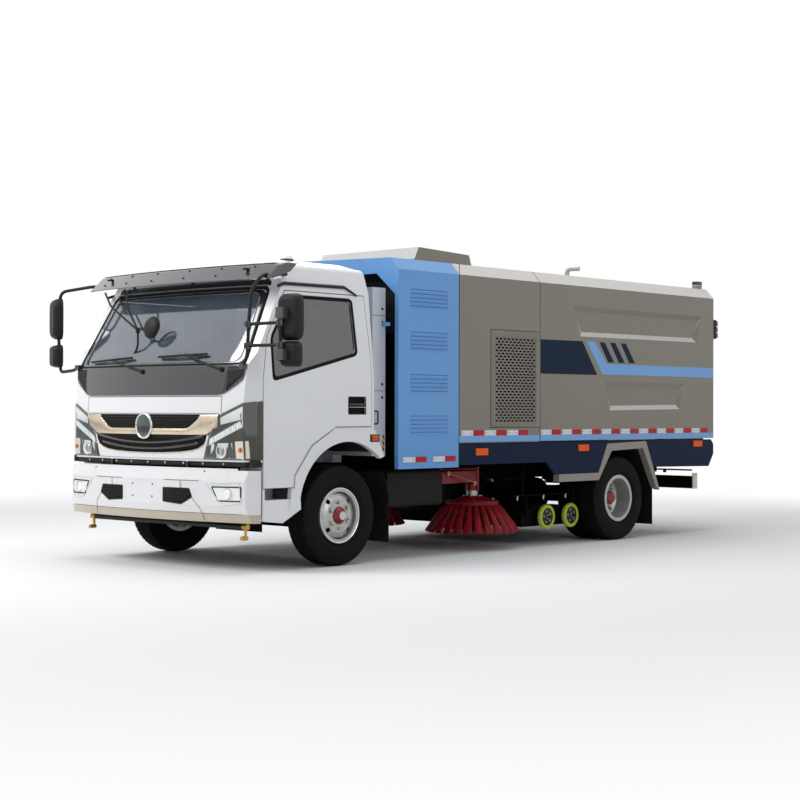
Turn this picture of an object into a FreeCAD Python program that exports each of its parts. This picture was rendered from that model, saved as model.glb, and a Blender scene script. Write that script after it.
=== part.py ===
import FreeCAD, Part
import math
import os
import Sketcher

# Electric street sweeper truck with a tilting two-seat cab, a fan cowl, side brushes, a suction nozzle and a
# tipping hopper. Millimetres. +X is the driver's side, the front faces -Y, +Z is up. The origin is on the ground
# under the middle of the truck.

DRIVING_SIZES = {
    # Whole vehicle
    "overall_length": 6650,
    "body_width": 2240,
    "wheelbase": 3800,
    "front_overhang": 1130,
    # Wheels and tyres
    "tyre_radius": 402,
    "tyre_width": 215,
    "rim_seat_radius": 200,
    "rim_flange_radius": 223,
    "rim_wall": 9,
    "front_wheel_centre": 980,
    "dual_centre": 861,
    "dual_spacing": 245,
    "kingpin_centre": 850,
    "kingpin_radius": 14,
    "stub_radius": 26,
    "hub_radius": 72,
    "stud_circle": 104,
    "stud_radius": 13,
    "running_gap": 5,
    "bearing_gap": 0.8,
    "latch_gap": 0.95,
    # Chassis
    "rail_centre": 425,
    "rail_flange": 70,
    "rail_height": 200,
    "rail_base": 600,
    "rail_plate": 8,
    "subframe_height": 140,
    "cross_member_radius": 45,
    "axle_tube_radius": 60,
    "axle_casing_radius": 165,
    "spring_width": 70,
    "spring_leaf": 14,
    "spring_half_length": 560,
    "front_spring_camber": 120,
    "rear_spring_camber": 30,
    # Cab
    "cab_width": 2240,
    "cab_base": 845,
    "cab_front_reach": 3290,
    "cab_back": 1850,
    "cab_roof": 2450,
    "cab_floor": 945,
    "cab_wall": 35,
    "cab_curve": 6000,
    "belt_height": 1575,
    "screen_top": 2200,
    "door_thickness": 45,
    "door_gap": 7,
    "glass_thickness": 6,
    "glass_inset": 8,
    "seal_gap": 0.4,
    "arch_radius": 540,
    "arch_lining": 8,
    "flare_width": 100,
    "cab_pivot_reach": 3235,
    "cab_pivot_height": 800,
    "cab_pivot_radius": 18,
    # Cowl, service bay and hopper
    "cowl_front": 1560,
    "cowl_back": 797,
    "cowl_base": 755,
    "panel_thickness": 40,
    "roof_height": 2530,
    "roof_side_height": 2405,
    "roof_chamfer_width": 90,
    "roof_chamfer_rise": 100,
    "body_base": 960,
    "bay_back": 322,
    "hopper_front": 330,
    "hopper_back": 3230,
    "hopper_floor": 50,
    "tail_door_thickness": 45,
    "recess_depth": 22,
    "recess_bevel": 45,
    "louvre_rows": 5,
    "louvre_pitch": 34,
    "louvre_length": 470,
    "mesh_door_front": 372,
    "mesh_door_back": 308,
    "mesh_door_base": 1095,
    "mesh_door_top": 1949,
    "tip_pivot_reach": 3155,
    "tip_pivot_height": 905,
    "tip_pivot_radius": 22,
    # Skirts and rear arches
    "skirt_top": 952,
    "skirt_base": 772,
    "skirt_low_base": 657,
    "skirt_thickness": 30,
    "trim_width": 70,
    # Bumper
    "bumper_top": 780,
    "bumper_base": 384,
    "bumper_width": 2290,
    "bumper_wall": 6,
    "bumper_curve": 5000,
    # Sweeping gear
    "brush_centre": 700,
    "brush_reach": 126,
    "brush_tip_radius": 425,
    "brush_disc_radius": 225,
    "brush_tip_height": 150,
    "brush_top_height": 470,
    "brush_tufts": 24,
    "brush_shaft_radius": 25,
    "brush_pivot_centre": 800,
    "brush_pivot_reach": 715,
    "nozzle_half_width": 860,
    "nozzle_front": 380,
    "nozzle_back": 1110,
    "nozzle_base": 170,
    "nozzle_height": 190,
    "nozzle_wheel_radius": 115,
    "nozzle_wheel_width": 45,
    "nozzle_axle_radius": 12,
    "nozzle_wheel_height": 257,
    "nozzle_wheel_centre": 925,
    "nozzle_wheel_first": 671,
    "nozzle_wheel_pitch": 366,
    "duct_radius": 110,
    "lift_rod_radius": 14,
    "lift_rod_centre": 800,
    "lift_rod_reach": 475,
    # Mirrors
    "mirror_tube_radius": 10,
    "mirror_tube_bend": 36,
    # Tip ram
    "ram_pivot_reach": 2000,
    "ram_pivot_height": 660,
    "ram_eye_reach": 950,
    "ram_eye_height": 905,
    "ram_barrel_radius": 60,
    "ram_rod_radius": 40,
    "ram_trunnion_radius": 35,
}


LEFT_MIRROR_ROUTE = [
    (1035, -2745, 2290),
    (1100, -3045, 2265),
    (1085, -3170, 2180),
    (1075, -3175, 1700),
    (1030, -3120, 1590),
]
RIGHT_MIRROR_ROUTE = [
    (-1035, -2800, 2290),
    (-1150, -2930, 2290),
    (-1440, -3060, 2250),
    (-1470, -3070, 2000),
    (-1440, -3050, 1560),
    (-1150, -3130, 1570),
    (-1030, -3120, 1590),
]


class Size:
    """A length with the spreadsheet expression that it comes from, so that one formula gives both."""

    def __init__(self, text, value):
        self.text = text
        self.value = float(value)

    @staticmethod
    def of(value):
        return value if isinstance(value, Size) else Size(repr(float(value)), value)

    def __add__(self, other):
        other = Size.of(other)
        return Size(f"({self.text} + {other.text})", self.value + other.value)

    def __sub__(self, other):
        other = Size.of(other)
        return Size(f"({self.text} - {other.text})", self.value - other.value)

    def __mul__(self, other):
        other = Size.of(other)
        return Size(f"({self.text} * {other.text})", self.value * other.value)

    def __truediv__(self, other):
        other = Size.of(other)
        return Size(f"({self.text} / {other.text})", self.value / other.value)

    def __neg__(self):
        return Size(f"(0 - {self.text})", -self.value)

    def __radd__(self, other):
        return Size.of(other) + self

    def __rsub__(self, other):
        return Size.of(other) - self

    def __rmul__(self, other):
        return Size.of(other) * self

    def __float__(self):
        return self.value


class Sizes:
    """The spreadsheet's cells, read by their names."""

    def __init__(self, doc, table):
        self.sheet = doc.addObject("Spreadsheet::Sheet", "Sizes")
        self.values = dict(table)
        for row, (name, value) in enumerate(table.items(), start=1):
            self.sheet.set(f"A{row}", name.replace("_", " "))
            self.sheet.set(f"B{row}", str(value))
            self.sheet.setAlias(f"B{row}", name)

    def __getattr__(self, name):
        return Size(f"Sizes.{name}", self.values[name])


DOC = FreeCAD.newDocument("StreetSweeper")
S = Sizes(DOC, DRIVING_SIZES)
DOC.recompute()
NODES = {}
PLANES = {"YZ": "YZ_Plane", "XZ": "XZ_Plane", "XY": "XY_Plane"}
TURN_TO_AXIS = {
    "X": FreeCAD.Rotation(FreeCAD.Vector(0, 1, 0), 90),
    "Y": FreeCAD.Rotation(FreeCAD.Vector(1, 0, 0), -90),
    "Z": FreeCAD.Rotation(),
}

front_axle_y = S.front_overhang - S.overall_length / 2
rear_axle_y = front_axle_y + S.wheelbase
half_width = S.body_width / 2
rail_top = S.rail_base + S.rail_height
deck_height = rail_top + S.subframe_height


def bind(item, name, size):
    """Sets a property of an object from a size, and keeps it tied to the spreadsheet."""
    size = Size.of(size)
    item.setExpression(name, size.text)


def move(item, x=0, y=0, z=0):
    """Places an object, tied to the spreadsheet."""
    for axis, size in zip("xyz", (x, y, z)):
        bind(item, f"Placement.Base.{axis}", size)
    return item


def made(name):
    """An object made earlier."""
    return DOC.getObject(name)


def span_on(side, low, high):
    """A pair of x from the middle outwards, on the side that the sign gives."""
    return (low, high) if side > 0 else (-high, -low)


def box(name, x, y, z):
    """A plain block between pairs of x, y and z."""
    block = DOC.addObject("Part::Box", name)
    bind(block, "Length", x[1] - Size.of(x[0]))
    bind(block, "Width", y[1] - Size.of(y[0]))
    bind(block, "Height", z[1] - Size.of(z[0]))
    return move(block, x[0], y[0], z[0])


def rod(name, axis, centre, radius, length):
    """A round bar whose middle is at the centre, along one of the axes."""
    bar = DOC.addObject("Part::Cylinder", name)
    bar.Placement = FreeCAD.Placement(FreeCAD.Vector(), TURN_TO_AXIS[axis])
    bind(bar, "Radius", radius)
    bind(bar, "Height", length)
    start = [Size.of(value) for value in centre]
    index = "XYZ".index(axis)
    start[index] = start[index] - Size.of(length) / 2
    return move(bar, *start)


def fuse(name, pieces):
    """One solid out of several that touch."""
    joined = DOC.addObject("Part::MultiFuse", name)
    joined.Shapes = pieces
    return joined


def cut(name, base, tools):
    """The base without the tools."""
    result = DOC.addObject("Part::Cut", name)
    result.Base = base
    result.Tool = tools[0] if len(tools) == 1 else fuse(name + "_tools", tools)
    return result


def common(name, pieces):
    """What all the pieces share."""
    result = DOC.addObject("Part::MultiCommon", name)
    result.Shapes = pieces
    return result


def mirrored(name, source):
    """The same piece on the other side of the truck."""
    copy = DOC.addObject("Part::Mirroring", name)
    copy.Source = source
    copy.Normal = FreeCAD.Vector(1, 0, 0)
    return copy


def both_sides(name, source):
    """The piece and its mirror image as one sub-part."""
    pair = DOC.addObject("Part::Compound", name)
    pair.Links = [source, mirrored(name + "_mirror", source)]
    return pair


def node(name, item):
    """Marks an object as the sub-part that this label names."""
    item.Label = name
    NODES[name] = item
    return item


def outline(body, name, plane, points, offset=0):
    """A closed outline of straight edges in one of the body's own planes, each corner tied to its sizes."""
    sketch = body.newObject("Sketcher::SketchObject", name)
    origin_plane = [item for item in body.Origin.OriginFeatures if item.Role == PLANES[plane]][0]
    sketch.AttachmentSupport = [(origin_plane, "")]
    sketch.MapMode = "FlatFace"
    bind(sketch, "AttachmentOffset.Base.z", offset)
    corners = [(Size.of(point[0]), Size.of(point[1])) for point in points]
    count = len(corners)
    for index in range(count):
        start, end = corners[index], corners[(index + 1) % count]
        line = Part.LineSegment(
            FreeCAD.Vector(start[0].value, start[1].value, 0), FreeCAD.Vector(end[0].value, end[1].value, 0)
        )
        sketch.addGeometry(line, False)
    for index in range(count):
        sketch.addConstraint(Sketcher.Constraint("Coincident", index, 2, (index + 1) % count, 1))
    for index, corner in enumerate(corners):
        for kind, size in zip(("DistanceX", "DistanceY"), corner):
            number = sketch.addConstraint(Sketcher.Constraint(kind, -1, 1, index, 1, size.value))
            sketch.setExpression(f"Constraints[{number}]", size.text)
    return sketch


def round_corners(body, pad, plane, points):
    """Rounds the padded edges at those corners of the outline that carry a radius as their third value."""
    DOC.recompute()
    spots = {}
    for point in points:
        if len(point) > 2:
            spots.setdefault(Size.of(point[2]).text, (Size.of(point[2]), []))[1].append(point)
    last = pad
    for radius, group in spots.values():
        names = []
        for number, edge in enumerate(last.Shape.Edges, start=1):
            if len(edge.Vertexes) != 2:
                continue
            ends = [plane_point(plane, vertex.Point) for vertex in edge.Vertexes]
            for point in group:
                spot = (Size.of(point[0]).value, Size.of(point[1]).value)
                if all(math.dist(end, spot) < 0.01 for end in ends):
                    names.append(f"Edge{number}")
        fillet = body.newObject("PartDesign::Fillet", f"{body.Name}_round")
        fillet.Base = (last, names)
        bind(fillet, "Radius", radius)
        DOC.recompute()
        last = fillet
    body.Tip = last


def plane_point(plane, point):
    """The two coordinates of a point in a plane."""
    return {"YZ": (point.y, point.z), "XZ": (point.x, point.z), "XY": (point.x, point.y)}[plane]


def prism(name, plane, points, span):
    """A straight body with the outline's section, between two distances along the plane's normal."""
    body = DOC.addObject("PartDesign::Body", name)
    low, high = Size.of(span[0]), Size.of(span[1])
    offset = -high if plane == "XZ" else low
    sketch = outline(body, name + "_outline", plane, points, offset)
    pad = body.newObject("PartDesign::Pad", name + "_pad")
    pad.Profile = sketch
    sketch.Visibility = False
    bind(pad, "Length", high - low)
    if any(len(point) > 2 for point in points):
        round_corners(body, pad, plane, points)
    return body


def tapered(name, plane, outer, inner, outer_at, inner_at):
    """A body whose section goes over from one outline to another."""
    body = DOC.addObject("PartDesign::Body", name)
    sign = -1 if plane == "XZ" else 1
    first = outline(body, name + "_outer", plane, outer, sign * Size.of(outer_at))
    second = outline(body, name + "_inner", plane, inner, sign * Size.of(inner_at))
    loft = body.newObject("PartDesign::AdditiveLoft", name + "_loft")
    loft.Profile = first
    loft.Sections = [second]
    loft.Ruled = True
    return body


def turned(name, axis, points, angle=360):
    """A body of revolution. The outline gives (along the axis, radius) for X, else (radius, along the axis)."""
    body = DOC.addObject("PartDesign::Body", name)
    plane = {"X": "XY", "Y": "XY", "Z": "XZ"}[axis]
    sketch = outline(body, name + "_outline", plane, points)
    spin = body.newObject("PartDesign::Revolution", name + "_spin")
    spin.Profile = sketch
    spin.ReferenceAxis = (sketch, ["H_Axis" if axis == "X" else "V_Axis"])
    spin.Angle = angle
    if angle != 360:
        spin.Midplane = True
    return body


def ring_of(body, feature, axis_plane, count):
    """Repeats a feature evenly round its body's axis."""
    pattern = body.newObject("PartDesign::PolarPattern", feature.Name + "_ring")
    pattern.Originals = [feature]
    axis = [item for item in body.Origin.OriginFeatures if item.Role == axis_plane][0]
    pattern.Axis = (axis, [""])
    pattern.Angle = 360
    bind(pattern, "Occurrences", count)
    body.Tip = pattern
    return pattern


def bent_tube(name, points, radius, bend):
    """A round tube through the points, with an arc at each corner."""
    places = [FreeCAD.Vector(*point) for point in points]
    bend = float(bend)
    radius = float(radius)
    edges = []
    start = places[0]
    for before, corner, after in zip(places, places[1:], places[2:]):
        into = (corner - before).normalize()
        out = (after - corner).normalize()
        half_turn = into.getAngle(out) / 2
        setback = bend * math.tan(half_turn)
        inward = (out - into).normalize()
        first = corner - into * setback
        middle = corner + inward * (bend / math.cos(half_turn) - bend)
        last = corner + out * setback
        edges.append(Part.LineSegment(start, first).toShape())
        edges.append(Part.Arc(first, middle, last).toShape())
        start = last
    edges.append(Part.LineSegment(start, places[-1]).toShape())
    path = Part.Wire(edges)
    direction = places[1] - places[0]
    section = Part.Wire([Part.Circle(places[0], direction, radius).toShape()])
    tube = DOC.addObject("Part::Feature", name)
    tube.Shape = path.makePipeShell([section], True, False)
    return tube


# Cab envelope: the side profile turned about a far vertical axis gives the curved front and windscreen, and the
# front profile and the plan trim its sides and corners.
def cab_envelope(name, inset):
    """The cab's outer form, drawn in by an inset all round."""
    inset = Size.of(inset)
    axis_y = S.cab_curve - S.cab_front_reach
    low = S.cab_base + inset
    front = S.cab_front_reach + axis_y - inset
    profile = [
        (0, low),
        (front - 12, low),
        (front, S.cab_base + 355),
        (front - 10, S.cab_base + 515),
        (front - 28, S.belt_height),
        (front - 375, S.screen_top),
        (front - 440, S.cab_roof - 115 - inset * 0.6),
        (front - 560, S.cab_roof - 40 - inset),
        (front - 820, S.cab_roof - inset),
        (0, S.cab_roof - inset),
    ]
    core = turned(name + "_front", "Z", profile, 30)
    core.Placement.Rotation = FreeCAD.Rotation(FreeCAD.Vector(0, 0, 1), -90)
    move(core, 0, axis_y, 0)
    half = S.cab_width / 2 - inset
    face = [
        (-half, low - 1),
        (half, low - 1),
        (half, S.belt_height - 75),
        (half - 65, S.screen_top - 20),
        (half - 130, S.cab_roof - 80 - inset * 0.7, 60),
        (half - 420, S.cab_roof - 12 - inset),
        (0, S.cab_roof - inset),
        (420 - half, S.cab_roof - 12 - inset),
        (130 - half, S.cab_roof - 80 - inset * 0.7, 60),
        (65 - half, S.screen_top - 20),
        (-half, S.belt_height - 75),
    ]
    front_face = prism(name + "_face", "XZ", face, (-S.cab_front_reach - 50, -S.cab_back - inset))
    corner = 75
    plan = [
        (-half, -S.cab_back - inset),
        (-half, -S.cab_front_reach + 215),
        (-half + corner, -S.cab_front_reach + 95),
        (-half + 330, -S.cab_front_reach - 50),
        (half - 330, -S.cab_front_reach - 50),
        (half - corner, -S.cab_front_reach + 95),
        (half, -S.cab_front_reach + 215),
        (half, -S.cab_back - inset),
    ]
    plan_body = prism(name + "_plan", "XY", plan, (low - 2, S.cab_roof + 10))
    return common(name, [core, front_face, plan_body])


def screen_outline(grow):
    """The windscreen's outline seen from the front."""
    grow = Size.of(grow)
    base = S.belt_height + 20 - grow
    top = S.screen_top - 15 + grow
    return [
        (-985 - grow, base),
        (985 + grow, base),
        (900 + grow, top),
        (-900 - grow, top),
    ]


def headlamp_outline(side, grow):
    """A headlamp's outline seen from the front, on the side that the sign gives."""
    grow = Size.of(grow)
    points = [
        (650 - grow, 860 - grow),
        (1180, 860 - grow),
        (1180, 1325 + grow),
        (850 - grow * 0.5, 1215 + grow),
        (700 - grow, 1010),
    ]
    return [(side * point[0], point[1]) for point in points]


def grille_outline(grow):
    """The grille's outline seen from the front."""
    grow = Size.of(grow)
    return [
        (-600 - grow, 870 - grow),
        (600 + grow, 870 - grow),
        (685 + grow, 1010),
        (830 + grow, 1205 + grow),
        (-830 - grow, 1205 + grow),
        (-685 - grow, 1010),
    ]


door_rear = -S.cab_back - 30
door_front = -S.cab_front_reach + 235
arch_y = front_axle_y + 45
arch_z = 450


def door_outline(grow):
    """A door's outline seen from the side, clear of the flare."""
    grow = Size.of(grow)
    flare = S.arch_radius + S.flare_width + 12
    return [
        (door_front - grow, 645 - grow),
        (arch_y - flare + 60 + grow, 645 - grow),
        (arch_y - flare * 0.9 + grow, arch_z + flare * 0.44 - grow),
        (arch_y - flare * 0.62 + grow, arch_z + flare * 0.79 - grow),
        (arch_y - flare * 0.2, arch_z + flare + 8 - grow),
        (door_rear + grow, arch_z + flare + 8 - grow),
        (door_rear + grow, S.belt_height + 125),
        (door_rear - 35 + grow, S.screen_top - 40 + grow),
        (door_front + 275 - grow, S.screen_top - 40 + grow),
        (door_front + 62 - grow, S.belt_height + 225),
        (door_front - grow, S.belt_height - 90),
    ]


def window_outline(grow):
    """The side window's outline."""
    grow = Size.of(grow)
    return [
        (door_front + 110 - grow, S.belt_height - 95 - grow, 40),
        (door_rear - 160 + grow, S.belt_height + 120 - grow, 70),
        (door_rear - 185 + grow, S.screen_top - 85 + grow, 60),
        (door_front + 330 - grow, S.screen_top - 85 + grow, 60),
        (door_front + 110 - grow, S.belt_height + 215, 30),
    ]


def build_cab():
    """The cab's shell with its doors, glass, front trim and fittings."""
    outer = cab_envelope("cab_outer", 0)
    inner = cab_envelope("cab_inner", S.cab_wall)
    cavity_floor = box("cab_cavity", (-1200, 1200), (-3400, -1700), (S.cab_floor, 2600))
    cavity = common("cab_space", [inner, cavity_floor])
    openings = [
        cavity,
        prism("screen_opening", "XZ", screen_outline(S.seal_gap), (-3400, -2600)),
        prism("grille_opening", "XZ", grille_outline(S.seal_gap), (-3400, -3100)),
        prism("lamp_opening_left", "XZ", headlamp_outline(1, S.seal_gap), (-3400, -3055)),
        prism("lamp_opening_right", "XZ", headlamp_outline(-1, S.seal_gap), (-3400, -3055)),
        rod("arch_opening", "X", (0, arch_y, arch_z), S.arch_radius + S.arch_lining, 2600),
        prism(
            "rear_window_opening",
            "XZ",
            [(-620, 1650, 60), (620, 1650, 60), (560, 2130, 60), (-560, 2130, 60)],
            (-1990, -1700),
        ),
    ]
    shell = cut("cab_shell_upper", outer, openings)
    doorways = [
        prism("door_opening_left", "YZ", door_outline(S.door_gap), (half_width - 160, half_width + 60)),
        prism("door_opening_right", "YZ", door_outline(S.door_gap), (-half_width - 60, 160 - half_width)),
    ]
    opened = cut("cab_opened", shell, doorways)
    striker = box(
        "door_striker",
        (half_width - 20, half_width - 6),
        (door_rear + S.latch_gap, door_rear + S.door_gap + 8),
        (1235, 1295),
    )
    node("cab_shell", fuse("cab_shell", [opened, striker, mirrored("door_striker_right", striker)]))
    build_cab_steps(shell, doorways)

    glass_outer = cab_envelope("glass_outer", S.glass_inset)
    glass_inner = cab_envelope("glass_inner", S.glass_inset + S.glass_thickness)
    glazing = cut("glazing", glass_outer, [glass_inner])
    screen = prism("screen_region", "XZ", screen_outline(0), (-3400, -2700))
    screen_pane = common("screen_pane", [glazing, screen])
    rear_pane = prism(
        "rear_pane",
        "XZ",
        [(-619.6, 1650.4, 60), (619.6, 1650.4, 60), (559.6, 2129.6, 60), (-559.6, 2129.6, 60)],
        (-S.cab_back - 26, -S.cab_back - 20),
    )
    panes = DOC.addObject("Part::Compound", "cab_panes")
    panes.Links = [screen_pane, rear_pane]
    node("windscreen", panes)

    lamp_core = cut("lamp_core", cab_envelope("lamp_outer", -4), [cab_envelope("lamp_inner", S.cab_wall - 1)])
    lamps = []
    for side, tag in ((1, "left"), (-1, "right")):
        region = prism(f"lamp_region_{tag}", "XZ", headlamp_outline(side, 0), (-3400, -3065))
        lamps.append(common(f"lamp_{tag}", [lamp_core, region]))
    headlamps = DOC.addObject("Part::Compound", "headlamps")
    headlamps.Links = lamps
    node("headlamps", headlamps)
    build_grille()
    build_front_panel()
    build_doors(glazing)
    build_visor()
    build_interior()


def build_cab_steps(shell, doorways):
    """What hangs under the cab's floor: a step with its wheel arch on each side, and the two tilt ears."""
    pin_bore = rod(
        "cab_ear_bore", "X", (0, -S.cab_pivot_reach, S.cab_pivot_height), S.cab_pivot_radius + S.bearing_gap, 1200
    )
    hung = DOC.addObject("Part::Compound", "cab_steps")
    pieces = []
    for side, tag, doorway in ((1, "left", doorways[0]), (-1, "right", doorways[1])):
        ends = span_on(side, S.rail_centre + 37, S.rail_centre + 57)
        reach = (-S.cab_pivot_reach - 26, 40 - S.cab_pivot_reach)
        ear = box(f"cab_ear_{tag}", ends, reach, (S.cab_pivot_height - 26, S.cab_base))
        pieces.append(cut(f"cab_ear_bored_{tag}", ear, [pin_bore]))
        arch = fuse(f"cab_arch_{tag}", cab_side_pieces(side, tag))
        pieces.append(cut(f"cab_arch_seated_{tag}", arch, [shell, doorway]))
    hung.Links = pieces
    node("cab_steps", hung)


def cab_side_pieces(side, tag):
    """The step, the wheel arch liner and the flare on one side of the cab."""
    outer_x = half_width
    step = prism(
        f"step_{tag}",
        "YZ",
        [
            (door_front - 8, 396, 25),
            (door_front + 200, 374),
            (door_front + 395, 473),
            (door_front + 365, S.cab_base),
            (door_front - 8, S.cab_base),
        ],
        (870, outer_x),
    )
    well = box(f"step_well_{tag}", (890, outer_x + 10), (door_front + 15, door_front + 320), (555, S.cab_base + 5))
    tread = cut(f"step_tread_{tag}", step, [well])
    outer_ring = prism(
        f"flare_outline_{tag}",
        "YZ",
        [
            (arch_y - 640, arch_z + 20),
            (arch_y - 610, arch_z + 280, 90),
            (arch_y - 380, arch_z + 580, 160),
            (arch_y - 120, arch_z + 638, 90),
            (arch_y + 300, arch_z + 640, 50),
            (arch_y + 412, arch_z + 414),
            (arch_y + 300, arch_z + 380),
            (arch_y, arch_z),
            (arch_y - 400, arch_z + 20),
        ],
        (outer_x - 30, outer_x + 12),
    )
    arch_tool = rod(f"flare_arch_{tag}", "X", (0, arch_y, arch_z), S.arch_radius, 2600)
    flare = cut(f"flare_{tag}", outer_ring, [arch_tool])
    lined_radius = S.arch_radius + S.arch_lining
    liner_disc = rod(f"liner_disc_{tag}", "X", (870, arch_y, arch_z), lined_radius, 500)
    liner_bore = rod(f"liner_bore_{tag}", "X", (870, arch_y, arch_z), S.arch_radius, 520)
    liner_ring = cut(f"liner_ring_{tag}", liner_disc, [liner_bore])
    liner_space = box(
        f"liner_space_{tag}", (500, outer_x - 5), (arch_y - 700, -S.cab_back - 5), (arch_z + 20, 1200)
    )
    liner = common(f"liner_{tag}", [liner_ring, liner_space])
    pieces = [tread, flare, liner]
    if side < 0:
        pieces = [mirrored(f"{piece.Name}_mirror", piece) for piece in pieces]
    return pieces


def build_grille():
    """The grille: a curved frame with a chrome band, over horizontal bars."""
    core = cut("grille_core", cab_envelope("grille_outer", -2), [cab_envelope("grille_inner", S.cab_wall - 2)])
    region = prism("grille_region", "XZ", grille_outline(0), (-3400, -3100))
    band = common("grille_body", [core, region])
    slots = []
    for row, (height, half) in enumerate(((905, 560), (945, 590), (985, 620), (1110, 690), (1150, 730))):
        slots.append(box(f"grille_slot_{row}", (-half, half), (-3400, -3262), (height - 14, height + 14)))
    node("grille", cut("grille_cut", band, slots))


def build_front_panel():
    """The dark panel between the windscreen and the grille."""
    skin = cut("panel_skin", cab_envelope("panel_outer", -5), [cab_envelope("panel_inner", -0.3)])
    region = prism(
        "panel_region",
        "XZ",
        [(-960, 1355), (960, 1355), (1035, 1570), (-1035, 1570)],
        (-3400, -3080),
    )
    node("front_panel", common("front_panel_body", [skin, region]))


def build_doors(glazing):
    """Both doors, each with a window opening, a handle recess and its pane."""
    inner = cab_envelope("door_inner", S.door_thickness)
    behind = linked("door_inner_behind", inner, 0, 60, 0)
    skin = cut("door_skin", cab_envelope("door_outer", -1), [inner, behind])
    low_skin = box(
        "door_low_skin",
        (half_width - S.door_thickness, half_width + 1),
        (door_front - 20, arch_y - 500),
        (600, S.cab_base + 90),
    )
    full_skin = fuse("door_full_skin", [skin, low_skin])
    region = prism("door_region", "YZ", door_outline(0), (half_width - 140, half_width + 50))
    hole = prism("window_hole", "YZ", window_outline(S.seal_gap), (half_width - 200, half_width + 60))
    recess = box(
        "handle_recess", (half_width - 20, half_width + 20), (door_rear - 265, door_rear - 60), (1206, 1348)
    )
    sill = box(
        "door_sill_space",
        (half_width - 200, half_width - S.door_thickness),
        (door_front - 30, arch_y),
        (600, S.cab_base + S.door_thickness + 2),
    )
    left = cut("door_left_body", common("door_left_blank", [full_skin, region]), [hole, recess, sill])
    bar = box("handle_bar", (half_width - 22, half_width + 6), (door_rear - 255, door_rear - 70), (1262, 1290))
    door = fuse("door_left_whole", [left, bar])
    node("door_left", door)
    node("door_right", mirrored("door_right_whole", door))
    pane_region = prism("pane_region", "YZ", window_outline(0), (half_width - 140, half_width + 50))
    pane = common("pane_left", [glazing, pane_region])
    node("door_glass_left", pane)
    node("door_glass_right", mirrored("pane_right", pane))


def build_visor():
    """The sun visor over the windscreen, on brackets from the roof's edge."""
    axis_y = S.cab_curve - S.cab_front_reach
    front = S.cab_front_reach + axis_y
    profile = [
        (front - 168, 2206),
        (front - 300, 2330),
        (front - 330, 2338),
        (front - 332, 2331),
        (front - 306, 2322),
        (front - 175, 2214),
    ]
    blade = turned("visor_blade", "Z", profile, 30)
    blade.Placement.Rotation = FreeCAD.Rotation(FreeCAD.Vector(0, 0, 1), -90)
    move(blade, 0, axis_y, 0)
    trim = prism(
        "visor_trim",
        "XZ",
        [(-1140, 2200, 40), (1140, 2200, 40), (1110, 2345, 60), (-1110, 2345, 60)],
        (-3300, -2600),
    )
    curved = common("visor_curved", [blade, trim])
    slots = [
        box(f"visor_slot_{index}", (x - 70, x + 70), (-3300, -2600), (2262, 2274))
        for index, x in enumerate((-900, -560, -200, 200, 560, 900))
    ]
    slotted = cut("visor_slotted", curved, slots)
    brackets = [
        box(f"visor_bracket_{index}", (x - 15, x + 15), (-2975, -2825), (2318, 2334))
        for index, x in enumerate((-850, 0, 850))
    ]
    clear = S.mirror_tube_radius + 3
    tube_gaps = [
        bent_tube(f"visor_gap_{tag}", route, clear, S.mirror_tube_bend)
        for tag, route in (("left", LEFT_MIRROR_ROUTE), ("right", RIGHT_MIRROR_ROUTE))
    ]
    visor = fuse("visor_body", [slotted] + brackets)
    node("sun_visor", cut("visor_whole", visor, [made("cab_outer")] + tube_gaps))


def build_interior():
    """Seats, dashboard and steering wheel."""
    seats = []
    for tag, x in (("driver", 560), ("mate", -560)):
        cushion = prism(
            f"seat_cushion_{tag}",
            "YZ",
            [(-2560, 1180, 40), (-2080, 1160, 30), (-2080, 1290, 30), (-2560, 1330, 50)],
            (x - 250, x + 250),
        )
        back = prism(
            f"seat_back_{tag}",
            "YZ",
            [(-2110, 1180, 30), (-1990, 1180, 30), (-1915, 1850, 40), (-2030, 1850, 40)],
            (x - 240, x + 240),
        )
        rest = prism(
            f"seat_head_{tag}",
            "YZ",
            [(-2005, 1840, 20), (-1925, 1840, 20), (-1905, 2040, 30), (-1990, 2040, 30)],
            (x - 130, x + 130),
        )
        base_ends = span_on(x, 360, 612)
        base = box(f"seat_base_{tag}", base_ends, (-2480, -2100), (S.cab_floor, 1190))
        seats.append(fuse(f"seat_{tag}", [cushion, back, rest, base]))
    pair = DOC.addObject("Part::Compound", "seat_pair")
    pair.Links = seats
    node("seats", pair)
    dash = prism(
        "dash_body",
        "YZ",
        [(-3150, 1180), (-2900, 1180, 40), (-2840, 1400, 60), (-2920, 1500, 50), (-3130, 1560, 20), (-3170, 1400)],
        (-1010, 1010),
    )
    dash_fitted = common("dash_fitted", [dash, made("cab_inner")])
    column = rod("wheel_column", "Z", (0, 0, -110), 22, 220)
    rim = DOC.addObject("Part::Torus", "wheel_rim")
    rim.Radius1 = 205
    rim.Radius2 = 13
    hub = rod("wheel_hub", "Z", (0, 0, 0), 55, 30)
    spokes = [
        box("wheel_spoke_across", (-200, 200), (-16, 16), (-8, 8)),
        box("wheel_spoke_down", (-16, 16), (0, 200), (-8, 8)),
    ]
    wheel = fuse("steering_wheel_body", [rim, hub, column] + spokes)
    wheel.Placement = FreeCAD.Placement(
        FreeCAD.Vector(560, -2700, 1560), FreeCAD.Rotation(FreeCAD.Vector(1, 0, 0), 35)
    )
    fittings = DOC.addObject("Part::Compound", "dash_and_wheel")
    fittings.Links = [dash_fitted, wheel]
    node("dashboard", fittings)


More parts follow.
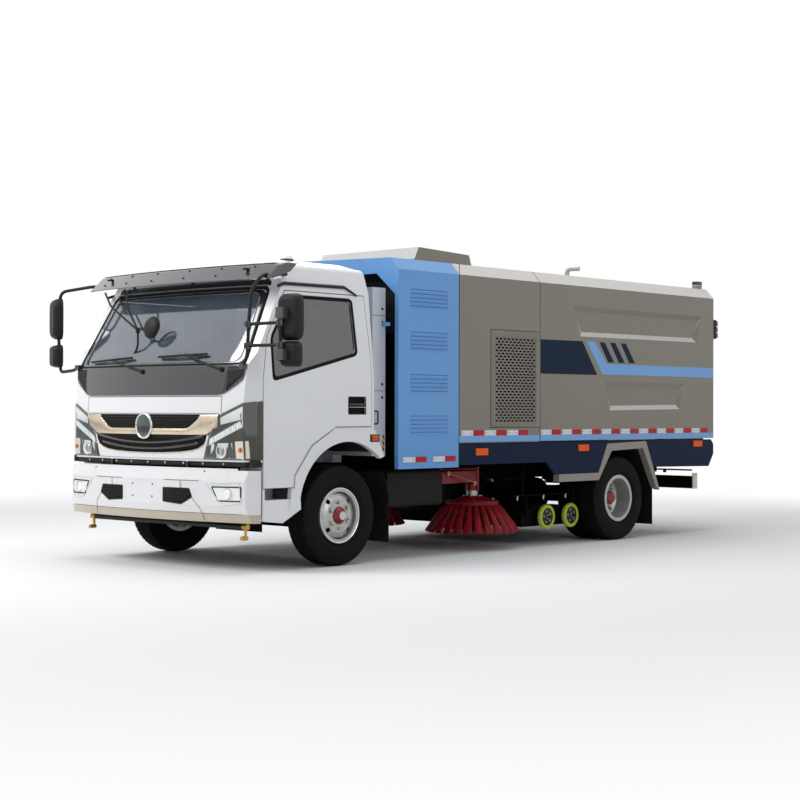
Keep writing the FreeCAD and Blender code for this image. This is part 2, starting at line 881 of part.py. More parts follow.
def build_frame():
    """The ladder frame with its subframe, cross members and brackets."""
    front = -S.cab_pivot_reach + 130
    back = S.tip_pivot_reach + 20
    pieces = []
    for side, tag in ((1, "left"), (-1, "right")):
        inner = S.rail_centre - S.rail_flange / 2
        outer = S.rail_centre + S.rail_flange / 2
        section = [
            (side * outer, S.rail_base),
            (side * outer, rail_top),
            (side * inner, rail_top),
            (side * inner, rail_top - S.rail_plate),
            (side * (outer - S.rail_plate), rail_top - S.rail_plate),
            (side * (outer - S.rail_plate), S.rail_base + S.rail_plate),
            (side * inner, S.rail_base + S.rail_plate),
            (side * inner, S.rail_base),
        ]
        pieces.append(prism(f"rail_{tag}", "XZ", section, (front, back)))
        ends = span_on(side, S.rail_centre - 30, S.rail_centre + 30)
        pieces.append(box(f"subframe_{tag}", ends, (-1480, back), (rail_top, deck_height)))
        pivot_lug = prism(
            f"cab_pivot_lug_{tag}",
            "YZ",
            [
                (front + 60, rail_top),
                (-S.cab_pivot_reach - 14, S.cab_pivot_height + 8),
                (-S.cab_pivot_reach - 14, S.cab_pivot_height - 25),
                (front, S.rail_base + 60),
                (front + 60, S.rail_base + 60),
            ],
            ends,
        )
        pieces.append(pivot_lug)
    for index, y in enumerate((-3000, -1650, -780, 330, 1230, 2130, 2700)):
        size = S.rail_centre * 2 + S.rail_flange - S.rail_plate * 2 + 1
        pieces.append(rod(f"cross_member_{index}", "X", (0, y, S.rail_base + 100), S.cross_member_radius, size))
    for index, y in enumerate((-1300, -900, 250)):
        pieces.append(box(f"outrigger_{index}", (-1060, 1060), (y - 30, y + 30), (rail_top + 60, deck_height)))
    for index, y in enumerate((475, 1180, 2350, 3000)):
        for side, tag in ((1, "left"), (-1, "right")):
            ends = span_on(side, S.rail_centre + 30, half_width - S.skirt_thickness)
            pieces.append(box(f"skirt_arm_{index}_{tag}", ends, (y - 25, y + 25), (rail_top + 70, deck_height - 10)))
    for index, y in enumerate((front_axle_y, rear_axle_y)):
        for end, offset in (("front", -1), ("back", 1)):
            for side, tag in ((1, "left"), (-1, "right")):
                centre = side * S.rail_centre
                spot = y + offset * S.spring_half_length
                pieces.append(
                    box(
                        f"spring_hanger_{index}_{end}_{tag}",
                        (centre - 20, centre + 20),
                        (spot - 30, spot + 30),
                        (S.rail_base - 60, S.rail_base),
                    )
                )
    for side, tag in ((1, "left"), (-1, "right")):
        ends = span_on(side, S.rail_centre + 34, S.brush_pivot_centre + 45)
        reach = (-S.brush_pivot_reach - 22, 22 - S.brush_pivot_reach)
        pieces.append(box(f"brush_bracket_{tag}", ends, reach, (rail_top - 4, rail_top + 30)))
    ram_reach = (S.ram_pivot_reach - 45, S.ram_pivot_reach + 100)
    for side, tag in ((1, "left"), (-1, "right")):
        ends = span_on(side, 82, 100)
        heights = (S.ram_pivot_height - 50, S.ram_pivot_height + 50)
        pieces.append(box(f"ram_ear_{tag}", ends, ram_reach, heights))
        pieces.append(cab_rest(side, tag))
        lift_spot = (side * S.lift_rod_centre, S.lift_rod_reach, (640 + rail_top + 80) / 2)
        pieces.append(rod(f"lift_tube_{tag}", "Z", lift_spot, S.lift_rod_radius + 10, rail_top + 80 - 640))
    pieces.append(
        rod("cab_pin", "X", (0, -S.cab_pivot_reach, S.cab_pivot_height), S.cab_pivot_radius, S.rail_centre * 2 + 130)
    )
    pieces.append(
        rod("tip_pin", "X", (0, S.tip_pivot_reach, S.tip_pivot_height), S.tip_pivot_radius, S.rail_centre * 2 + 210)
    )
    trunnion_radius = S.ram_trunnion_radius + S.bearing_gap
    bores = [rod("ram_bore", "X", (0, S.ram_pivot_reach, S.ram_pivot_height), trunnion_radius, 260)]
    for side, tag in ((1, "left"), (-1, "right")):
        lift_spot = (side * S.lift_rod_centre, S.lift_rod_reach, 740)
        bores.append(rod(f"lift_bore_{tag}", "Z", lift_spot, S.lift_rod_radius + S.bearing_gap, 220))
    frame = cut("frame_body", fuse("frame_blank", pieces), bores)
    node("chassis_frame", frame)


def cab_rest(side, tag):
    """A pad on the rail that the cab's rear sits on."""
    ends = span_on(side, S.rail_centre - 30, S.rail_centre + 30)
    return box(f"cab_rest_{tag}", ends, (-S.cab_back - 90, -S.cab_back - 30), (rail_top, S.cab_base - 0.3))


def leaf_pack(name, y, side, rise):
    """One spring: three leaves on a common curve, the shorter ones below."""
    half = S.spring_half_length
    radius = (half * half + rise * rise) / (rise * 2)
    top = S.rail_base - 60
    centre_z = top - rise + radius
    leaves = []
    for index, share in enumerate((1.0, 0.75, 0.5)):
        outer = rod(f"{name}_outer_{index}", "X", (0, y, centre_z), radius + S.spring_leaf * (index + 1), S.spring_width)
        bore = rod(f"{name}_bore_{index}", "X", (0, y, centre_z), radius + S.spring_leaf * index, S.spring_width + 10)
        ring = cut(f"{name}_ring_{index}", outer, [bore])
        reach = half * share
        window = box(
            f"{name}_window_{index}",
            (-S.spring_width, S.spring_width),
            (y - reach, y + reach),
            (top - rise - 60, top),
        )
        leaves.append(common(f"{name}_leaf_{index}", [ring, window]))
    pack = fuse(name, leaves)
    bind(pack, "Placement.Base.x", side * S.rail_centre)
    return pack


def build_axles():
    """Front beam axle, rear drive axle and the four leaf springs."""
    beam_top = S.rail_base - 60 - S.front_spring_camber - S.spring_leaf * 3
    rear_spring_low = S.rail_base - 60 - S.rear_spring_camber - S.spring_leaf * 3
    boss_half = 42
    beam = prism(
        "front_beam",
        "XZ",
        [
            (-S.kingpin_centre, S.tyre_radius - 30),
            (-700, S.tyre_radius - 45),
            (-560, beam_top - 90),
            (560, beam_top - 90),
            (700, S.tyre_radius - 45),
            (S.kingpin_centre, S.tyre_radius - 30),
            (S.kingpin_centre, S.tyre_radius + 30),
            (680, S.tyre_radius + 20),
            (540, beam_top),
            (-540, beam_top),
            (-680, S.tyre_radius + 20),
            (-S.kingpin_centre, S.tyre_radius + 30),
        ],
        (front_axle_y - 40, front_axle_y + 40),
    )
    bosses = []
    bores = []
    for side, tag in ((1, "left"), (-1, "right")):
        spot = (side * S.kingpin_centre, front_axle_y, S.tyre_radius)
        bosses.append(rod(f"beam_boss_{tag}", "Z", spot, 34, boss_half * 2))
        bores.append(rod(f"beam_bore_{tag}", "Z", spot, S.kingpin_radius + S.bearing_gap, boss_half * 2 + 40))
        trim_ends = span_on(side, S.kingpin_centre + 34, S.kingpin_centre + 60)
        bores.append(box(f"beam_trim_{tag}", trim_ends, (front_axle_y - 60, front_axle_y + 60), (300, 500)))
    node("front_axle", cut("front_axle_body", fuse("front_axle_blank", [beam] + bosses), bores))

    tube = rod("rear_tube", "X", (0, rear_axle_y, S.tyre_radius), S.axle_tube_radius, (S.dual_centre + 100) * 2)
    casing = rod("axle_casing", "Y", (0, rear_axle_y, S.tyre_radius), S.axle_casing_radius, 190)
    motor = rod("drive_motor", "Y", (0, rear_axle_y - 240, S.tyre_radius + 15), 130, 300)
    saddles = [
        box(
            f"spring_saddle_{tag}",
            (side * S.rail_centre - 35, side * S.rail_centre + 35),
            (rear_axle_y - 60, rear_axle_y + 60),
            (S.tyre_radius + 20, rear_spring_low),
        )
        for side, tag in ((1, "left"), (-1, "right"))
    ]
    node("rear_axle", fuse("rear_axle_body", [tube, casing, motor] + saddles))

    packs = []
    for index, (y, rise) in enumerate(
        ((front_axle_y, S.front_spring_camber), (rear_axle_y, S.rear_spring_camber))
    ):
        for side, tag in ((1, "left"), (-1, "right")):
            packs.append(leaf_pack(f"leaf_pack_{index}_{tag}", y, side, rise))
    springs = DOC.addObject("Part::Compound", "spring_set")
    springs.Links = packs
    node("leaf_springs", springs)


def tyre_outline(centre):
    """A tyre's section, as (across, radius), round the rim's seat."""
    half = S.tyre_width / 2
    seat = S.rim_seat_radius + 0.5
    flange = S.rim_flange_radius
    across = [
        (-78.5, seat),
        (-82, flange + 3),
        (-half, S.tyre_radius - 115),
        (-half + 6, S.tyre_radius - 46),
        (-half + 38, S.tyre_radius),
        (half - 38, S.tyre_radius),
        (half - 6, S.tyre_radius - 46),
        (half, S.tyre_radius - 115),
        (82, flange + 3),
        (78.5, seat),
    ]
    return [(centre + point[0], point[1]) for point in across]


def barrel_outline(centre):
    """A wheel rim's barrel, with a flange at each edge."""
    seat = S.rim_seat_radius
    inner = seat - S.rim_wall
    return [
        (centre - 95, inner),
        (centre + 95, inner),
        (centre + 95, S.rim_flange_radius),
        (centre + 83, S.rim_flange_radius),
        (centre + 79, seat),
        (centre - 79, seat),
        (centre - 83, S.rim_flange_radius),
        (centre - 95, S.rim_flange_radius),
    ]


def stud_ring(name, x, length):
    """Six wheel studs on their circle, standing out along the axle."""
    body = DOC.addObject("PartDesign::Body", name)
    sketch = body.newObject("Sketcher::SketchObject", name + "_outline")
    plane = [item for item in body.Origin.OriginFeatures if item.Role == "YZ_Plane"][0]
    sketch.AttachmentSupport = [(plane, "")]
    sketch.MapMode = "FlatFace"
    bind(sketch, "AttachmentOffset.Base.z", x)
    sketch.addGeometry(
        Part.Circle(FreeCAD.Vector(0, S.stud_circle.value, 0), FreeCAD.Vector(0, 0, 1), S.stud_radius.value), False
    )
    radius = sketch.addConstraint(Sketcher.Constraint("Radius", 0, S.stud_radius.value))
    sketch.setExpression(f"Constraints[{radius}]", S.stud_radius.text)
    across = sketch.addConstraint(Sketcher.Constraint("DistanceX", -1, 1, 0, 3, 0))
    up = sketch.addConstraint(Sketcher.Constraint("DistanceY", -1, 1, 0, 3, S.stud_circle.value))
    sketch.setExpression(f"Constraints[{up}]", S.stud_circle.text)
    sketch.setDatum(across, FreeCAD.Units.Quantity(0))
    pad = body.newObject("PartDesign::Pad", name + "_pad")
    pad.Profile = sketch
    bind(pad, "Length", length)
    DOC.recompute()
    ring_of(body, pad, "X_Axis", 6)
    return body


def build_front_wheel():
    """The left front wheel about its own centre: tyre, domed disc with hand holes, hub and studs."""
    tyre = turned("front_tyre_form", "X", tyre_outline(Size.of(0)))
    barrel = turned("front_barrel", "X", barrel_outline(Size.of(0)))
    disc_outline = [
        (20, S.rim_seat_radius - S.rim_wall + 1),
        (58, 176),
        (78, 138),
        (82, S.stub_radius + S.bearing_gap),
        (92, S.stub_radius + S.bearing_gap),
        (90, 136),
        (68, 180),
        (34, S.rim_seat_radius - S.rim_wall + 1),
    ]
    disc = turned("front_disc", "X", disc_outline)
    cap = turned(
        "front_hub_cap",
        "X",
        [
            (-30, S.stub_radius + S.bearing_gap),
            (-30, 60),
            (84, S.hub_radius),
            (100, 66),
            (118, 50),
            (130, 36),
            (134, 0),
            (60, 0),
            (60, S.stub_radius + S.bearing_gap),
        ],
    )
    studs = stud_ring("front_studs", 84, 24)
    holes = hole_ring("front_holes", 158, 20, 4)
    rim = fuse("front_rim_form", [cut("front_disc_cut", disc, [holes]), barrel, cap, studs])
    return tyre, rim


def hole_ring(name, circle, radius, count):
    """Round hand holes through a wheel's disc."""
    holes = []
    for index in range(count):
        angle = 2 * math.pi * (index + 0.5) / count
        holes.append(
            rod(f"{name}_{index}", "X", (60, circle * math.sin(angle), circle * math.cos(angle)), radius, 120)
        )
    return fuse(name, holes)


def build_rear_wheels():
    """The left twin wheels about the middle between them: two tyres, and one welded and bolted rim set."""
    half = S.dual_spacing / 2
    outer_tyre = turned("rear_outer_tyre_form", "X", tyre_outline(half))
    inner_tyre = turned("rear_inner_tyre_form", "X", tyre_outline(-half))
    tyres = DOC.addObject("Part::Compound", "rear_tyre_pair_form")
    tyres.Links = [outer_tyre, inner_tyre]
    inner = S.rim_seat_radius - S.rim_wall + 1
    discs = turned(
        "rear_discs",
        "X",
        [
            (-10, S.axle_tube_radius + 4),
            (12, S.axle_tube_radius + 4),
            (12, 140),
            (40, 165),
            (60, inner),
            (45, inner),
            (28, 172),
            (1, 150),
            (-26, 172),
            (-45, inner),
            (-60, inner),
            (-38, 165),
            (-10, 140),
        ],
    )
    hub = turned(
        "rear_hub",
        "X",
        [
            (-20, S.axle_tube_radius + S.bearing_gap),
            (-20, 80),
            (60, 80),
            (75, 68),
            (128, 62),
            (140, 50),
            (140, 0),
            (118, 0),
            (118, S.axle_tube_radius - 2),
            (105, S.axle_tube_radius + S.bearing_gap),
        ],
    )
    studs = stud_ring("rear_studs", 10, 30)
    holes = hole_ring("rear_holes", 158, 18, 4)
    barrels = [
        turned("rear_outer_barrel", "X", barrel_outline(half)),
        turned("rear_inner_barrel", "X", barrel_outline(-half)),
    ]
    rims = fuse("rear_rim_form", [cut("rear_discs_cut", discs, [holes]), hub, studs] + barrels)
    return tyres, rims


def linked(name, source, x, y, z, flip=False):
    """A placed copy of a form, turned round for the right-hand side."""
    copy = DOC.addObject("Part::Compound", name)
    if flip:
        source = mirrored(name + "_mirror", source)
    copy.Links = [source]
    return move(copy, x, y, z)


def build_wheels():
    """Four wheel positions and the steering knuckles."""
    front_tyre, front_rim = build_front_wheel()
    rear_tyres, rear_rims = build_rear_wheels()
    for side, tag in ((1, "left"), (-1, "right")):
        flip = side < 0
        front = (side * S.front_wheel_centre, front_axle_y, S.tyre_radius)
        rear = (side * S.dual_centre, rear_axle_y, S.tyre_radius)
        node(f"front_tyre_{tag}", linked(f"front_tyre_{tag}_placed", front_tyre, *front, flip))
        node(f"front_rim_{tag}", linked(f"front_rim_{tag}_placed", front_rim, *front, flip))
        node(f"rear_tyres_{tag}", linked(f"rear_tyres_{tag}_placed", rear_tyres, *rear, flip))
        node(f"rear_rims_{tag}", linked(f"rear_rims_{tag}_placed", rear_rims, *rear, flip))
    knuckle = build_knuckle()
    node("knuckle_left", knuckle)
    node("knuckle_right", mirrored("knuckle_right_form", knuckle))


def build_knuckle():
    """The left knuckle: a kingpin in a yoke, a back plate and the stub that carries the wheel."""
    x = S.kingpin_centre
    z = S.tyre_radius
    pin = rod("kingpin", "Z", (x, front_axle_y, z), S.kingpin_radius, 150)
    arms = [
        rod("yoke_top", "Z", (x, front_axle_y, z + 60), 32, 26),
        rod("yoke_bottom", "Z", (x, front_axle_y, z - 60), 32, 26),
        box("yoke_top_arm", (x, x + 50), (front_axle_y - 30, front_axle_y + 30), (z + 47, z + 73)),
        box("yoke_bottom_arm", (x, x + 50), (front_axle_y - 30, front_axle_y + 30), (z - 73, z - 47)),
        box("yoke_web", (x + 42, x + 60), (front_axle_y - 36, front_axle_y + 36), (z - 73, z + 73)),
    ]
    plate = rod("back_plate", "X", (x + 62, front_axle_y, z), 150, 8)
    stub = rod("stub_axle", "X", (x + 120, front_axle_y, z), S.stub_radius, 120)
    tie_arm = box("tie_arm", (x - 20, x + 20), (front_axle_y + 25, front_axle_y + 170), (z - 73, z - 55))
    return fuse("knuckle_form", [pin, plate, stub, tie_arm] + arms)


def body_section(inset, base):
    """The cross section of cowl, bay and hopper: upright sides, a chamfer and a slightly crowned roof."""
    inset = Size.of(inset)
    half = half_width - inset
    side = S.roof_side_height - inset * 0.4
    shoulder = half - S.roof_chamfer_width + inset * 0.3
    roof = S.roof_side_height + S.roof_chamfer_rise - inset
    crown = S.roof_height - inset
    return [
        (-half, base),
        (half, base),
        (half, side),
        (shoulder, roof),
        (0, crown),
        (-shoulder, roof),
        (-half, side),
    ]


def build_cowl():
    """The open-fronted cowl with four banks of louvres on each side."""
    span = (-S.cowl_front, -S.cowl_back)
    wall = S.panel_thickness
    shell = prism("cowl_outer", "XZ", body_section(0, S.cowl_base), span)
    hollow = prism(
        "cowl_hollow",
        "XZ",
        [
            (wall - half_width, S.cowl_base - 10),
            (half_width - wall, S.cowl_base - 10),
            (half_width - wall, 2200),
            (half_width - 250, S.roof_side_height - 25),
            (250 - half_width, S.roof_side_height - 25),
            (wall - half_width, 2200),
        ],
        (-S.cowl_front - 10, -S.cowl_back - wall),
    )
    rail_gap = box("cowl_rail_gap", (-1080, 1080), (-S.cowl_back - wall - 5, 10 - S.cowl_back), (600, deck_height))
    slots = []
    blades = []
    for bank, top in enumerate((2250, 1895, 1540, 1196)):
        for row in range(int(S.louvre_rows.value)):
            z = top - row * S.louvre_pitch
            middle = (-S.cowl_front - S.cowl_back) / 2
            start = middle - S.louvre_length / 2
            end = middle + S.louvre_length / 2
            slots.append(
                box(f"louvre_slot_{bank}_{row}", (half_width - wall - 5, half_width + 5), (start, end), (z - 18, z))
            )
            blades.append(
                prism(
                    f"louvre_blade_{bank}_{row}",
                    "XZ",
                    [
                        (half_width - wall, z),
                        (half_width - 8, z),
                        (half_width + 5, z - 16),
                        (half_width + 3, z - 18),
                        (half_width - 11, z - 4),
                        (half_width - wall, z - 4),
                    ],
                    (start, end),
                )
            )
    left = fuse("louvre_slots_left", slots)
    left_blades = fuse("louvre_blades_left", blades)
    opened = cut(
        "cowl_opened", shell, [hollow, rail_gap, left, mirrored("louvre_slots_right", left)]
    )
    cowl = fuse("cowl_body", [opened, left_blades, mirrored("louvre_blades_right", left_blades)])
    node("front_cowl", cowl)


def mesh_door_outline(grow):
    """A mesh door's outline seen from the side."""
    grow = Size.of(grow)
    return [
        (-S.mesh_door_front - grow, S.mesh_door_base - grow),
        (S.mesh_door_back + grow, S.mesh_door_base - grow),
        (S.mesh_door_back + grow, S.mesh_door_top + grow),
        (-S.mesh_door_front - grow, S.mesh_door_top + grow),
    ]


def build_bay():
    """The fixed service bay behind the cowl, its mesh doors and the fan inside."""
    span = (-S.cowl_back, S.bay_back)
    wall = S.panel_thickness
    shell = prism("bay_outer", "XZ", body_section(0, S.body_base), span)
    hollow = prism(
        "bay_hollow",
        "XZ",
        body_section(wall, S.body_base + wall),
        (-S.cowl_back + wall, S.bay_back - wall),
    )
    opening = prism(
        "mesh_opening", "YZ", mesh_door_outline(S.running_gap), (-half_width - 10, half_width + 10)
    )
    bay = cut("bay_cut", shell, [hollow, opening])
    hump = prism(
        "roof_hump",
        "YZ",
        [(-840, S.roof_height - 40), (0, S.roof_height - 40), (-60, 2655), (-740, 2680)],
        (-600, 600),
    )
    hump_front = box("hump_front", (-700, 700), (-900, -S.cowl_back), (2400, 2800))
    hump_trimmed = cut("roof_hump_trimmed", hump, [hump_front])
    feet = [
        box(f"bay_foot_{index}", (-500, 500), (y - 40, y + 40), (deck_height, S.body_base + 2))
        for index, y in enumerate((-700, 200))
    ]
    keep = box(
        "mesh_striker",
        (half_width - 20, half_width - 6),
        (S.mesh_door_back + S.latch_gap, S.mesh_door_back + S.running_gap + 8),
        (1590, 1620),
    )
    bay_pieces = [bay, hump_trimmed, keep, mirrored("mesh_striker_right", keep)] + feet
    node("service_bay", fuse("bay_body", bay_pieces))
    door_wall = 30
    frame = prism("mesh_door_frame", "YZ", mesh_door_outline(0), (half_width - door_wall, half_width))
    pocket = prism(
        "mesh_door_pocket",
        "YZ",
        [(-321, 1137), (257, 1137), (257, 1886), (-321, 1886)],
        (half_width - door_wall - 2, half_width - 3),
    )
    lock_reach = (S.mesh_door_back - 45, S.mesh_door_back - 15)
    lock = box("mesh_door_lock", (half_width - 10, half_width + 6), lock_reach, (1570, 1640))
    door = fuse("mesh_door_form", [cut("mesh_door_cut", frame, [pocket]), lock])
    node("mesh_door_left", door)
    node("mesh_door_right", mirrored("mesh_door_right_form", door))
    case = rod("fan_case", "X", (0, -250, 1480), 400, 420)
    outlet = box("fan_outlet", (-150, 150), (-640, -250), (1700, 1880))
    foot = box("fan_foot", (-260, 260), (-450, -50), (S.body_base + wall, 1200))
    motor = rod("fan_motor", "X", (330, -250, 1480), 170, 260)
    node("fan_unit", fuse("fan_body", [case, outlet, foot, motor]))


def recess_tool(name, outer, depth):
    """A shallow recess with sloped edges, cut into the left side."""
    bevel = S.recess_bevel
    (x0, z0), (x1, z1), (x2, z2), (x3, z3) = outer
    inner = [
        (x0 + bevel, z0 + bevel),
        (x1 - bevel, z1 + bevel),
        (x2 - bevel, z2 - bevel),
        (x3 + bevel, z3 - bevel),
    ]
    return tapered(name, "YZ", outer, inner, half_width + 0.5, half_width - depth)


def build_hopper():
    """The tipping hopper with its side recesses, tail door, lamps and roof fittings."""
    span = (S.hopper_front, S.hopper_back)
    wall = S.panel_thickness
    shell = prism("hopper_outer", "XZ", body_section(0, S.body_base + 5), span)
    hollow = prism(
        "hopper_hollow",
        "XZ",
        body_section(wall, S.body_base + 5 + S.hopper_floor),
        (S.hopper_front + wall, S.hopper_back + 10),
    )
    upper = recess_tool("recess_upper", [(931, 1934), (2904, 1941), (3007, 2210), (821, 2217)], S.recess_depth)
    lower = recess_tool("recess_lower", [(1403, 1245), (2600, 1260), (2683, 1519), (1319, 1517)], S.recess_depth)
    tools = [hollow, upper, lower, mirrored("recess_upper_right", upper), mirrored("recess_lower_right", lower)]
    body = cut("hopper_cut", shell, tools)
    lugs = []
    for side, tag in ((1, "left"), (-1, "right")):
        x = side * (S.rail_centre + 75)
        lugs.append(
            prism(
                f"tip_lug_{tag}",
                "YZ",
                [
                    (S.tip_pivot_reach - 60, S.body_base + 8),
                    (S.tip_pivot_reach - 42, S.tip_pivot_height - 42, 25),
                    (S.tip_pivot_reach + 42, S.tip_pivot_height - 42, 25),
                    (S.tip_pivot_reach + 60, S.body_base + 8),
                ],
                (x - 15, x + 15),
            )
        )
    eye = prism(
        "ram_eye_lug",
        "YZ",
        [
            (S.ram_eye_reach - 50, S.body_base + 8),
            (S.ram_eye_reach - 25, S.ram_eye_height - 25),
            (S.ram_eye_reach + 25, S.ram_eye_height - 25),
            (S.ram_eye_reach + 50, S.body_base + 8),
        ],
        (60, 85),
    )
    elbow = bent_tube(
        "roof_elbow",
        [(500, 1545, 2490), (500, 1545, 2640), (620, 1590, 2640)],
        24,
        40,
    )
    camera = box("roof_camera", (970, 1030), (3060, 3150), (S.roof_height - 45, 2580))
    tip_bore = rod(
        "tip_bore",
        "X",
        (0, S.tip_pivot_reach, S.tip_pivot_height),
        S.tip_pivot_radius + S.bearing_gap,
        S.body_width,
    )
    lugs = [cut(f"{lug.Name}_bored", lug, [tip_bore]) for lug in lugs]
    hinge_y = S.hopper_back + 10
    hinge_z = S.roof_side_height + 50
    hinge_radius = 7
    brackets = []
    knuckles = []
    for x in (-700, 700):
        brackets.append(rod(f"tail_pin_{len(brackets)}", "X", (x, hinge_y, hinge_z), hinge_radius, 76))
        for low in (-38, 31):
            brackets.append(
                box(
                    f"tail_bracket_{len(brackets)}",
                    (x + low, x + low + 7),
                    (S.hopper_back - 10, hinge_y + 1),
                    (hinge_z - 4, hinge_z + 32),
                )
            )
        knuckle = rod(f"tail_knuckle_{len(knuckles)}", "X", (x, hinge_y, hinge_z), hinge_radius + 2.4, 60)
        bore = rod(f"tail_bore_{len(knuckles)}", "X", (x, hinge_y, hinge_z), hinge_radius + S.bearing_gap, 80)
        knuckles.append((knuckle, bore))
    hopper_pieces = [body, elbow, camera, eye, mirrored("ram_eye_lug_right", eye)] + lugs + brackets
    node("hopper_shell", fuse("hopper_body", hopper_pieces))

    gap = S.running_gap
    inner = half_width - 70
    door = prism(
        "tail_door_form",
        "XZ",
        [
            (-inner, S.body_base + 20),
            (inner, S.body_base + 20),
            (inner, S.roof_side_height - 20),
            (inner - 60, S.roof_side_height + 45),
            (60 - inner, S.roof_side_height + 45),
            (-inner, S.roof_side_height - 20),
        ],
        (S.hopper_back + gap, S.hopper_back + gap + S.tail_door_thickness),
    )
    ribs = [
        box(
            f"tail_rib_{index}",
            (-900, 900),
            (S.hopper_back + gap + S.tail_door_thickness, S.overall_length / 2 - 6),
            (z - 40, z + 40),
        )
        for index, z in enumerate((1150, 1650, 2150))
    ]
    leaf = fuse("tail_door_blank", [door] + ribs + [knuckle for knuckle, bore in knuckles])
    node("tail_door", cut("tail_door_body", leaf, [bore for knuckle, bore in knuckles]))
    lamps = []
    for row in range(3):
        z = 2150 - row * 60
        lamps.append(
            box(
                f"tail_lamp_{row}",
                (half_width - 62, half_width - 6),
                (S.hopper_back, S.overall_length / 2),
                (z - 25, z + 25),
            )
        )
    stack = fuse("tail_lamp_stack", lamps + [
        box("tail_lamp_back", (half_width - 60, half_width - 8), (S.hopper_back, S.hopper_back + 20), (2000, 2180))
    ])
    node("tail_lamps", both_sides("tail_lamp_pair", stack))


def build_skirts():
    """Skirts along both sides with the rear arch cut, the arch trims and the marker lamps."""
    arch = [
        (rear_axle_y - 387, S.skirt_low_base),
        (rear_axle_y - 245, 931),
        (rear_axle_y + 392, 948),
        (rear_axle_y + 520, 690),
    ]
    outer = (half_width - S.skirt_thickness, half_width)
    skirt = prism(
        "skirt_form",
        "YZ",
        [
            (-S.cowl_back + 5, S.skirt_top),
            (-S.cowl_back + 5, S.skirt_base),
            (421, S.skirt_base),
            (559, S.skirt_low_base),
            arch[0],
            arch[1],
            arch[2],
            arch[3],
            (3140, 676),
            (S.hopper_back, 803),
            (S.hopper_back, S.tip_pivot_height - 2),
            (S.tip_pivot_reach + 28, S.skirt_top),
        ],
        outer,
    )
    node("side_skirts", both_sides("skirt_pair", skirt))
    width = S.trim_width
    trim = prism(
        "trim_form",
        "YZ",
        [
            (601, S.skirt_low_base - 0.5),
            (rear_axle_y - 387, S.skirt_low_base - 0.5),
            (arch[1][0], arch[1][1] - 1),
            (arch[2][0], arch[2][1] - 1),
            (rear_axle_y + 632, 462),
            (rear_axle_y + 570, 492),
            (rear_axle_y + 345, 948 - width),
            (rear_axle_y - 179, 931 - width),
            (rear_axle_y - 387, S.skirt_low_base - width),
            (601, S.skirt_low_base - width),
        ],
        (half_width - 60, half_width + 8),
    )
    node("arch_trims", both_sides("trim_pair", trim))
    liner = prism(
        "rear_liner",
        "YZ",
        [
            (rear_axle_y - 430, S.skirt_low_base - width - 10),
            (rear_axle_y - 424, S.skirt_low_base - width - 10),
            (rear_axle_y - 250, 860),
            (rear_axle_y + 345, 872),
            (rear_axle_y + 596, 480),
            (rear_axle_y + 596, 120),
            (rear_axle_y + 602, 120),
            (rear_axle_y + 602, 482),
            (rear_axle_y + 349, 878),
            (rear_axle_y - 254, 866),
        ],
        (S.rail_centre + 45, half_width - 60),
    )
    flap = prism(
        "front_flap",
        "YZ",
        [
            (-1629, 160),
            (-1623, 160),
            (-1623, 562),
            (-1649, 643),
            (-1700, 735),
            (-1706, 731),
            (-1655, 640),
            (-1629, 560),
        ],
        (S.rail_centre + 35, half_width - 45),
    )
    guards = DOC.addObject("Part::Compound", "mudguard_set")
    guards.Links = [both_sides("rear_liner_pair", liner), both_sides("front_flap_pair", flap)]
    node("mudguards", guards)
    markers = []
    for index, y in enumerate((-499, 977, 2924)):
        z = 882 + index * 14
        markers.append(
            box(f"marker_{index}", (half_width, half_width + 12), (y - 80, y + 80), (z - 30, z + 30))
        )
    row = DOC.addObject("Part::Compound", "marker_row")
    row.Links = markers
    node("marker_lamps", both_sides("marker_pair", row))


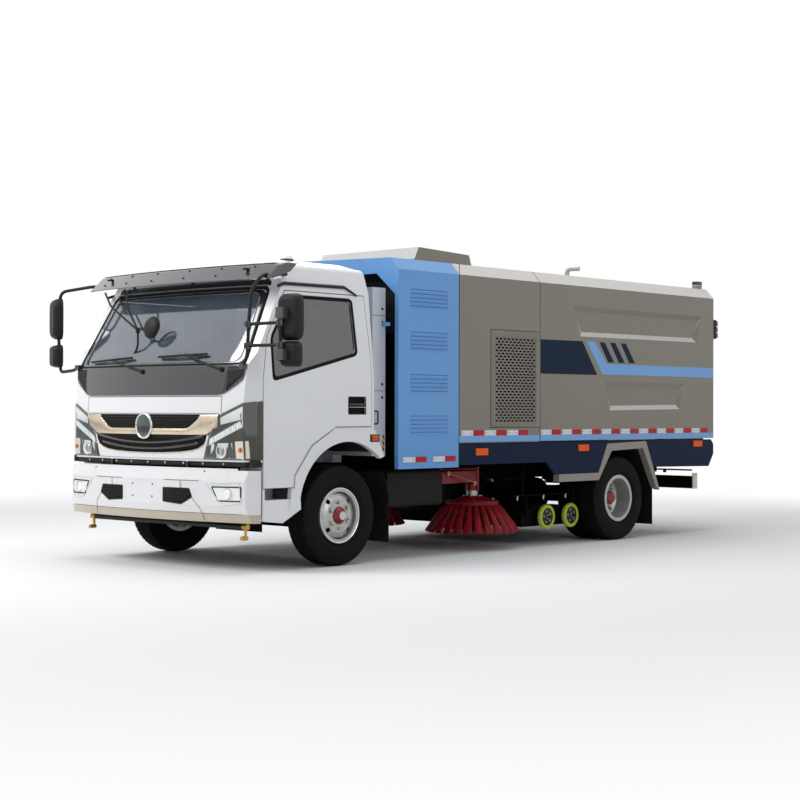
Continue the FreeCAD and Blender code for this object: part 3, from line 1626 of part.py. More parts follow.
def build_bumper():
    """The hollow front bumper with its vents and fog lamps, and the spray bar below."""
    axis_y = S.bumper_curve - S.overall_length / 2
    front = S.bumper_curve
    half = S.bumper_width / 2

    def shell(name, inset):
        inset = Size.of(inset)
        profile = [
            (front - 400, S.bumper_base + inset),
            (front - 35 - inset, S.bumper_base + inset),
            (front - inset, S.bumper_base + 130),
            (front - inset, S.bumper_top - 80),
            (front - 20 - inset, S.bumper_top - inset),
            (front - 400, S.bumper_top - inset),
        ]
        core = turned(name + "_core", "Z", profile, 30)
        core.Placement.Rotation = FreeCAD.Rotation(FreeCAD.Vector(0, 0, 1), -90)
        move(core, 0, axis_y, 0)
        far = -S.overall_length / 2
        back = far + 225 + inset * 3
        reach = half - inset
        plan = [
            (-reach, back),
            (-reach, far + 205),
            (-reach + 60, far + 125),
            (-reach + 160, far + 60),
            (-reach + 400, far - 60),
            (reach - 400, far - 60),
            (reach - 160, far + 60),
            (reach - 60, far + 125),
            (reach, far + 205),
            (reach, back),
        ]
        trim = prism(name + "_trim", "XY", plan, (300, 900))
        return common(name, [core, trim])

    outer = shell("bumper_outer", 0)
    inner = shell("bumper_inner", S.bumper_wall)
    openings = [inner, box("bumper_top_gap", (-900, 900), (-3262, -3000), (700, 800))]
    for side, tag in ((1, "left"), (-1, "right")):
        ends = span_on(side, 250, 570)
        openings.append(box(f"bumper_vent_{tag}", ends, (-3400, -3270), (540, 620)))
        openings.append(rod(f"fog_hole_{tag}", "Y", (side * 900, -3200, 598), 62, 300))
    plate = (-225, 225)
    openings.append(box("plate_seat_cut", plate, (-3400, 4 - S.overall_length / 2), (545, 690)))
    pad = box("plate_pad", plate, (4 - S.overall_length / 2, 14 - S.overall_length / 2), (545, 690))
    hollow = cut("bumper_cut", outer, openings)
    arms = []
    for side, tag in ((1, "left"), (-1, "right")):
        x = side * S.rail_centre
        arm = box(f"bumper_arm_{tag}", (x - 25, x + 25), (-3318, -S.cab_pivot_reach + 130), (640, 690))
        arms.append(cut(f"bumper_arm_seated_{tag}", arm, [made(f"cab_pivot_lug_{tag}")]))
    node("front_bumper", fuse("bumper_body", [hollow, pad] + arms))
    fogs = []
    for side, tag in ((1, "left"), (-1, "right")):
        fogs.append(rod(f"fog_{tag}", "Y", (side * 900, -3205, 598), 61.5, 50))
        fogs.append(box(f"fog_stay_{tag}", (side * 900 - 10, side * 900 + 10), (-3200, -3150), (390.5, 540)))
    lamps = DOC.addObject("Part::Compound", "fog_pair")
    lamps.Links = [fuse("fog_left_lamp", fogs[:2]), fuse("fog_right_lamp", fogs[2:])]
    node("fog_lamps", lamps)
    bar = rod("spray_pipe", "X", (0, -3080, 348), 22, 1950)
    stays = [
        box(f"spray_stay_{tag}", (x - 12, x + 12), (-3092, -3068), (348, S.rail_base))
        for tag, x in (("left", 425), ("right", -425))
    ]
    taps = []
    for side, tag in ((1, "left"), (-1, "right")):
        taps.append(rod(f"tap_stem_{tag}", "Z", (side * 950, -3080, 300), 11, 90))
        taps.append(rod(f"tap_head_{tag}", "Y", (side * 950, -3095, 262), 16, 60))
    node("spray_bar", fuse("spray_body", [bar] + stays + taps))


def build_rear():
    """The rear underrun bar on its two hangers."""
    bar = box("underrun_bar", (-960, 960), (3105, 3155), (440, 560))
    plate = box("underrun_plate", (-940, 940), (3080, 3160), (560, 568))
    hangers = [
        box(f"underrun_hanger_{tag}", (x - 30, x + 30), (3090, 3150), (566, S.rail_base))
        for tag, x in (("left", 425), ("right", -425))
    ]
    node("rear_underrun", fuse("underrun_body", [bar, plate] + hangers))


def build_cabinet():
    """The equipment cabinet and the battery boxes."""
    cabinet = box("cabinet_body", (-1000, 1000), (-1745, -1590), (865, 2250))
    stand = box("cabinet_stand", (-500, 500), (-1700, -1600), (rail_top, 866))
    node("equipment_cabinet", fuse("cabinet_whole", [cabinet, stand]))
    side_box = prism(
        "battery_form",
        "XZ",
        [(480, 430, 30), (960, 430, 30), (960, 735, 30), (480, 735, 30)],
        (-1520, -830),
    )
    rail_face = S.rail_centre + S.rail_flange / 2
    hanger = box("battery_hanger", (rail_face, 482), (-1400, -950), (610, 720))
    pack = box("battery_pack", (-640, 640), (-1440, -860), (deck_height, 1900))
    sides = both_sides("battery_pair", fuse("battery_left", [side_box, hanger]))
    batteries = DOC.addObject("Part::Compound", "battery_set")
    batteries.Links = [sides, pack]
    node("battery_boxes", batteries)


def build_brush():
    """One side brush about its own axis: a skirted disc with a ring of flared tufts."""
    top = S.brush_top_height
    disc = turned(
        "brush_disc",
        "Z",
        [
            (0, top - 30),
            (S.brush_disc_radius - 40, top - 30),
            (S.brush_disc_radius, top - 75),
            (S.brush_disc_radius + 12, top - 75),
            (S.brush_disc_radius - 30, top),
            (0, top),
        ],
    )
    body = DOC.addObject("PartDesign::Body", "brush_tuft_ring")
    reach = S.brush_tip_radius
    profile = outline(
        body,
        "tuft_outline",
        "XZ",
        [
            (S.brush_disc_radius - 65, top - 25),
            (reach - 55, S.brush_tip_height),
            (reach, S.brush_tip_height + 18),
            (S.brush_disc_radius - 42, top - 25),
        ],
    )
    pad = body.newObject("PartDesign::Pad", "tuft_pad")
    pad.Profile = profile
    pad.Midplane = True
    pad.Length = 46
    DOC.recompute()
    ring_of(body, pad, "Z_Axis", S.brush_tufts)
    shaft = rod("brush_shaft", "Z", (0, 0, top + 20), S.brush_shaft_radius, 76)
    brush = fuse("brush_form", [disc, body, shaft])
    for side, tag in ((1, "left"), (-1, "right")):
        node(f"side_brush_{tag}", linked(f"side_brush_{tag}_placed", brush, side * S.brush_centre, -S.brush_reach, 0))


def build_brush_arms():
    """The brush arms: a pivot post, two channel rails and the motor over the disc."""
    y0 = -S.brush_pivot_reach
    y1 = -S.brush_reach
    x0 = S.brush_pivot_centre
    x1 = S.brush_centre
    low = S.brush_top_height + 50
    bracket_base = rail_top - 4
    post_base = 590
    post_top = bracket_base - S.bearing_gap
    post = rod("arm_post", "Z", (x0, y0, (post_base + post_top) / 2), 40, post_top - post_base)
    rails = []
    for index, offset in enumerate((-55, 55)):
        rails.append(
            prism(
                f"arm_rail_{index}",
                "XY",
                [
                    (x0 + offset - 8, y0 - 30),
                    (x0 + offset + 8, y0 - 30),
                    (x1 + offset + 8, y1),
                    (x1 + offset - 8, y1),
                ],
                (600, 700),
            )
        )
    ends = [
        box("arm_front_plate", (x0 - 63, x0 + 63), (y0 - 42, y0 - 24), (590, 790)),
        prism(
            "arm_back_plate",
            "XY",
            [(x1 - 70, y1 - 12), (x1 + 70, y1 - 12), (x1 + 70, y1 + 12), (x1 - 70, y1 + 12)],
            (low, 735),
        ),
    ]
    motor = rod("brush_motor", "Z", (x1, y1, low + 30), 55, 60)
    stay = rod("arm_link", "Y", (x1 + 55, (y0 + y1) / 2 - 12, 718), 9, y1 - y0 + 34)
    arm = fuse("arm_form", [post, motor, stay] + rails + ends)
    slot = rod("arm_shaft_gap", "Z", (x1, y1, low - 40), S.brush_shaft_radius + S.bearing_gap, 100)
    arm_cut = cut("arm_cut", arm, [slot])
    node("brush_arm_left", arm_cut)
    node("brush_arm_right", mirrored("arm_right_form", arm_cut))


def build_nozzle():
    """The suction nozzle: a wide hood on four small wheels, its duct, lift rods and spray rail."""
    half = S.nozzle_half_width
    base = S.nozzle_base
    top = base + S.nozzle_height
    hood = prism(
        "nozzle_hood",
        "YZ",
        [
            (S.nozzle_front, base),
            (S.nozzle_back, base),
            (S.nozzle_back, base + 110, 20),
            (S.nozzle_back - 180, top, 30),
            (S.nozzle_front + 180, top, 30),
            (S.nozzle_front, base + 110, 20),
        ],
        (-half, half),
    )
    hollow = prism(
        "nozzle_hollow",
        "YZ",
        [
            (S.nozzle_front + 10, base - 10),
            (S.nozzle_back - 10, base - 10),
            (S.nozzle_back - 10, base + 100),
            (S.nozzle_back - 185, top - 10),
            (S.nozzle_front + 185, top - 10),
            (S.nozzle_front + 10, base + 100),
        ],
        (10 - half, half - 10),
    )
    duct = rod("duct_outer", "Z", (0, 745, 640), S.duct_radius, 570)
    duct_bore = rod("duct_bore", "Z", (0, 745, 640), S.duct_radius - 8, 620)
    rail = rod("nozzle_spray_rail", "Y", (half + 15, 660, 460), 10, 860)
    rail_stays = [
        box(f"rail_stay_{index}", (half - 15, half + 15), (y - 8, y + 8), (base + 90, 462))
        for index, y in enumerate((440, 1040))
    ]
    lift = [
        rod(f"lift_rod_{tag}", "Z", (side * S.lift_rod_centre, S.lift_rod_reach, 560), S.lift_rod_radius, 490)
        for side, tag in ((1, "left"), (-1, "right"))
    ]
    axles = []
    for side, tag in ((1, "left"), (-1, "right")):
        for index in range(2):
            y = S.nozzle_wheel_first + S.nozzle_wheel_pitch * index
            x = side * (half + (S.nozzle_wheel_centre - half) / 2 + 12)
            length = S.nozzle_wheel_centre - half + 40
            spot = (x, y, S.nozzle_wheel_height)
            axles.append(rod(f"nozzle_axle_{tag}_{index}", "X", spot, S.nozzle_axle_radius, length))
    shell = cut("nozzle_shell", fuse("nozzle_blank", [hood, duct]), [hollow, duct_bore])
    right_side = [mirrored(f"{piece.Name}_right", piece) for piece in [rail] + rail_stays]
    node("suction_nozzle", fuse("nozzle_body", [shell, rail] + rail_stays + lift + axles + right_side))
    wheel = turned(
        "nozzle_wheel_form",
        "X",
        [
            (-S.nozzle_wheel_width / 2, S.nozzle_axle_radius + S.bearing_gap),
            (-S.nozzle_wheel_width / 2, S.nozzle_wheel_radius - 12),
            (-14, S.nozzle_wheel_radius),
            (14, S.nozzle_wheel_radius),
            (S.nozzle_wheel_width / 2, S.nozzle_wheel_radius - 12),
            (S.nozzle_wheel_width / 2, S.nozzle_axle_radius + S.bearing_gap),
        ],
    )
    for side, tag in ((1, "left"), (-1, "right")):
        for index, row in enumerate(("front", "rear")):
            y = S.nozzle_wheel_first + S.nozzle_wheel_pitch * index
            placed = linked(
                f"nozzle_wheel_{row}_{tag}_placed", wheel, side * S.nozzle_wheel_centre, y, S.nozzle_wheel_height
            )
            node(f"nozzle_wheel_{row}_{tag}", placed)


def build_ram():
    """The tip ram between the rails, with its rod's eye under the hopper floor."""
    start = FreeCAD.Vector(0, S.ram_pivot_reach.value, S.ram_pivot_height.value)
    eye = FreeCAD.Vector(0, S.ram_eye_reach.value, S.ram_eye_height.value)
    line = eye - start
    run = line.Length
    way = line.normalize()
    turn = FreeCAD.Rotation(FreeCAD.Vector(0, 0, 1), way)
    barrel_length = run - 110

    def along(name, shape):
        item = DOC.addObject("Part::Feature", name)
        item.Shape = shape
        item.Placement = FreeCAD.Placement(start, turn)
        return item

    radius = S.ram_barrel_radius.value
    rod_radius = S.ram_rod_radius.value
    barrel = Part.makeCylinder(radius, barrel_length, FreeCAD.Vector(0, 0, 0))
    bore = Part.makeCylinder(rod_radius + S.bearing_gap.value, barrel_length, FreeCAD.Vector(0, 0, 50))
    trunnion_radius = S.ram_trunnion_radius.value
    trunnion = Part.makeCylinder(trunnion_radius, 196, FreeCAD.Vector(-98, 0, 0), FreeCAD.Vector(1, 0, 0))
    node("tip_ram_barrel", along("ram_barrel", barrel.fuse(trunnion).cut(bore)))
    shaft = Part.makeCylinder(rod_radius, run - 60, FreeCAD.Vector(0, 0, 60))
    head = Part.makeCylinder(42, 90, FreeCAD.Vector(-45, 0, run), FreeCAD.Vector(1, 0, 0))
    pin_hole = Part.makeCylinder(14, 120, FreeCAD.Vector(-60, 0, run), FreeCAD.Vector(1, 0, 0))
    node("tip_ram_rod", along("ram_rod", shaft.fuse(head).cut(pin_hole)))


def build_fittings():
    """Mirrors, wipers and the roof beacon."""
    left_tube = bent_tube("mirror_tube_left", LEFT_MIRROR_ROUTE, S.mirror_tube_radius, S.mirror_tube_bend)
    arms = [
        bent_tube("mirror_arm_top", [(1085, -3165, 2080), (1440, -3145, 2060), (1440, -3145, 1990)], 8, 25),
        bent_tube("mirror_arm_low", [(1080, -3170, 1780), (1440, -3145, 1760), (1440, -3145, 1840)], 8, 25),
    ]
    upper = mirror_housing("mirror_upper_left", 260, 330, (1490, -3130, 2000), 15)
    lower = mirror_housing("mirror_lower_left", 250, 185, (1490, -3130, 1735), 15)
    bar = rod("mirror_bar_left", "Z", (1440, -3145, 1910), 9, 420)
    left = fuse("mirror_left_body", [left_tube, upper, lower, bar] + arms)
    node("mirror_left", cut("mirror_left_seated", left, [made("cab_outer")]))
    loop = bent_tube("mirror_tube_right", RIGHT_MIRROR_ROUTE, S.mirror_tube_radius, S.mirror_tube_bend)
    upper_right = mirror_housing("mirror_upper_right", 250, 360, (-1500, -3060, 2020), -25)
    lower_right = mirror_housing("mirror_lower_right", 240, 200, (-1500, -3060, 1700), -25)
    right = fuse("mirror_right_body", [loop, upper_right, lower_right])
    node("mirror_right", cut("mirror_right_seated", right, [made("cab_outer")]))
    wipers = []
    for index, x in enumerate((0, 880)):
        arm = box(f"wiper_arm_{index}", (-640, 0), (-8, 4), (-6, 6))
        blade = box(f"wiper_blade_{index}", (-720, -140), (-8, 14), (-16, -4))
        pivot = rod(f"wiper_pivot_{index}", "Y", (0, 12.7, 0), 18, 31.4)
        wiper = fuse(f"wiper_{index}", [arm, blade, pivot])
        lean = math.degrees(math.asin((x - 320) / S.cab_curve.value))
        drop = S.cab_curve.value - math.sqrt(S.cab_curve.value**2 - x**2)
        wiper.Placement = FreeCAD.Placement(
            FreeCAD.Vector(x, drop - S.cab_front_reach.value - 10, 1545),
            FreeCAD.Rotation(FreeCAD.Vector(0, 0, 1), lean),
        )
        wipers.append(wiper)
    pair = DOC.addObject("Part::Compound", "wiper_pair")
    pair.Links = wipers
    node("wipers", pair)
    beacon = fuse(
        "beacon_body",
        [
            rod("beacon_base", "Z", (620, -2350, 2452.5), 70, 35),
            rod("beacon_lens", "Z", (620, -2350, 2490), 55, 40),
        ],
    )
    node("beacon", cut("beacon_seated", beacon, [made("cab_outer")]))


def mirror_housing(name, width, height, centre, turn):
    """A mirror's rounded housing, turned about the upright axis."""
    housing = prism(
        name,
        "XZ",
        [
            (-width / 2, -height / 2, 30),
            (width / 2, -height / 2, 30),
            (width / 2, height / 2, 30),
            (-width / 2, height / 2, 30),
        ],
        (-30, 30),
    )
    housing.Placement = FreeCAD.Placement(
        FreeCAD.Vector(*centre), FreeCAD.Rotation(FreeCAD.Vector(0, 0, 1), turn)
    )
    return housing


def check_document():
    """Stops when an object has failed or a sub-part has no valid shape."""
    faults = [item.Label for item in DOC.Objects if "Invalid" in item.State or "Error" in item.State]
    for name, item in NODES.items():
        shape = item.Shape
        if shape.isNull() or not shape.isValid() or not shape.Solids:
            faults.append(name)
    if faults:
        raise RuntimeError("failed objects: " + ", ".join(faults))


def export():
    """Writes each sub-part to its own file."""
    os.makedirs("parts", exist_ok=True)
    for name, item in NODES.items():
        item.Shape.exportStep(f"parts/{name}.step")


build_frame()
build_axles()
build_wheels()
build_cab()
build_cowl()
build_bay()
build_hopper()
build_skirts()
build_bumper()
build_rear()
build_cabinet()
build_brush()
build_brush_arms()
build_nozzle()
build_ram()
build_fittings()
DOC.recompute()
check_document()
export()
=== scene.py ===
"""Looks of an electric street sweeper truck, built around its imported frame."""

import logging
import math
from dataclasses import dataclass
from enum import Enum
from functools import partialmethod
from typing import Iterable, Sequence

import bpy
import numpy as np
from mathutils import Matrix, Vector


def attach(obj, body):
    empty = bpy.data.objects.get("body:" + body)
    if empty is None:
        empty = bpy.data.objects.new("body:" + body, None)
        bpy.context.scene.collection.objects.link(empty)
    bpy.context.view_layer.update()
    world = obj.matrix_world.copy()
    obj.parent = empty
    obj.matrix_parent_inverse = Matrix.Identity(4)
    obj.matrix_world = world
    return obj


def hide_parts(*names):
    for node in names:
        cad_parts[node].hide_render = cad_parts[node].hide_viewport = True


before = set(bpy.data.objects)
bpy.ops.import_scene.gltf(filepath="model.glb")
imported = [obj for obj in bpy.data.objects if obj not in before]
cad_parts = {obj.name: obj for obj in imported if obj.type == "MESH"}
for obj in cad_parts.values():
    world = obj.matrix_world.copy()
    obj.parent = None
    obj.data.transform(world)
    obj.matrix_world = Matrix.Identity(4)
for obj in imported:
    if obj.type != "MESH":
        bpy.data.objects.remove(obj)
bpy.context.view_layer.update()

log = logging.getLogger("sweeper")
Points = np.ndarray
Outline = Sequence[Sequence[float]]
Socket = bpy.types.NodeSocket
Colour = tuple[float, float, float, float]
SIDES = (("left", 1.0), ("right", -1.0))
HALF_WIDTH = 1.12
MIDDLE = (0.0, 0.0, 0.0)
FORWARDS = (0.0, -1.0, 0.0)
SIDEWAYS = (1.0, 0.0, 0.0)
WHITE = (1.0, 1.0, 1.0, 1.0)
GLASS_INDEX = 1.52
# Pale colour of the painted highlight on faces that look upwards.
LEDGE_HIGHLIGHT_COLOUR = "dedbd6"


def srgb(code: str, share: float = 1.0) -> Colour:
    """Turns a hex colour as seen on a screen into linear light.

    Args:
        code: six hex digits, such as "7d766c".
        share: makes it darker or lighter, up to white.

    Returns:
        Red, green, blue and alpha, each from 0 to 1.
    """
    parts = np.array([int(code[i : i + 2], 16) for i in (0, 2, 4)]) / 255.0
    linear = np.where(parts <= 0.04045, parts / 12.92, ((parts + 0.055) / 1.055) ** 2.4)
    return (*np.minimum(linear * share, 1.0).tolist(), 1.0)


class Value:
    """A number socket of a material that takes part in Python expressions."""

    def __init__(self, graph: "Graph", socket: Socket) -> None:
        """Wraps one output socket of the graph."""
        self.graph = graph
        self.socket = socket

    def calc(self, operation: str, *others: "Value | float") -> "Value":
        """Adds a Math node of the named operation on this value and others."""
        return self.graph.math(operation, self, *others)

    def __rsub__(self, other: float) -> "Value":
        """Difference from a plain number."""
        return self.graph.math("SUBTRACT", other, self)

    __add__ = __radd__ = partialmethod(calc, "ADD")
    __sub__ = partialmethod(calc, "SUBTRACT")
    __mul__ = __rmul__ = partialmethod(calc, "MULTIPLY")
    __pow__ = partialmethod(calc, "POWER")
    __abs__ = partialmethod(calc, "ABSOLUTE")


class Graph:
    """A material and the nodes that make it."""

    def __init__(self, name: str) -> None:
        """Starts an empty material of that name, kept apart from the frame's own by its first word."""
        self.material = bpy.data.materials.new(f"look_{name}")
        self.material.use_nodes = True
        self.tree = self.material.node_tree
        self.tree.nodes.clear()
        self.output = self.add("ShaderNodeOutputMaterial")
        self.coordinates = self.add("ShaderNodeTexCoord").outputs

    def add(self, kind: str, inputs: dict | None = None, **settings: object) -> bpy.types.Node:
        """Adds one node.

        Args:
            kind: the node's type.
            inputs: values or links of its sockets, by name or number.
            settings: properties set before the sockets.

        Returns:
            The node.
        """
        node = self.tree.nodes.new(kind)
        for key, setting in settings.items():
            setattr(node, key, setting)
        for key, value in (inputs or {}).items():
            value = value.socket if isinstance(value, Value) else value
            if isinstance(value, Socket):
                self.tree.links.new(value, node.inputs[key])
            else:
                node.inputs[key].default_value = value
        return node

    def math(self, operation: str, *values: "Value | float") -> Value:
        """Adds a Math node."""
        node = self.add("ShaderNodeMath", dict(enumerate(values)), operation=operation)
        return Value(self, node.outputs[0])

    def axes(self, coordinate: str = "Object") -> tuple[Value, Value, Value]:
        """The place on the piece as x, y and z in metres, or another coordinate's three parts."""
        node = self.add("ShaderNodeSeparateXYZ", {0: self.coordinates[coordinate]})
        return tuple(Value(self, node.outputs[i]) for i in range(3))

    def noise(self, scale: float, detail: float = 3.0, rough: float = 0.5,
              grain: Sequence[float] = ()) -> Value:
        """Cloudy variation from 0 to 1; a grain draws it out along the axes where its numbers are small."""
        place = self.coordinates["Object"]
        if grain:
            place = self.add("ShaderNodeMapping", {"Vector": place, "Scale": grain}).outputs[0]
        inputs = {"Vector": place, "Scale": scale, "Detail": detail, "Roughness": rough}
        return Value(self, self.add("ShaderNodeTexNoise", inputs).outputs["Fac"])

    def cells(self, scale: float, feature: str = "F1") -> Value:
        """Distance to the middles of scattered cells."""
        inputs = {"Vector": self.coordinates["Object"], "Scale": scale}
        return Value(self, self.add("ShaderNodeTexVoronoi", inputs, feature=feature).outputs["Distance"])

    def ramp(self, value: Value, low: float, high: float) -> Value:
        """Goes smoothly from 0 at low to 1 at high."""
        inputs = {"Value": value, "From Min": low, "From Max": high}
        node = self.add("ShaderNodeMapRange", inputs, interpolation_type="SMOOTHSTEP")
        return Value(self, node.outputs[0])

    def fall(self, value: Value, low: float, high: float) -> Value:
        """Goes smoothly from 1 at low to 0 at high."""
        return 1.0 - self.ramp(value, low, high)

    def between(self, value: Value, low: float, high: float, soft: float) -> Value:
        """1 between two limits, with soft edges."""
        return self.ramp(value, low - soft, low + soft) * self.fall(value, high - soft, high + soft)

    def stripes(self, value: Value, pitch: float) -> Value:
        """A sine of the value, from -1 to 1, that comes round once a pitch."""
        return self.math("SINE", value * (2.0 * math.pi / pitch))

    def mix(self, share: "Value | float", first: "Colour | Socket", second: "Colour | Socket") -> Socket:
        """Goes from the first colour to the second as the share grows."""
        return self.add("ShaderNodeMix", {0: share, 6: first, 7: second}, data_type="RGBA").outputs[2]

    def blend(self, share: "Value | float", first: Socket, second: Socket) -> Socket:
        """Goes from the first shader to the second as the share grows."""
        return self.add("ShaderNodeMixShader", {0: share, 1: first, 2: second}).outputs[0]

    def bump(self, height: Value, distance: float) -> Socket:
        """The surface's tilt from a height of 0 to 1, as deep as the distance in metres."""
        return self.add("ShaderNodeBump",
                        {"Height": height, "Distance": distance, "Strength": 1.0}).outputs[0]

    def principled(self, **sockets: object) -> Socket:
        """The usual shader; underscores stand for the spaces of its sockets' names."""
        inputs = {name.replace("_", " "): value for name, value in sockets.items()}
        return self.add("ShaderNodeBsdfPrincipled", inputs).outputs[0]


@dataclass(frozen=True)
class Look:
    """A finish: its name and main colour, for which each kind builds a shader."""

    name: str
    colour: str

    def shader(self, graph: Graph) -> Socket:
        """Builds the finish's nodes."""
        raise NotImplementedError

    def material(self) -> bpy.types.Material:
        """Builds the material."""
        graph = Graph(self.name)
        graph.tree.links.new(self.shader(graph), graph.output.inputs["Surface"])
        return graph.material


@dataclass(frozen=True)
class Paint(Look):
    """Sprayed gloss paint: clear coat, faint orange peel and a film of road dust that thickens downwards."""

    rough: float = 0.32
    coat: float = 0.7
    dust: float = 0.10
    dust_colour: str = "8d8578"
    peel: float = 0.00004
    shine: float = 0.4
    # Share of the painted highlight on faces that look upwards.
    ledge_highlight: float = 0.0

    def base(self, graph: Graph) -> "Colour | Socket":
        """The colour under the dust."""
        return srgb(self.colour)

    def shader(self, graph: Graph) -> Socket:
        """Builds the paint over its base; faces that look upwards get a painted highlight, paler by its
        share.
        """
        _, _, height = graph.axes()
        low = graph.fall(height, 0.15, 1.3)
        film = (low * 0.75 + 0.25) * graph.ramp(graph.noise(1.6, 5.0, 0.6), 0.35, 0.75) * self.dust
        colour = graph.mix(film, self.base(graph), srgb(self.dust_colour))
        if self.ledge_highlight:
            # Painted highlight: faces that look upwards are mixed towards a pale colour, as if lit from
            # above.
            upwards = graph.ramp(graph.axes("Normal")[2], 0.15, 0.55)
            colour = graph.mix(upwards * self.ledge_highlight, colour, srgb(LEDGE_HIGHLIGHT_COLOUR))
        return graph.principled(
            Base_Color=colour,
            Roughness=self.rough + film * 1.4,
            Coat_Weight=self.coat - film * 2.0,
            Coat_Roughness=0.07,
            Specular_IOR_Level=self.shine,
            Normal=graph.bump(graph.noise(420.0, 1.0) * 0.5 + graph.noise(2.2, 2.0) * 2.0, self.peel),
        )


@dataclass(frozen=True)
class CowlPaint(Paint):
    """The cowl's sky blue, with painted shade: its inside behind the open front is painted dark blue."""

    # Dark blue of the painted shade inside the cowl.
    inside: str = "101c30"

    def base(self, graph: Graph) -> Socket:
        """Painted shade: dark blue wherever the surface lies inside the skin."""
        x, y, z = graph.axes()
        under = graph.fall(abs(x), HALF_WIDTH - 0.034, HALF_WIDTH - 0.020) * graph.fall(z, 2.40, 2.43)
        return graph.mix(under * graph.ramp(y, -1.556, -1.550), srgb(self.colour), srgb(self.inside))


@dataclass(frozen=True)
class BodyPaint(Paint):
    """Body paint; what stands on the hopper's roof is grey, with a black camera head at the back."""

    fitting: str = "a6a6a2"
    head: str = "131313"
    roof: float = 2.534
    head_low: float = 2.545
    hopper_y: float = 0.37
    camera_y: float = 3.04

    def base(self, graph: Graph) -> Socket:
        """Tells the fittings apart by height and lengthwise place."""
        _, y, z = graph.axes()
        hopper = graph.ramp(y, self.hopper_y - 0.01, self.hopper_y + 0.01)
        raised = graph.ramp(z, self.roof, self.roof + 0.002) * hopper
        camera = graph.ramp(z, self.head_low, self.head_low + 0.002)
        back = graph.ramp(y, self.camera_y - 0.004, self.camera_y)
        return graph.mix(camera * back, graph.mix(raised, srgb(self.colour), srgb(self.fitting)),
                         srgb(self.head))


@dataclass(frozen=True)
class LippedPaint(Paint):
    """Bumper paint with a sand-coloured lower lip, black where it lies well behind the curved face."""

    lip: str = "bdb2a0"
    lip_top: float = 0.450
    inside: str = "161616"
    axis_y: float = 1.675
    inner_radius: float = 4.950

    def base(self, graph: Graph) -> Socket:
        """Goes by height, and by the distance to the axis of the bumper's curve."""
        x, y, height = graph.axes()
        low = graph.fall(height, self.lip_top - 0.001, self.lip_top + 0.001)
        back = y - self.axis_y
        radius = (x * x + back * back) ** 0.5
        inside = graph.fall(radius, self.inner_radius - 0.004, self.inner_radius)
        behind = inside * graph.fall(abs(x), 0.96, 0.98)
        return graph.mix(behind, graph.mix(low, srgb(self.colour), srgb(self.lip)), srgb(self.inside))


@dataclass(frozen=True)
class CabPaint(Paint):
    """Cab paint, black on the floor's underside and in the wheel arches."""

    under: str = "161616"
    floor: float = 0.842

    def base(self, graph: Graph) -> Socket:
        """Goes by height, by lengthwise place and by the distance to the middle."""
        x, y, height = graph.axes()
        below = graph.fall(height, self.floor - 0.002, self.floor) * graph.fall(abs(x), 0.84, 0.86)
        arch = graph.fall(abs(x), 1.078, 1.090) * graph.between(y, -2.75, -1.62, 0.02)
        arch = arch * graph.fall(height, 1.10, 1.12)
        return graph.mix(1.0 - (1.0 - below) * (1.0 - arch), srgb(self.colour), srgb(self.under))


@dataclass(frozen=True)
class Metal(Look):
    """Bare or plated metal with fine scratches and uneven gloss."""

    rough: float = 0.22
    scratch: float = 0.00005

    def shader(self, graph: Graph) -> Socket:
        """Builds the metal."""
        blotch = graph.noise(9.0, 4.0)
        lines = graph.noise(160.0, 2.0)
        return graph.principled(
            Base_Color=graph.mix(graph.ramp(blotch, 0.35, 0.8) * 0.25, srgb(self.colour), srgb("4a453f")),
            Metallic=1.0,
            Roughness=self.rough + blotch * 0.14 + lines * 0.06,
            Normal=graph.bump(lines, self.scratch),
        )


@dataclass(frozen=True)
class TappedPipe(Look):
    """A black pipe whose taps, out at both ends, are brass."""

    pipe: str = "100f0f"
    tap_from: float = 0.925

    def shader(self, graph: Graph) -> Socket:
        """Builds the finish from the distance to the middle."""
        x, _, _ = graph.axes()
        tap = graph.ramp(abs(x), self.tap_from - 0.002, self.tap_from)
        return graph.principled(
            Base_Color=graph.mix(tap, srgb(self.pipe), srgb(self.colour)),
            Metallic=tap * 0.9,
            Roughness=0.34 + graph.noise(9.0, 4.0) * 0.14,
            Specular_IOR_Level=0.25,
        )


@dataclass(frozen=True)
class Plastic(Look):
    """Moulded plastic with a leather-like grain."""

    rough: float = 0.5
    grain: float = 0.00025
    coat: float = 0.0
    shine: float = 0.5

    def shader(self, graph: Graph) -> Socket:
        """Builds the plastic."""
        wear = graph.noise(3.5, 4.0)
        _, _, height = graph.axes()
        film = graph.ramp(wear, 0.4, 0.8) * graph.fall(height, 0.2, 1.5) * 0.25
        return graph.principled(
            Base_Color=graph.mix(film, srgb(self.colour), srgb("6f685d")),
            Roughness=self.rough + wear * 0.12,
            Specular_IOR_Level=self.shine,
            Coat_Weight=self.coat,
            Coat_Roughness=0.05,
            Normal=graph.bump(graph.cells(900.0), self.grain),
        )


@dataclass(frozen=True)
class Rubber(Look):
    """Black rubber, greyed with dust in patches."""

    dusty: str = "4a4640"
    share: float = 0.35
    rough: float = 0.72

    def shader(self, graph: Graph) -> Socket:
        """Builds the rubber."""
        film = graph.ramp(graph.noise(5.0, 6.0, 0.65), 0.38, 0.78) * self.share
        return graph.principled(
            Base_Color=graph.mix(film, srgb(self.colour), srgb(self.dusty)),
            Roughness=self.rough + film * 0.3,
            Specular_IOR_Level=0.10,
            Normal=graph.bump(graph.noise(240.0, 2.0), 0.0002),
        )


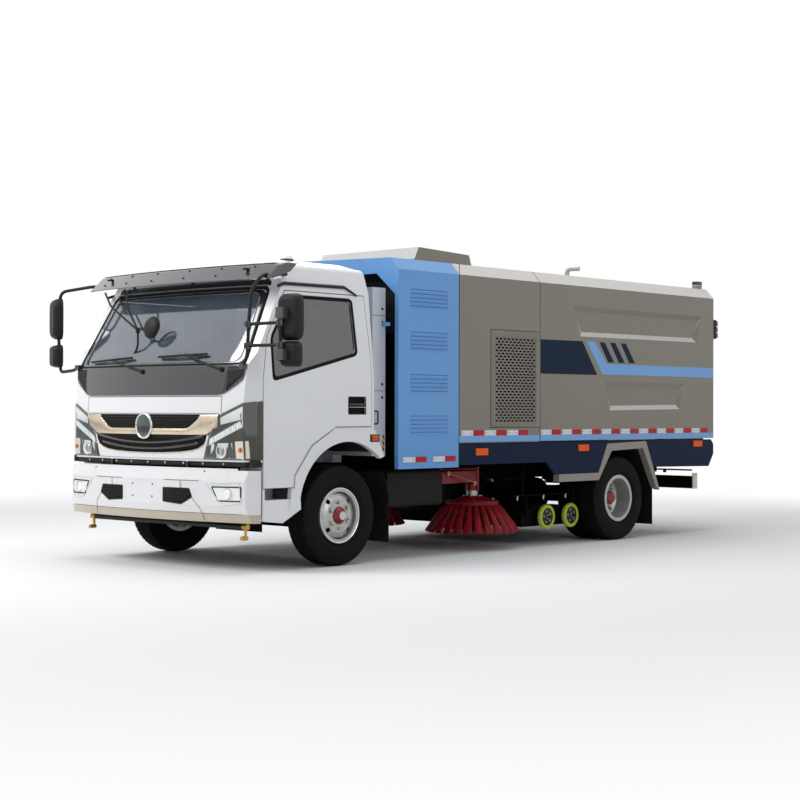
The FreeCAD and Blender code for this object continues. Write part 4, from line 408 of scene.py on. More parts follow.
@dataclass(frozen=True)
class WheelFinish(Look):
    """A painted wheel: silver disc, dark inner barrel and a red hub cap, told apart by radius and depth."""

    hub: str = "8e0f16"
    axle_y: float = 0.0
    face_x: float = 1.0
    hub_radius: float = 0.07
    centre_z: float = 0.402

    def shader(self, graph: Graph) -> Socket:
        """Builds the wheel's paint."""
        x, y, z = graph.axes()
        across, up = y - self.axle_y, z - self.centre_z
        radius = (across * across + up * up) ** 0.5
        outer = graph.ramp(abs(x), self.face_x - 0.02, self.face_x + 0.01)
        cap = graph.fall(radius, self.hub_radius - 0.002, self.hub_radius + 0.002) * outer
        grime = graph.noise(14.0, 5.0, 0.65)
        # Besides the cloudy grime, a ring between radii 0.17 and 0.198 is darkened and roughened.
        film = graph.ramp(grime, 0.42, 0.8) * 0.30 + graph.between(radius, 0.17, 0.198, 0.012) * 0.12
        silver = graph.mix(film, srgb(self.colour), srgb("57503f"))
        red = graph.mix(graph.ramp(grime, 0.45, 0.75) * 0.4, srgb(self.hub), srgb("2a0d0c"))
        return graph.principled(
            Base_Color=graph.mix(cap, silver, red),
            Metallic=(1.0 - cap) * 0.55,
            Roughness=0.30 + film * 0.6,
            Normal=graph.bump(graph.noise(300.0, 1.0), 0.00008),
        )


@dataclass(frozen=True)
class Glass(Look):
    """Tinted pane: mostly clear, with a mirror layer that strengthens at a slant, and a pale diffuse film for
    dust and painted sheen.
    """

    clear: float = 0.80
    painted_sheen: float = 0.0

    def shader(self, graph: Graph) -> Socket:
        """Builds the glass; a back face takes the inverse index, so that it passes light as a front one."""
        # Patches of real dust, plus an even pale film by the painted sheen share that stands in for the sky's
        # reflection.
        dust = graph.ramp(graph.noise(6.0, 5.0), 0.45, 0.85) * 0.05 + self.painted_sheen
        through = graph.add("ShaderNodeBsdfTransparent", {"Color": srgb(self.colour)}).outputs[0]
        gloss = graph.add("ShaderNodeBsdfGlossy", {"Color": WHITE, "Roughness": 0.02}).outputs[0]
        film = graph.add("ShaderNodeBsdfDiffuse", {"Color": srgb("b4c2d4")}).outputs[0]
        behind = Value(graph, graph.add("ShaderNodeNewGeometry").outputs["Backfacing"])
        index = GLASS_INDEX - behind * (GLASS_INDEX - 1 / GLASS_INDEX)
        fresnel = Value(graph, graph.add("ShaderNodeFresnel", {"IOR": index}).outputs[0])
        return graph.blend(dust, graph.blend(fresnel + (1.0 - self.clear) * 0.55, through, gloss), film)


@dataclass(frozen=True)
class Lens(Look):
    """Coloured lamp lens with moulded ribs over a bright reflector."""

    pitch: float = 0.006
    axis: int = 0
    glow: float = 0.0
    metal: float = 0.0
    rough: float = 0.12
    coat: float = 0.5
    shine: float = 0.5

    def shader(self, graph: Graph) -> Socket:
        """Builds the lens."""
        ribs = graph.stripes(graph.axes()[self.axis], self.pitch) * 0.5 + 0.5
        return graph.principled(
            Base_Color=graph.mix(ribs, srgb(self.colour), srgb(self.colour, 0.55)),
            Metallic=self.metal,
            Roughness=self.rough + graph.noise(30.0) * 0.05,
            Specular_IOR_Level=self.shine,
            Coat_Weight=self.coat,
            Coat_Roughness=0.03,
            Emission_Color=srgb(self.colour),
            Emission_Strength=self.glow,
            Normal=graph.bump(ribs, 0.0006),
        )


@dataclass(frozen=True)
class Tape(Look):
    """Retroreflective tape: a fine honeycomb under a clear film, over a flat colour."""

    def shader(self, graph: Graph) -> Socket:
        """Builds the tape."""
        lines = graph.fall(graph.cells(240.0, "DISTANCE_TO_EDGE"), 0.02, 0.09)
        return graph.principled(
            Base_Color=graph.mix(lines * 0.6, srgb(self.colour), srgb(self.colour, 0.72)),
            Roughness=0.34 + graph.noise(12.0) * 0.1,
            Specular_IOR_Level=0.2,
            Coat_Weight=0.15,
            Coat_Roughness=0.08,
            Normal=graph.bump(lines, 0.0001),
        )


@dataclass(frozen=True)
class Hazard(Look):
    """Edge tape in slanting yellow and black bands."""

    pitch: float = 0.05

    def shader(self, graph: Graph) -> Socket:
        """Builds the tape."""
        _, y, z = graph.axes()
        share = graph.ramp(graph.stripes(y * 1.2 + z, self.pitch), -0.05, 0.05)
        return graph.principled(Base_Color=graph.mix(share, srgb("141414"), srgb(self.colour)),
                                Roughness=0.35)


@dataclass(frozen=True)
class Bristle(Look):
    """Coarse plastic bristles: streaks that run down and outwards from the hub."""

    dark: str = "430710"
    scale: tuple[float, float, float] = (1.0, 1.0, 0.06)

    def shader(self, graph: Graph) -> Socket:
        """Builds the bristles."""
        strands = graph.noise(300.0, 2.0, grain=self.scale)
        share = graph.ramp(strands * 0.6 + graph.noise(34.0, 3.0, grain=self.scale) * 0.4, 0.38, 0.62)
        return graph.principled(
            Base_Color=graph.mix(share, srgb(self.dark), srgb(self.colour)),
            Roughness=0.5,
            Specular_IOR_Level=0.2,
            Normal=graph.bump(strands, 0.0012),
        )


@dataclass(frozen=True)
class Fabric(Look):
    """Woven seat cloth: warp and weft a millimetre apart, with a soft sheen."""

    thread: float = 0.0022

    def shader(self, graph: Graph) -> Socket:
        """Builds the cloth."""
        x, y, z = graph.axes()
        weave = graph.stripes(x, self.thread) * graph.stripes(y + z, self.thread) * 0.5 + 0.5
        share = weave * 0.5 + graph.noise(8.0) * 0.3
        return graph.principled(
            Base_Color=graph.mix(share, srgb(self.colour), srgb(self.colour, 1.8)),
            Roughness=0.85,
            Sheen_Weight=0.25,
            Normal=graph.bump(weave, 0.0003),
        )


@dataclass(frozen=True)
class Ground(Look):
    """Pale studio floor that keeps the shadow and goes over to the white backdrop further out."""

    near: float = 5.0
    far: float = 11.0

    def shader(self, graph: Graph) -> Socket:
        """Builds the floor: plain diffuse, and seen by the camera ever whiter with distance."""
        x, y, _ = graph.axes()
        away = graph.ramp((x * x + y * y) ** 0.5, self.near, self.far)
        colour = graph.mix(graph.noise(18.0, 4.0) * 0.08, srgb(self.colour), srgb("d9d9d8"))
        body = graph.principled(Base_Color=colour, Roughness=0.9, Specular_IOR_Level=0.1)
        white = graph.add("ShaderNodeEmission", {"Color": WHITE, "Strength": 1.0}).outputs[0]
        seen = Value(graph, graph.add("ShaderNodeLightPath").outputs["Is Camera Ray"])
        return graph.blend(away * seen, body, white)


class Finish(Enum):
    """Every finish on the truck, by its part."""

    CAB = CabPaint("cab_white", "e4e5e7", dust=0.07)
    BUMPER = LippedPaint("bumper_white", "e4e4e6", rough=0.38)
    # The cowl's inside gets painted shade.
    COWL = CowlPaint("cowl_blue", "629cd8", dust=0.05, coat=0.4, shine=0.3)
    # The body's faces that look upwards get a painted highlight.
    BODY = BodyPaint("body_taupe", "7e776c", dust=0.05, rough=0.28, coat=0.45, shine=0.3, ledge_highlight=0.78)
    DOOR = Paint("mesh_door_taupe", "767067", dust=0.06, rough=0.3, coat=0.4, shine=0.3)
    SKIRT = Paint("skirt_navy", "11213c", dust=0.03, rough=0.3, coat=0.05, shine=0.06)
    TRIM = Paint("arch_trim_grey", "8d877e", dust=0.12)
    CHASSIS = Paint("chassis_black", "080808", 0.65, 0.0, 0.25, "262320", shine=0.05)
    DISC_RED = Paint("brush_disc_red", "7d121b", 0.42, 0.1, 0.15, "3a3029", shine=0.25)
    GEAR = Paint("gear_red", "860f18", 0.36, 0.2, 0.15, "3d2b26", shine=0.3)
    CABINET = Paint("cabinet_grey", "c3c8cf", dust=0.08)
    BATTERY = Paint("battery_grey", "1a1a1b", 0.5, 0.0, 0.15, "35322c", shine=0.12)
    STRIPE_NAVY = Paint("stripe_navy", "10233a", dust=0.02, coat=0.05, shine=0.06)
    STRIPE_BLUE = Paint("stripe_light_blue", "71a8e2", dust=0.04, coat=0.3, shine=0.3)
    STEEL = Metal("ground_steel", "b9b9b6", rough=0.16)
    CHROME = Metal("chrome", "dfe0e0", rough=0.05)
    WARM_CHROME = Metal("warm_chrome", "d8c9b2", rough=0.16)
    ZINC = Metal("zinc_bolts", "a9a69c", rough=0.30)
    BRASS = TappedPipe("spray_pipe", "c09a55")
    COPPER = Metal("copper_rod", "b8683a", rough=0.28)
    GLOSS_BLACK = Plastic("smoked_gloss", "24262b", rough=0.10, grain=0.00002, coat=1.0)
    VISOR = Plastic("visor_smoke", "2e2f37", rough=0.16, grain=0.00002, coat=1.0)
    BLACK = Plastic("black_plastic", "131313", rough=0.48, shine=0.25)
    DARK_GREY = Plastic("dark_grey_plastic", "232222", rough=0.4, shine=0.25)
    BEZEL = Plastic("lamp_bezel", "38342f", rough=0.28, grain=0.00005, coat=0.5)
    WHITE_PLASTIC = Plastic("white_plastic", "dcdcda", rough=0.4)
    YELLOW_GREEN = Plastic("wheel_yellow_green", "b8cd2e", rough=0.45, grain=0.0004)
    TYRE = Rubber("tyre_rubber", "101011", share=0.14, dusty="302e2a")
    FLAP = Rubber("flap_rubber", "191919", share=0.14, dusty="2b2824")
    SEAL = Rubber("seal_rubber", "0a0a0b", share=0.06, rough=0.6, dusty="2a2826")
    BRUSH = Bristle("red_bristle", "a5141f")
    SEAT = Fabric("seat_cloth", "26282c")
    GLASS = Glass("window_glass", "65737f", clear=0.84)
    # The windscreen's even pale film is painted sheen, standing in for reflected sky.
    SCREEN = Glass("screen_glass", "d3dce2", clear=0.84, painted_sheen=0.07)
    MIRROR = Metal("mirror_glass", "e8ecee", rough=0.02, scratch=0.0)
    CLEAR = Lens("lamp_clear", "f2f4f3", metal=0.15, rough=0.08, glow=0.25)
    LED = Lens("led_strip", "f6f7f8", pitch=0.024, metal=0.1, glow=0.35)
    AMBER = Lens("lamp_amber", "f26010", coat=0.15, shine=0.2)
    PEACH = Lens("turn_lens", "f4e3d5", metal=0.1, rough=0.10, glow=0.35)
    SMOKED_BALL = Lens("projector_ball", "c3cace", pitch=0.05, metal=0.5, rough=0.03)
    LAMP_COVER = Glass("lamp_cover", "f1f4f4", clear=0.97)
    RED_LENS = Lens("lamp_red", "7c0b0e", axis=2)
    HAZARD = Hazard("edge_tape", "e3b81c")
    TAPE_RED = Tape("tape_red", "b80a1c")
    TAPE_WHITE = Tape("tape_white", "dadfe6")
    FRONT_WHEEL = WheelFinish("front_wheel_silver", "b9bab8", axle_y=-2.195, face_x=1.055, hub_radius=0.071)
    REAR_WHEEL = WheelFinish("rear_wheel_silver", "b9bab8", axle_y=1.605, face_x=0.93, hub_radius=0.075)
    FLOOR = Ground("studio_floor", "f3f3f2")

    def paint(self) -> bpy.types.Material:
        """The finish's material, made once."""
        made = bpy.data.materials.get(f"look_{self.value.name}")
        return made or self.value.material()


@dataclass
class Shape:
    """A mesh as arrays: its points, and blocks of faces that have equal numbers of corners."""

    points: Points
    faces: list[np.ndarray]

    def __add__(self, other: "Shape") -> "Shape":
        """Both shapes as one."""
        shift = len(self.points)
        return Shape(np.vstack([self.points, other.points]),
                     self.faces + [rows + shift for rows in other.faces])

    def moved(self, x: float, y: float, z: float) -> "Shape":
        """The shape at another place."""
        return Shape(self.points + np.array([x, y, z]), self.faces)

    def turned(self, axis: str, degrees: float, centre: Sequence[float] = MIDDLE) -> "Shape":
        """The shape turned about an axis through a centre."""
        matrix = np.array(Matrix.Rotation(math.radians(degrees), 3, axis))
        middle = np.array(centre)
        return Shape((self.points - middle) @ matrix.T + middle, self.faces)

    def mirrored(self) -> "Shape":
        """The shape on the truck's other side, with its faces turned to point outwards again."""
        return Shape(self.points * np.array([-1.0, 1.0, 1.0]), [rows[:, ::-1] for rows in self.faces])

    def on_side(self, sign: float) -> "Shape":
        """The shape itself for the left, its mirror image for the right."""
        return self if sign > 0 else self.mirrored()

    def both(self) -> "Shape":
        """The shape and its mirror image."""
        return self + self.mirrored()

    def looking(self, way: Sequence[float]) -> "Shape":
        """The same surface, turned round where its faces look, on the whole, against a way."""
        corners = self.points[self.faces[0][:, :3]]
        normals = np.cross(corners[:, 1] - corners[:, 0], corners[:, 2] - corners[:, 0]).sum(0)
        if normals @ np.array(way, float) >= 0:
            return self
        return Shape(self.points, [rows[:, ::-1] for rows in self.faces])

    def repeated(self, offsets: Outline) -> "Shape":
        """A copy at each offset, by adding all offsets to all points at once."""
        points = (self.points[None] + np.asarray(offsets, float)[:, None]).reshape(-1, 3)
        shift = np.arange(len(offsets))[:, None, None] * len(self.points)
        return Shape(points, [(rows[None] + shift).reshape(-1, rows.shape[1]) for rows in self.faces])

    def ringed(self, axis: str, count: int, centre: Sequence[float], first: float = 0.0) -> "Shape":
        """Copies spread evenly round an axis."""
        return total([self.turned(axis, first + 360.0 * index / count, centre) for index in range(count)])


def total(shapes: Sequence[Shape]) -> Shape:
    """All the shapes as one."""
    result = shapes[0]
    for shape in shapes[1:]:
        result = result + shape
    return result


def unit(rows: Points) -> Points:
    """Each row at a length of one."""
    return rows / np.linalg.norm(rows, axis=-1, keepdims=True)


def twice_area(flat: Points) -> float:
    """Twice the area of a closed outline, positive where it runs anticlockwise."""
    after = np.roll(flat, -1, 0)
    return float(np.sum(flat[:, 0] * after[:, 1] - after[:, 0] * flat[:, 1]))


def arc(start: Points, corner: Points, end: Points, share: Points) -> Points:
    """A quadratic arc from a start to an end, that leaves and arrives along the sides of a corner."""
    return (1 - share) ** 2 * start + 2 * share * (1 - share) * corner + share**2 * end


def grid(points: Points, closed: bool = False, flip: bool = False) -> Shape:
    """Quads between the neighbours of a grid of points.

    Args:
        points: an array of rows by columns by 3.
        closed: the last column joins the first.
        flip: turns the faces round.

    Returns:
        The surface.
    """
    rows, columns = points.shape[:2]
    index = np.arange(rows * columns).reshape(rows, columns)
    if closed:
        index = np.hstack([index, index[:, :1]])
    quads = np.stack([index[:-1, :-1], index[1:, :-1], index[1:, 1:], index[:-1, 1:]], -1).reshape(-1, 4)
    return Shape(points.reshape(-1, 3), [quads[:, ::-1] if flip else quads])


def rings(sides: int, links: int = 1, copies: int = 1) -> np.ndarray:
    """Quads between rings of as many points: each ring of a copy is joined to its next."""
    ring = np.arange(sides)
    after = np.roll(ring, -1)
    link = np.stack([ring, after, after + sides, ring + sides], -1)
    chain = (link + np.arange(links)[:, None, None] * sides).reshape(-1, 4)
    return (chain + np.arange(copies)[:, None, None] * sides * (links + 1)).reshape(-1, 4)


def block(low: Sequence[float], high: Sequence[float]) -> Shape:
    """A plain six-sided solid between two corners; its bevel comes when it is made a piece."""
    corners = np.array([[x, y, z] for x in (0, 1) for y in (0, 1) for z in (0, 1)], float)
    points = np.array(low) + corners * (np.array(high) - np.array(low))
    quads = np.array([[0, 1, 3, 2], [4, 6, 7, 5], [0, 4, 5, 1], [2, 3, 7, 6], [0, 2, 6, 4], [1, 5, 7, 3]])
    return Shape(points, [quads])


def oblong(left: float, right: float, low: float, high: float) -> Outline:
    """Corners of a rectangle, from bottom left round."""
    return (left, low), (right, low), (right, high), (left, high)


def plate(outline: Outline, low: float, high: float) -> Shape:
    """A flat solid with an outline's form in the side's plane, between two places across."""
    flat = np.array(outline, float)
    if twice_area(flat) < 0:
        flat = flat[::-1]
    count = len(flat)
    ring = np.arange(count)
    points = np.column_stack([np.repeat([low, high], count), np.tile(flat, (2, 1))])
    return Shape(points, [rings(count), ring[::-1][None], (ring + count)[None]])


def tube(path: Outline, radius: "float | np.ndarray", sides: int = 12) -> Shape:
    """A round bar with closed ends: a circle square to its path at every point of it.

    Args:
        path: the points of the middle line.
        radius: one radius, or one for each point.
        sides: how many sides the circle has.

    Returns:
        The closed surface.
    """
    line = np.asarray(path, float)
    way = unit(np.gradient(line, axis=0))
    helper = np.array([0.313, 0.211, 0.926])
    if abs(way @ helper).max() > 0.97:
        helper = np.array([0.926, -0.313, 0.211])
    side = unit(np.cross(way, helper))
    up = np.cross(side, way)
    angle = np.linspace(0, 2 * np.pi, sides, endpoint=False)
    radii = np.broadcast_to(np.asarray(radius, float), (len(line),))[:, None, None]
    circle = np.cos(angle)[None, :, None] * side[:, None] + np.sin(angle)[None, :, None] * up[:, None]
    shape = grid(line[:, None] + radii * circle, closed=True)
    ring = np.arange(sides)
    shape.faces += [ring[None], (ring + (len(line) - 1) * sides)[::-1][None]]
    return shape


def smooth_path(knots: Outline, bend: float) -> Points:
    """A line through knots with rounded corners: each corner is an arc between two cut-back points."""
    places = np.array(knots, float)
    parts = [places[:1]]
    share = np.linspace(0, 1, 12)[:, None]
    for before, corner, after in zip(places, places[1:], places[2:]):
        back, onward = before - corner, after - corner
        reach = min(bend, 0.45 * np.linalg.norm(back), 0.45 * np.linalg.norm(onward))
        parts.append(arc(corner + unit(back) * reach, corner, corner + unit(onward) * reach, share))
    parts.append(places[-1:])
    return np.vstack(parts)


def lathe(profile: Outline, axis: str, centre: Sequence[float], steps: int = 48) -> Shape:
    """A profile of (along the axis, radius) turned round an axis through a centre."""
    flat = np.array(profile, float)
    angle = np.linspace(0, 2 * np.pi, steps, endpoint=False)
    along = np.broadcast_to(flat[:, 0][:, None], (len(flat), steps))
    first = flat[:, 1][:, None] * np.cos(angle)
    second = flat[:, 1][:, None] * np.sin(angle)
    order = {"X": (along, first, second), "Y": (second, along, first), "Z": (first, second, along)}[axis]
    return grid(np.stack(order, -1) + np.array(centre), closed=True, flip=True)


def piece(name: str, shape: Shape, finish: Finish, body: str, slot: str, bevel: float = 0.0,
          thickness: float = 0.0, replaces: Sequence[str] = (), sharp: float = 35.0,
          segments: int = 2) -> bpy.types.Object:
    """Makes a shape an object that rides on a body.

    Args:
        name: the piece's own name.
        shape: its surface.
        finish: its material.
        body: the body that carries it.
        slot: the record's material slot; not used.
        bevel: width of the rounding on its sharp edges, in metres.
        thickness: wall given to an open surface, inwards.
        replaces: nodes that it stands for.
        sharp: edges above this angle stay sharp.
        segments: steps of the rounding.

    Returns:
        The object.
    """
    mesh = bpy.data.meshes.new(name)
    faces = [row for rows in shape.faces for row in rows.tolist()]
    mesh.from_pydata(shape.points.tolist(), [], faces)
    mesh.polygons.foreach_set("use_smooth", np.ones(len(mesh.polygons), bool))
    mesh.set_sharp_from_angle(angle=math.radians(sharp))
    mesh.materials.append(finish.paint())
    mesh.update()
    item = bpy.data.objects.new(name, mesh)
    bpy.context.scene.collection.objects.link(item)
    if thickness:
        wall = item.modifiers.new("Wall", "SOLIDIFY")
        wall.thickness = thickness
        wall.offset = -1.0
    if bevel:
        edge = item.modifiers.new("Edges", "BEVEL")
        edge.width = bevel
        edge.segments = segments
        edge.limit_method = "ANGLE"
        edge.angle_limit = math.radians(sharp)
        edge.harden_normals = True
    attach(item, body)
    if replaces:
        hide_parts(*replaces)
    log.info("%s: %d faces on %s", name, len(faces), body)
    return item


def alone(rows: Iterable[tuple], body: str, slot: str) -> None:
    """Makes the pieces of a list.

    Args:
        rows: a name, a shape, a finish and, where it has any, a dictionary of its own settings.
        body: the body that carries the pieces.
        slot: the material slot, passed on to each piece, which does not use it.
    """
    for name, shape, finish, *own in rows:
        settings = {"body": body, "slot": slot}
        for more in own:
            settings.update(more)
        piece(name, shape, finish, **settings)


def sided(rows: Iterable[tuple], body: str, slot: str, **common: float) -> None:
    """Makes the pieces of a list on both sides.

    Args:
        rows: as for alone; the side is added to each name.
        body: the body that carries the pieces, with a star in place of the side; nodes are written so too.
        slot: the material slot, passed on to each piece, which does not use it.
        **common: settings of all pieces.
    """
    for side, sign in SIDES:
        for name, shape, finish, *own in rows:
            settings = {"body": body, "replaces": (), **common}
            for more in own:
                settings.update(more)
            settings["body"] = settings["body"].replace("*", side)
            settings["replaces"] = [node.replace("*", side) for node in settings["replaces"]]
            alone([(f"{name}_{side}", shape.on_side(sign), finish, settings)], body, slot)


def dress(node: str, finish: Finish) -> None:
    """Gives a carried-over node its finish on every slot."""
    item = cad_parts[node]
    for slot in item.material_slots:
        slot.material = finish.paint()
    if not item.material_slots:
        item.data.materials.append(finish.paint())


class Skin:
    """A surface of the truck that thin pieces lie on, addressed by a place along it and a height."""

    way = FORWARDS

    def points(self, along: np.ndarray, height: np.ndarray, out: "float | np.ndarray") -> Points:
        """Points that stand a set distance out of the surface."""
        raise NotImplementedError


@dataclass(frozen=True)
class CabFront(Skin):
    """The cab's curved front, as a surface over across and height."""

    axis_y: float = 2.710
    heights: tuple[float, ...] = (0.845, 1.200, 1.360, 1.575, 2.200, 2.335, 2.410, 2.450)
    radii: tuple[float, ...] = (5.988, 6.000, 5.990, 5.972, 5.625, 5.560, 5.440, 5.180)
    corner_x: tuple[float, ...] = (0.0, 0.79, 1.045, 1.12, 1.14)
    corner_y: tuple[float, ...] = (-3.50, -3.340, -3.195, -3.075, -3.030)

    def at(self, x: np.ndarray, z: np.ndarray) -> np.ndarray:
        """Lengthwise place: an arc whose radius changes with height, held back at the corners."""
        radius = np.interp(z, self.heights, self.radii)
        bow = self.axis_y - np.sqrt(radius**2 - np.square(x))
        return np.maximum(bow, np.interp(np.abs(x), self.corner_x, self.corner_y))

    def points(self, along: np.ndarray, height: np.ndarray, out: "float | np.ndarray") -> Points:
        """Points in front of the surface."""
        return np.stack([along, self.at(along, height) - out, height], -1)


@dataclass(frozen=True)
class BumperFront(CabFront):
    """The bumper's curved face, as a surface over across and height."""

    axis_y: float = 1.675
    heights: tuple[float, ...] = (0.384, 0.514, 0.700, 0.780)
    radii: tuple[float, ...] = (4.965, 5.000, 5.000, 4.980)
    corner_x: tuple[float, ...] = (0.0, 0.745, 0.985, 1.085, 1.145)
    corner_y: tuple[float, ...] = (-3.50, -3.385, -3.265, -3.200, -3.120)


@dataclass(frozen=True)
class VisorFront(CabFront):
    """The visor's blade: a cone about the same axis as the cab's front."""

    heights: tuple[float, ...] = (2.241, 2.365, 2.373)
    radii: tuple[float, ...] = (5.832, 5.700, 5.670)
    corner_x: tuple[float, ...] = (0.0, 1.2)
    corner_y: tuple[float, ...] = (-3.50, -3.50)


@dataclass(frozen=True)
class BehindFront(CabFront):
    """The face of the black strip under the nose, a little behind the cab's foot."""

    behind: float = 0.012
    foot: float = 0.845

    def at(self, x: np.ndarray, z: np.ndarray) -> np.ndarray:
        """Lengthwise place of the strip."""
        return super().at(x, np.full(np.shape(z), self.foot)) + self.behind


class CabSide(Skin):
    """The cab's side, upright up to the belt and leaning in above it, over length and height."""

    way = SIDEWAYS

    def points(self, along: np.ndarray, height: np.ndarray, out: "float | np.ndarray") -> Points:
        """Points outside the surface on the left."""
        wide = np.interp(height, (1.500, 2.180, 2.370), (1.120, 1.055, 0.990))
        return np.stack([wide + out, along, height], -1)


@dataclass(frozen=True)
class FlatSide(Skin):
    """A flat upright side at a set distance from the middle, over length and height."""

    x: float = HALF_WIDTH
    way = SIDEWAYS

    def points(self, along: np.ndarray, height: np.ndarray, out: "float | np.ndarray") -> Points:
        """Points outside the side on the left."""
        return np.stack([np.broadcast_to(self.x + out, np.shape(along)), along, height], -1)


def ribbon(skin: Skin, across: Sequence[float], top: Sequence[float], bottom: Sequence[float],
           out: float = 0.002, columns: int = 40, rows: int = 5, crown: float = 0.0) -> Shape:
    """A strip that lies on a skin, between a top and a bottom line.

    Height runs evenly from the bottom to the top line, and the strip stands out by a set distance plus a
    crown that is a parabola of the height, nought at both edges. The knots are among its columns, so
    corners stay crisp.

    Args:
        skin: the surface it lies on.
        across: places of the knots of both lines, rising.
        top: z of the top line at those knots.
        bottom: z of the bottom line.
        out: how far it stands out.
        columns: steps across, apart from the knots.
        rows: steps upwards.
        crown: how far its middle bulges.

    Returns:
        The open surface, facing outwards.
    """
    along = np.unique(np.concatenate([np.linspace(across[0], across[-1], columns), across]))
    high, low = np.interp(along, across, top), np.interp(along, across, bottom)
    share = np.linspace(0, 1, rows)[:, None]
    z = low + (high - low) * share
    wide = np.broadcast_to(along, z.shape)
    lift = out + crown * 4 * share * (1 - share) * np.ones_like(z)
    return grid(skin.points(wide, z, lift)).looking(skin.way)


def both_ways(knots: Sequence[float], *lines: Sequence[float]) -> list[list[float]]:
    """Knots that run out from the middle and lines' heights at them, continued to the right side."""
    return [[-x for x in knots[:0:-1]] + [*knots], *([*line[:0:-1], *line] for line in lines)]


def level(skin: Skin, reach: float, low: float, high: float, out: float = 0.002, crown: float = 0.0) -> Shape:
    """A ribbon between two level lines, as far to the right as to the left."""
    return ribbon(skin, (-reach, 0.0, reach), [high] * 3, [low] * 3, out, 60, 5, crown)


def panel(skin: Skin, corners: Outline, out: float = 0.002, steps: int = 8) -> Shape:
    """A four-cornered patch on a skin: corners blended evenly both ways, from bottom left round."""
    a, b, c, d = (np.array(corner, float) for corner in corners)
    u = np.linspace(0, 1, steps)[None, :, None]
    v = np.linspace(0, 1, steps)[:, None, None]
    flat = (1 - v) * ((1 - u) * a + u * b) + v * ((1 - u) * d + u * c)
    return grid(skin.points(flat[..., 0], flat[..., 1], out)).looking(skin.way)


def rounded(outline: Outline, radius: float, arc_steps: int = 6, run_steps: int = 10) -> Points:
    """Points round a closed outline with rounded corners.

    Each corner is an arc between two points cut back along its sides, and each side between two arcs is
    divided evenly, so that outlines with as many corners match point for point.

    Args:
        outline: the corners in order.
        radius: how far the corners are cut back.
        arc_steps: points on each arc.
        run_steps: points on each side.

    Returns:
        One row of two numbers for each point.
    """
    flat = np.array(outline, float)
    before, after = np.roll(flat, 1, 0) - flat, np.roll(flat, -1, 0) - flat
    shorter = np.minimum(*(np.linalg.norm(side, axis=1, keepdims=True) for side in (before, after)))
    reach = np.minimum(radius, 0.45 * shorter)
    start, end = flat + unit(before) * reach, flat + unit(after) * reach
    share = np.linspace(0, 1, arc_steps)[None, :, None]
    corners = arc(start[:, None], flat[:, None], end[:, None], share)
    onward = np.roll(start, -1, 0) - end
    run = end[:, None] + onward[:, None] * np.linspace(0, 1, run_steps + 2)[None, 1:-1, None]
    return np.concatenate([corners, run], 1).reshape(-1, 2)


def inset(outline: Outline, distance: float) -> Points:
    """An outline drawn in by a distance: each corner moves to where its two sides, shifted inwards, cross."""
    flat = np.array(outline, float)
    onward = unit(np.roll(flat, -1, 0) - flat)
    inward = np.stack([-onward[:, 1], onward[:, 0]], -1) * np.sign(twice_area(flat))
    earlier, before = np.roll(inward, 1, 0), np.roll(onward, 1, 0)
    share = (1 - np.sum(earlier * inward, 1)) / np.sum(before * inward, 1)
    return flat + distance * (earlier + share[:, None] * before)


def collar(skin: Skin, outer: Points, inner: Points, out: float = 0.002, crown: float = 0.0,
           rows: int = 5) -> Shape:
    """A closed band between two outlines that match point for point, bulging in its middle by the crown."""
    share = np.linspace(0, 1, rows)[:, None]
    flat = outer[None] * (1 - share[..., None]) + inner[None] * share[..., None]
    height = out + crown * 4 * share * (1 - share) * np.ones(flat.shape[:2])
    return grid(skin.points(flat[..., 0], flat[..., 1], height), closed=True).looking(skin.way)


def seam(skin: Skin, path: Outline, wide: float = 0.003, out: float = 0.0006, steps: int = 24) -> Shape:
    """A narrow line along a path on a skin, for the dark gap between two panels."""
    flat = np.array(path, float)
    run = np.concatenate([[0.0], np.cumsum(np.linalg.norm(np.diff(flat, axis=0), axis=1))])
    at = np.unique(np.concatenate([np.linspace(0, run[-1], steps), run]))
    line = np.stack([np.interp(at, run, flat[:, 0]), np.interp(at, run, flat[:, 1])], -1)
    onward = unit(np.gradient(line, axis=0))
    beside = np.stack([-onward[:, 1], onward[:, 0]], -1) * wide / 2
    sides = np.stack([line - beside, line + beside])
    return grid(skin.points(sides[..., 0], sides[..., 1], out)).looking(skin.way)


def honeycomb(skin: Skin, outline: Outline, pitch: float, out: float, deep: float) -> Shape:
    """Six-sided cells with thin walls, wherever a cell's middle lies well inside a convex outline.

    Each cell is three rings of six corners: the wall's outer edge and inner edge at the front, and the
    inner edge at the back. All cells are made at once from the rings and the rows of middles, every other
    row shifted by half.

    Args:
        skin: the surface behind the cells.
        outline: the field's corners.
        pitch: distance between the cells' middles.
        out: how far the back of the walls stands out.
        deep: depth of the walls.

    Returns:
        The walls, facing outwards.
    """
    flat = np.array(outline, float)
    low, high = flat.min(0), flat.max(0)
    rise = pitch * math.sqrt(0.75)
    rows, columns = int((high[1] - low[1]) / rise) + 1, int((high[0] - low[0]) / pitch) + 1
    row, column = np.meshgrid(np.arange(rows), np.arange(columns), indexing="ij")
    x, y = low[0] + (column + row % 2 * 0.5) * pitch, low[1] + (row + 0.5) * rise
    middle = np.stack([x, y], -1).reshape(-1, 1, 2)
    onward = unit(np.roll(flat, -1, 0) - flat)
    beside = onward[:, 0] * (middle[..., 1] - flat[:, 1]) - onward[:, 1] * (middle[..., 0] - flat[:, 0])
    middle = middle[(np.abs(beside) > pitch * 0.4).all(1) & (np.abs(np.sign(beside).sum(1)) == len(flat))]
    angle = np.radians(30 + 60 * np.arange(6))
    corner = np.stack([np.cos(angle), np.sin(angle)], -1) * pitch / math.sqrt(3)
    edge, hole = middle + corner, middle + corner * 0.80
    points = np.stack([skin.points(ring[..., 0], ring[..., 1], height)
                       for ring, height in ((edge, out + deep), (hole, out + deep), (hole, out))], 1)
    return Shape(points.reshape(-1, 3), [rings(6, 2, len(middle))]).looking(skin.way)


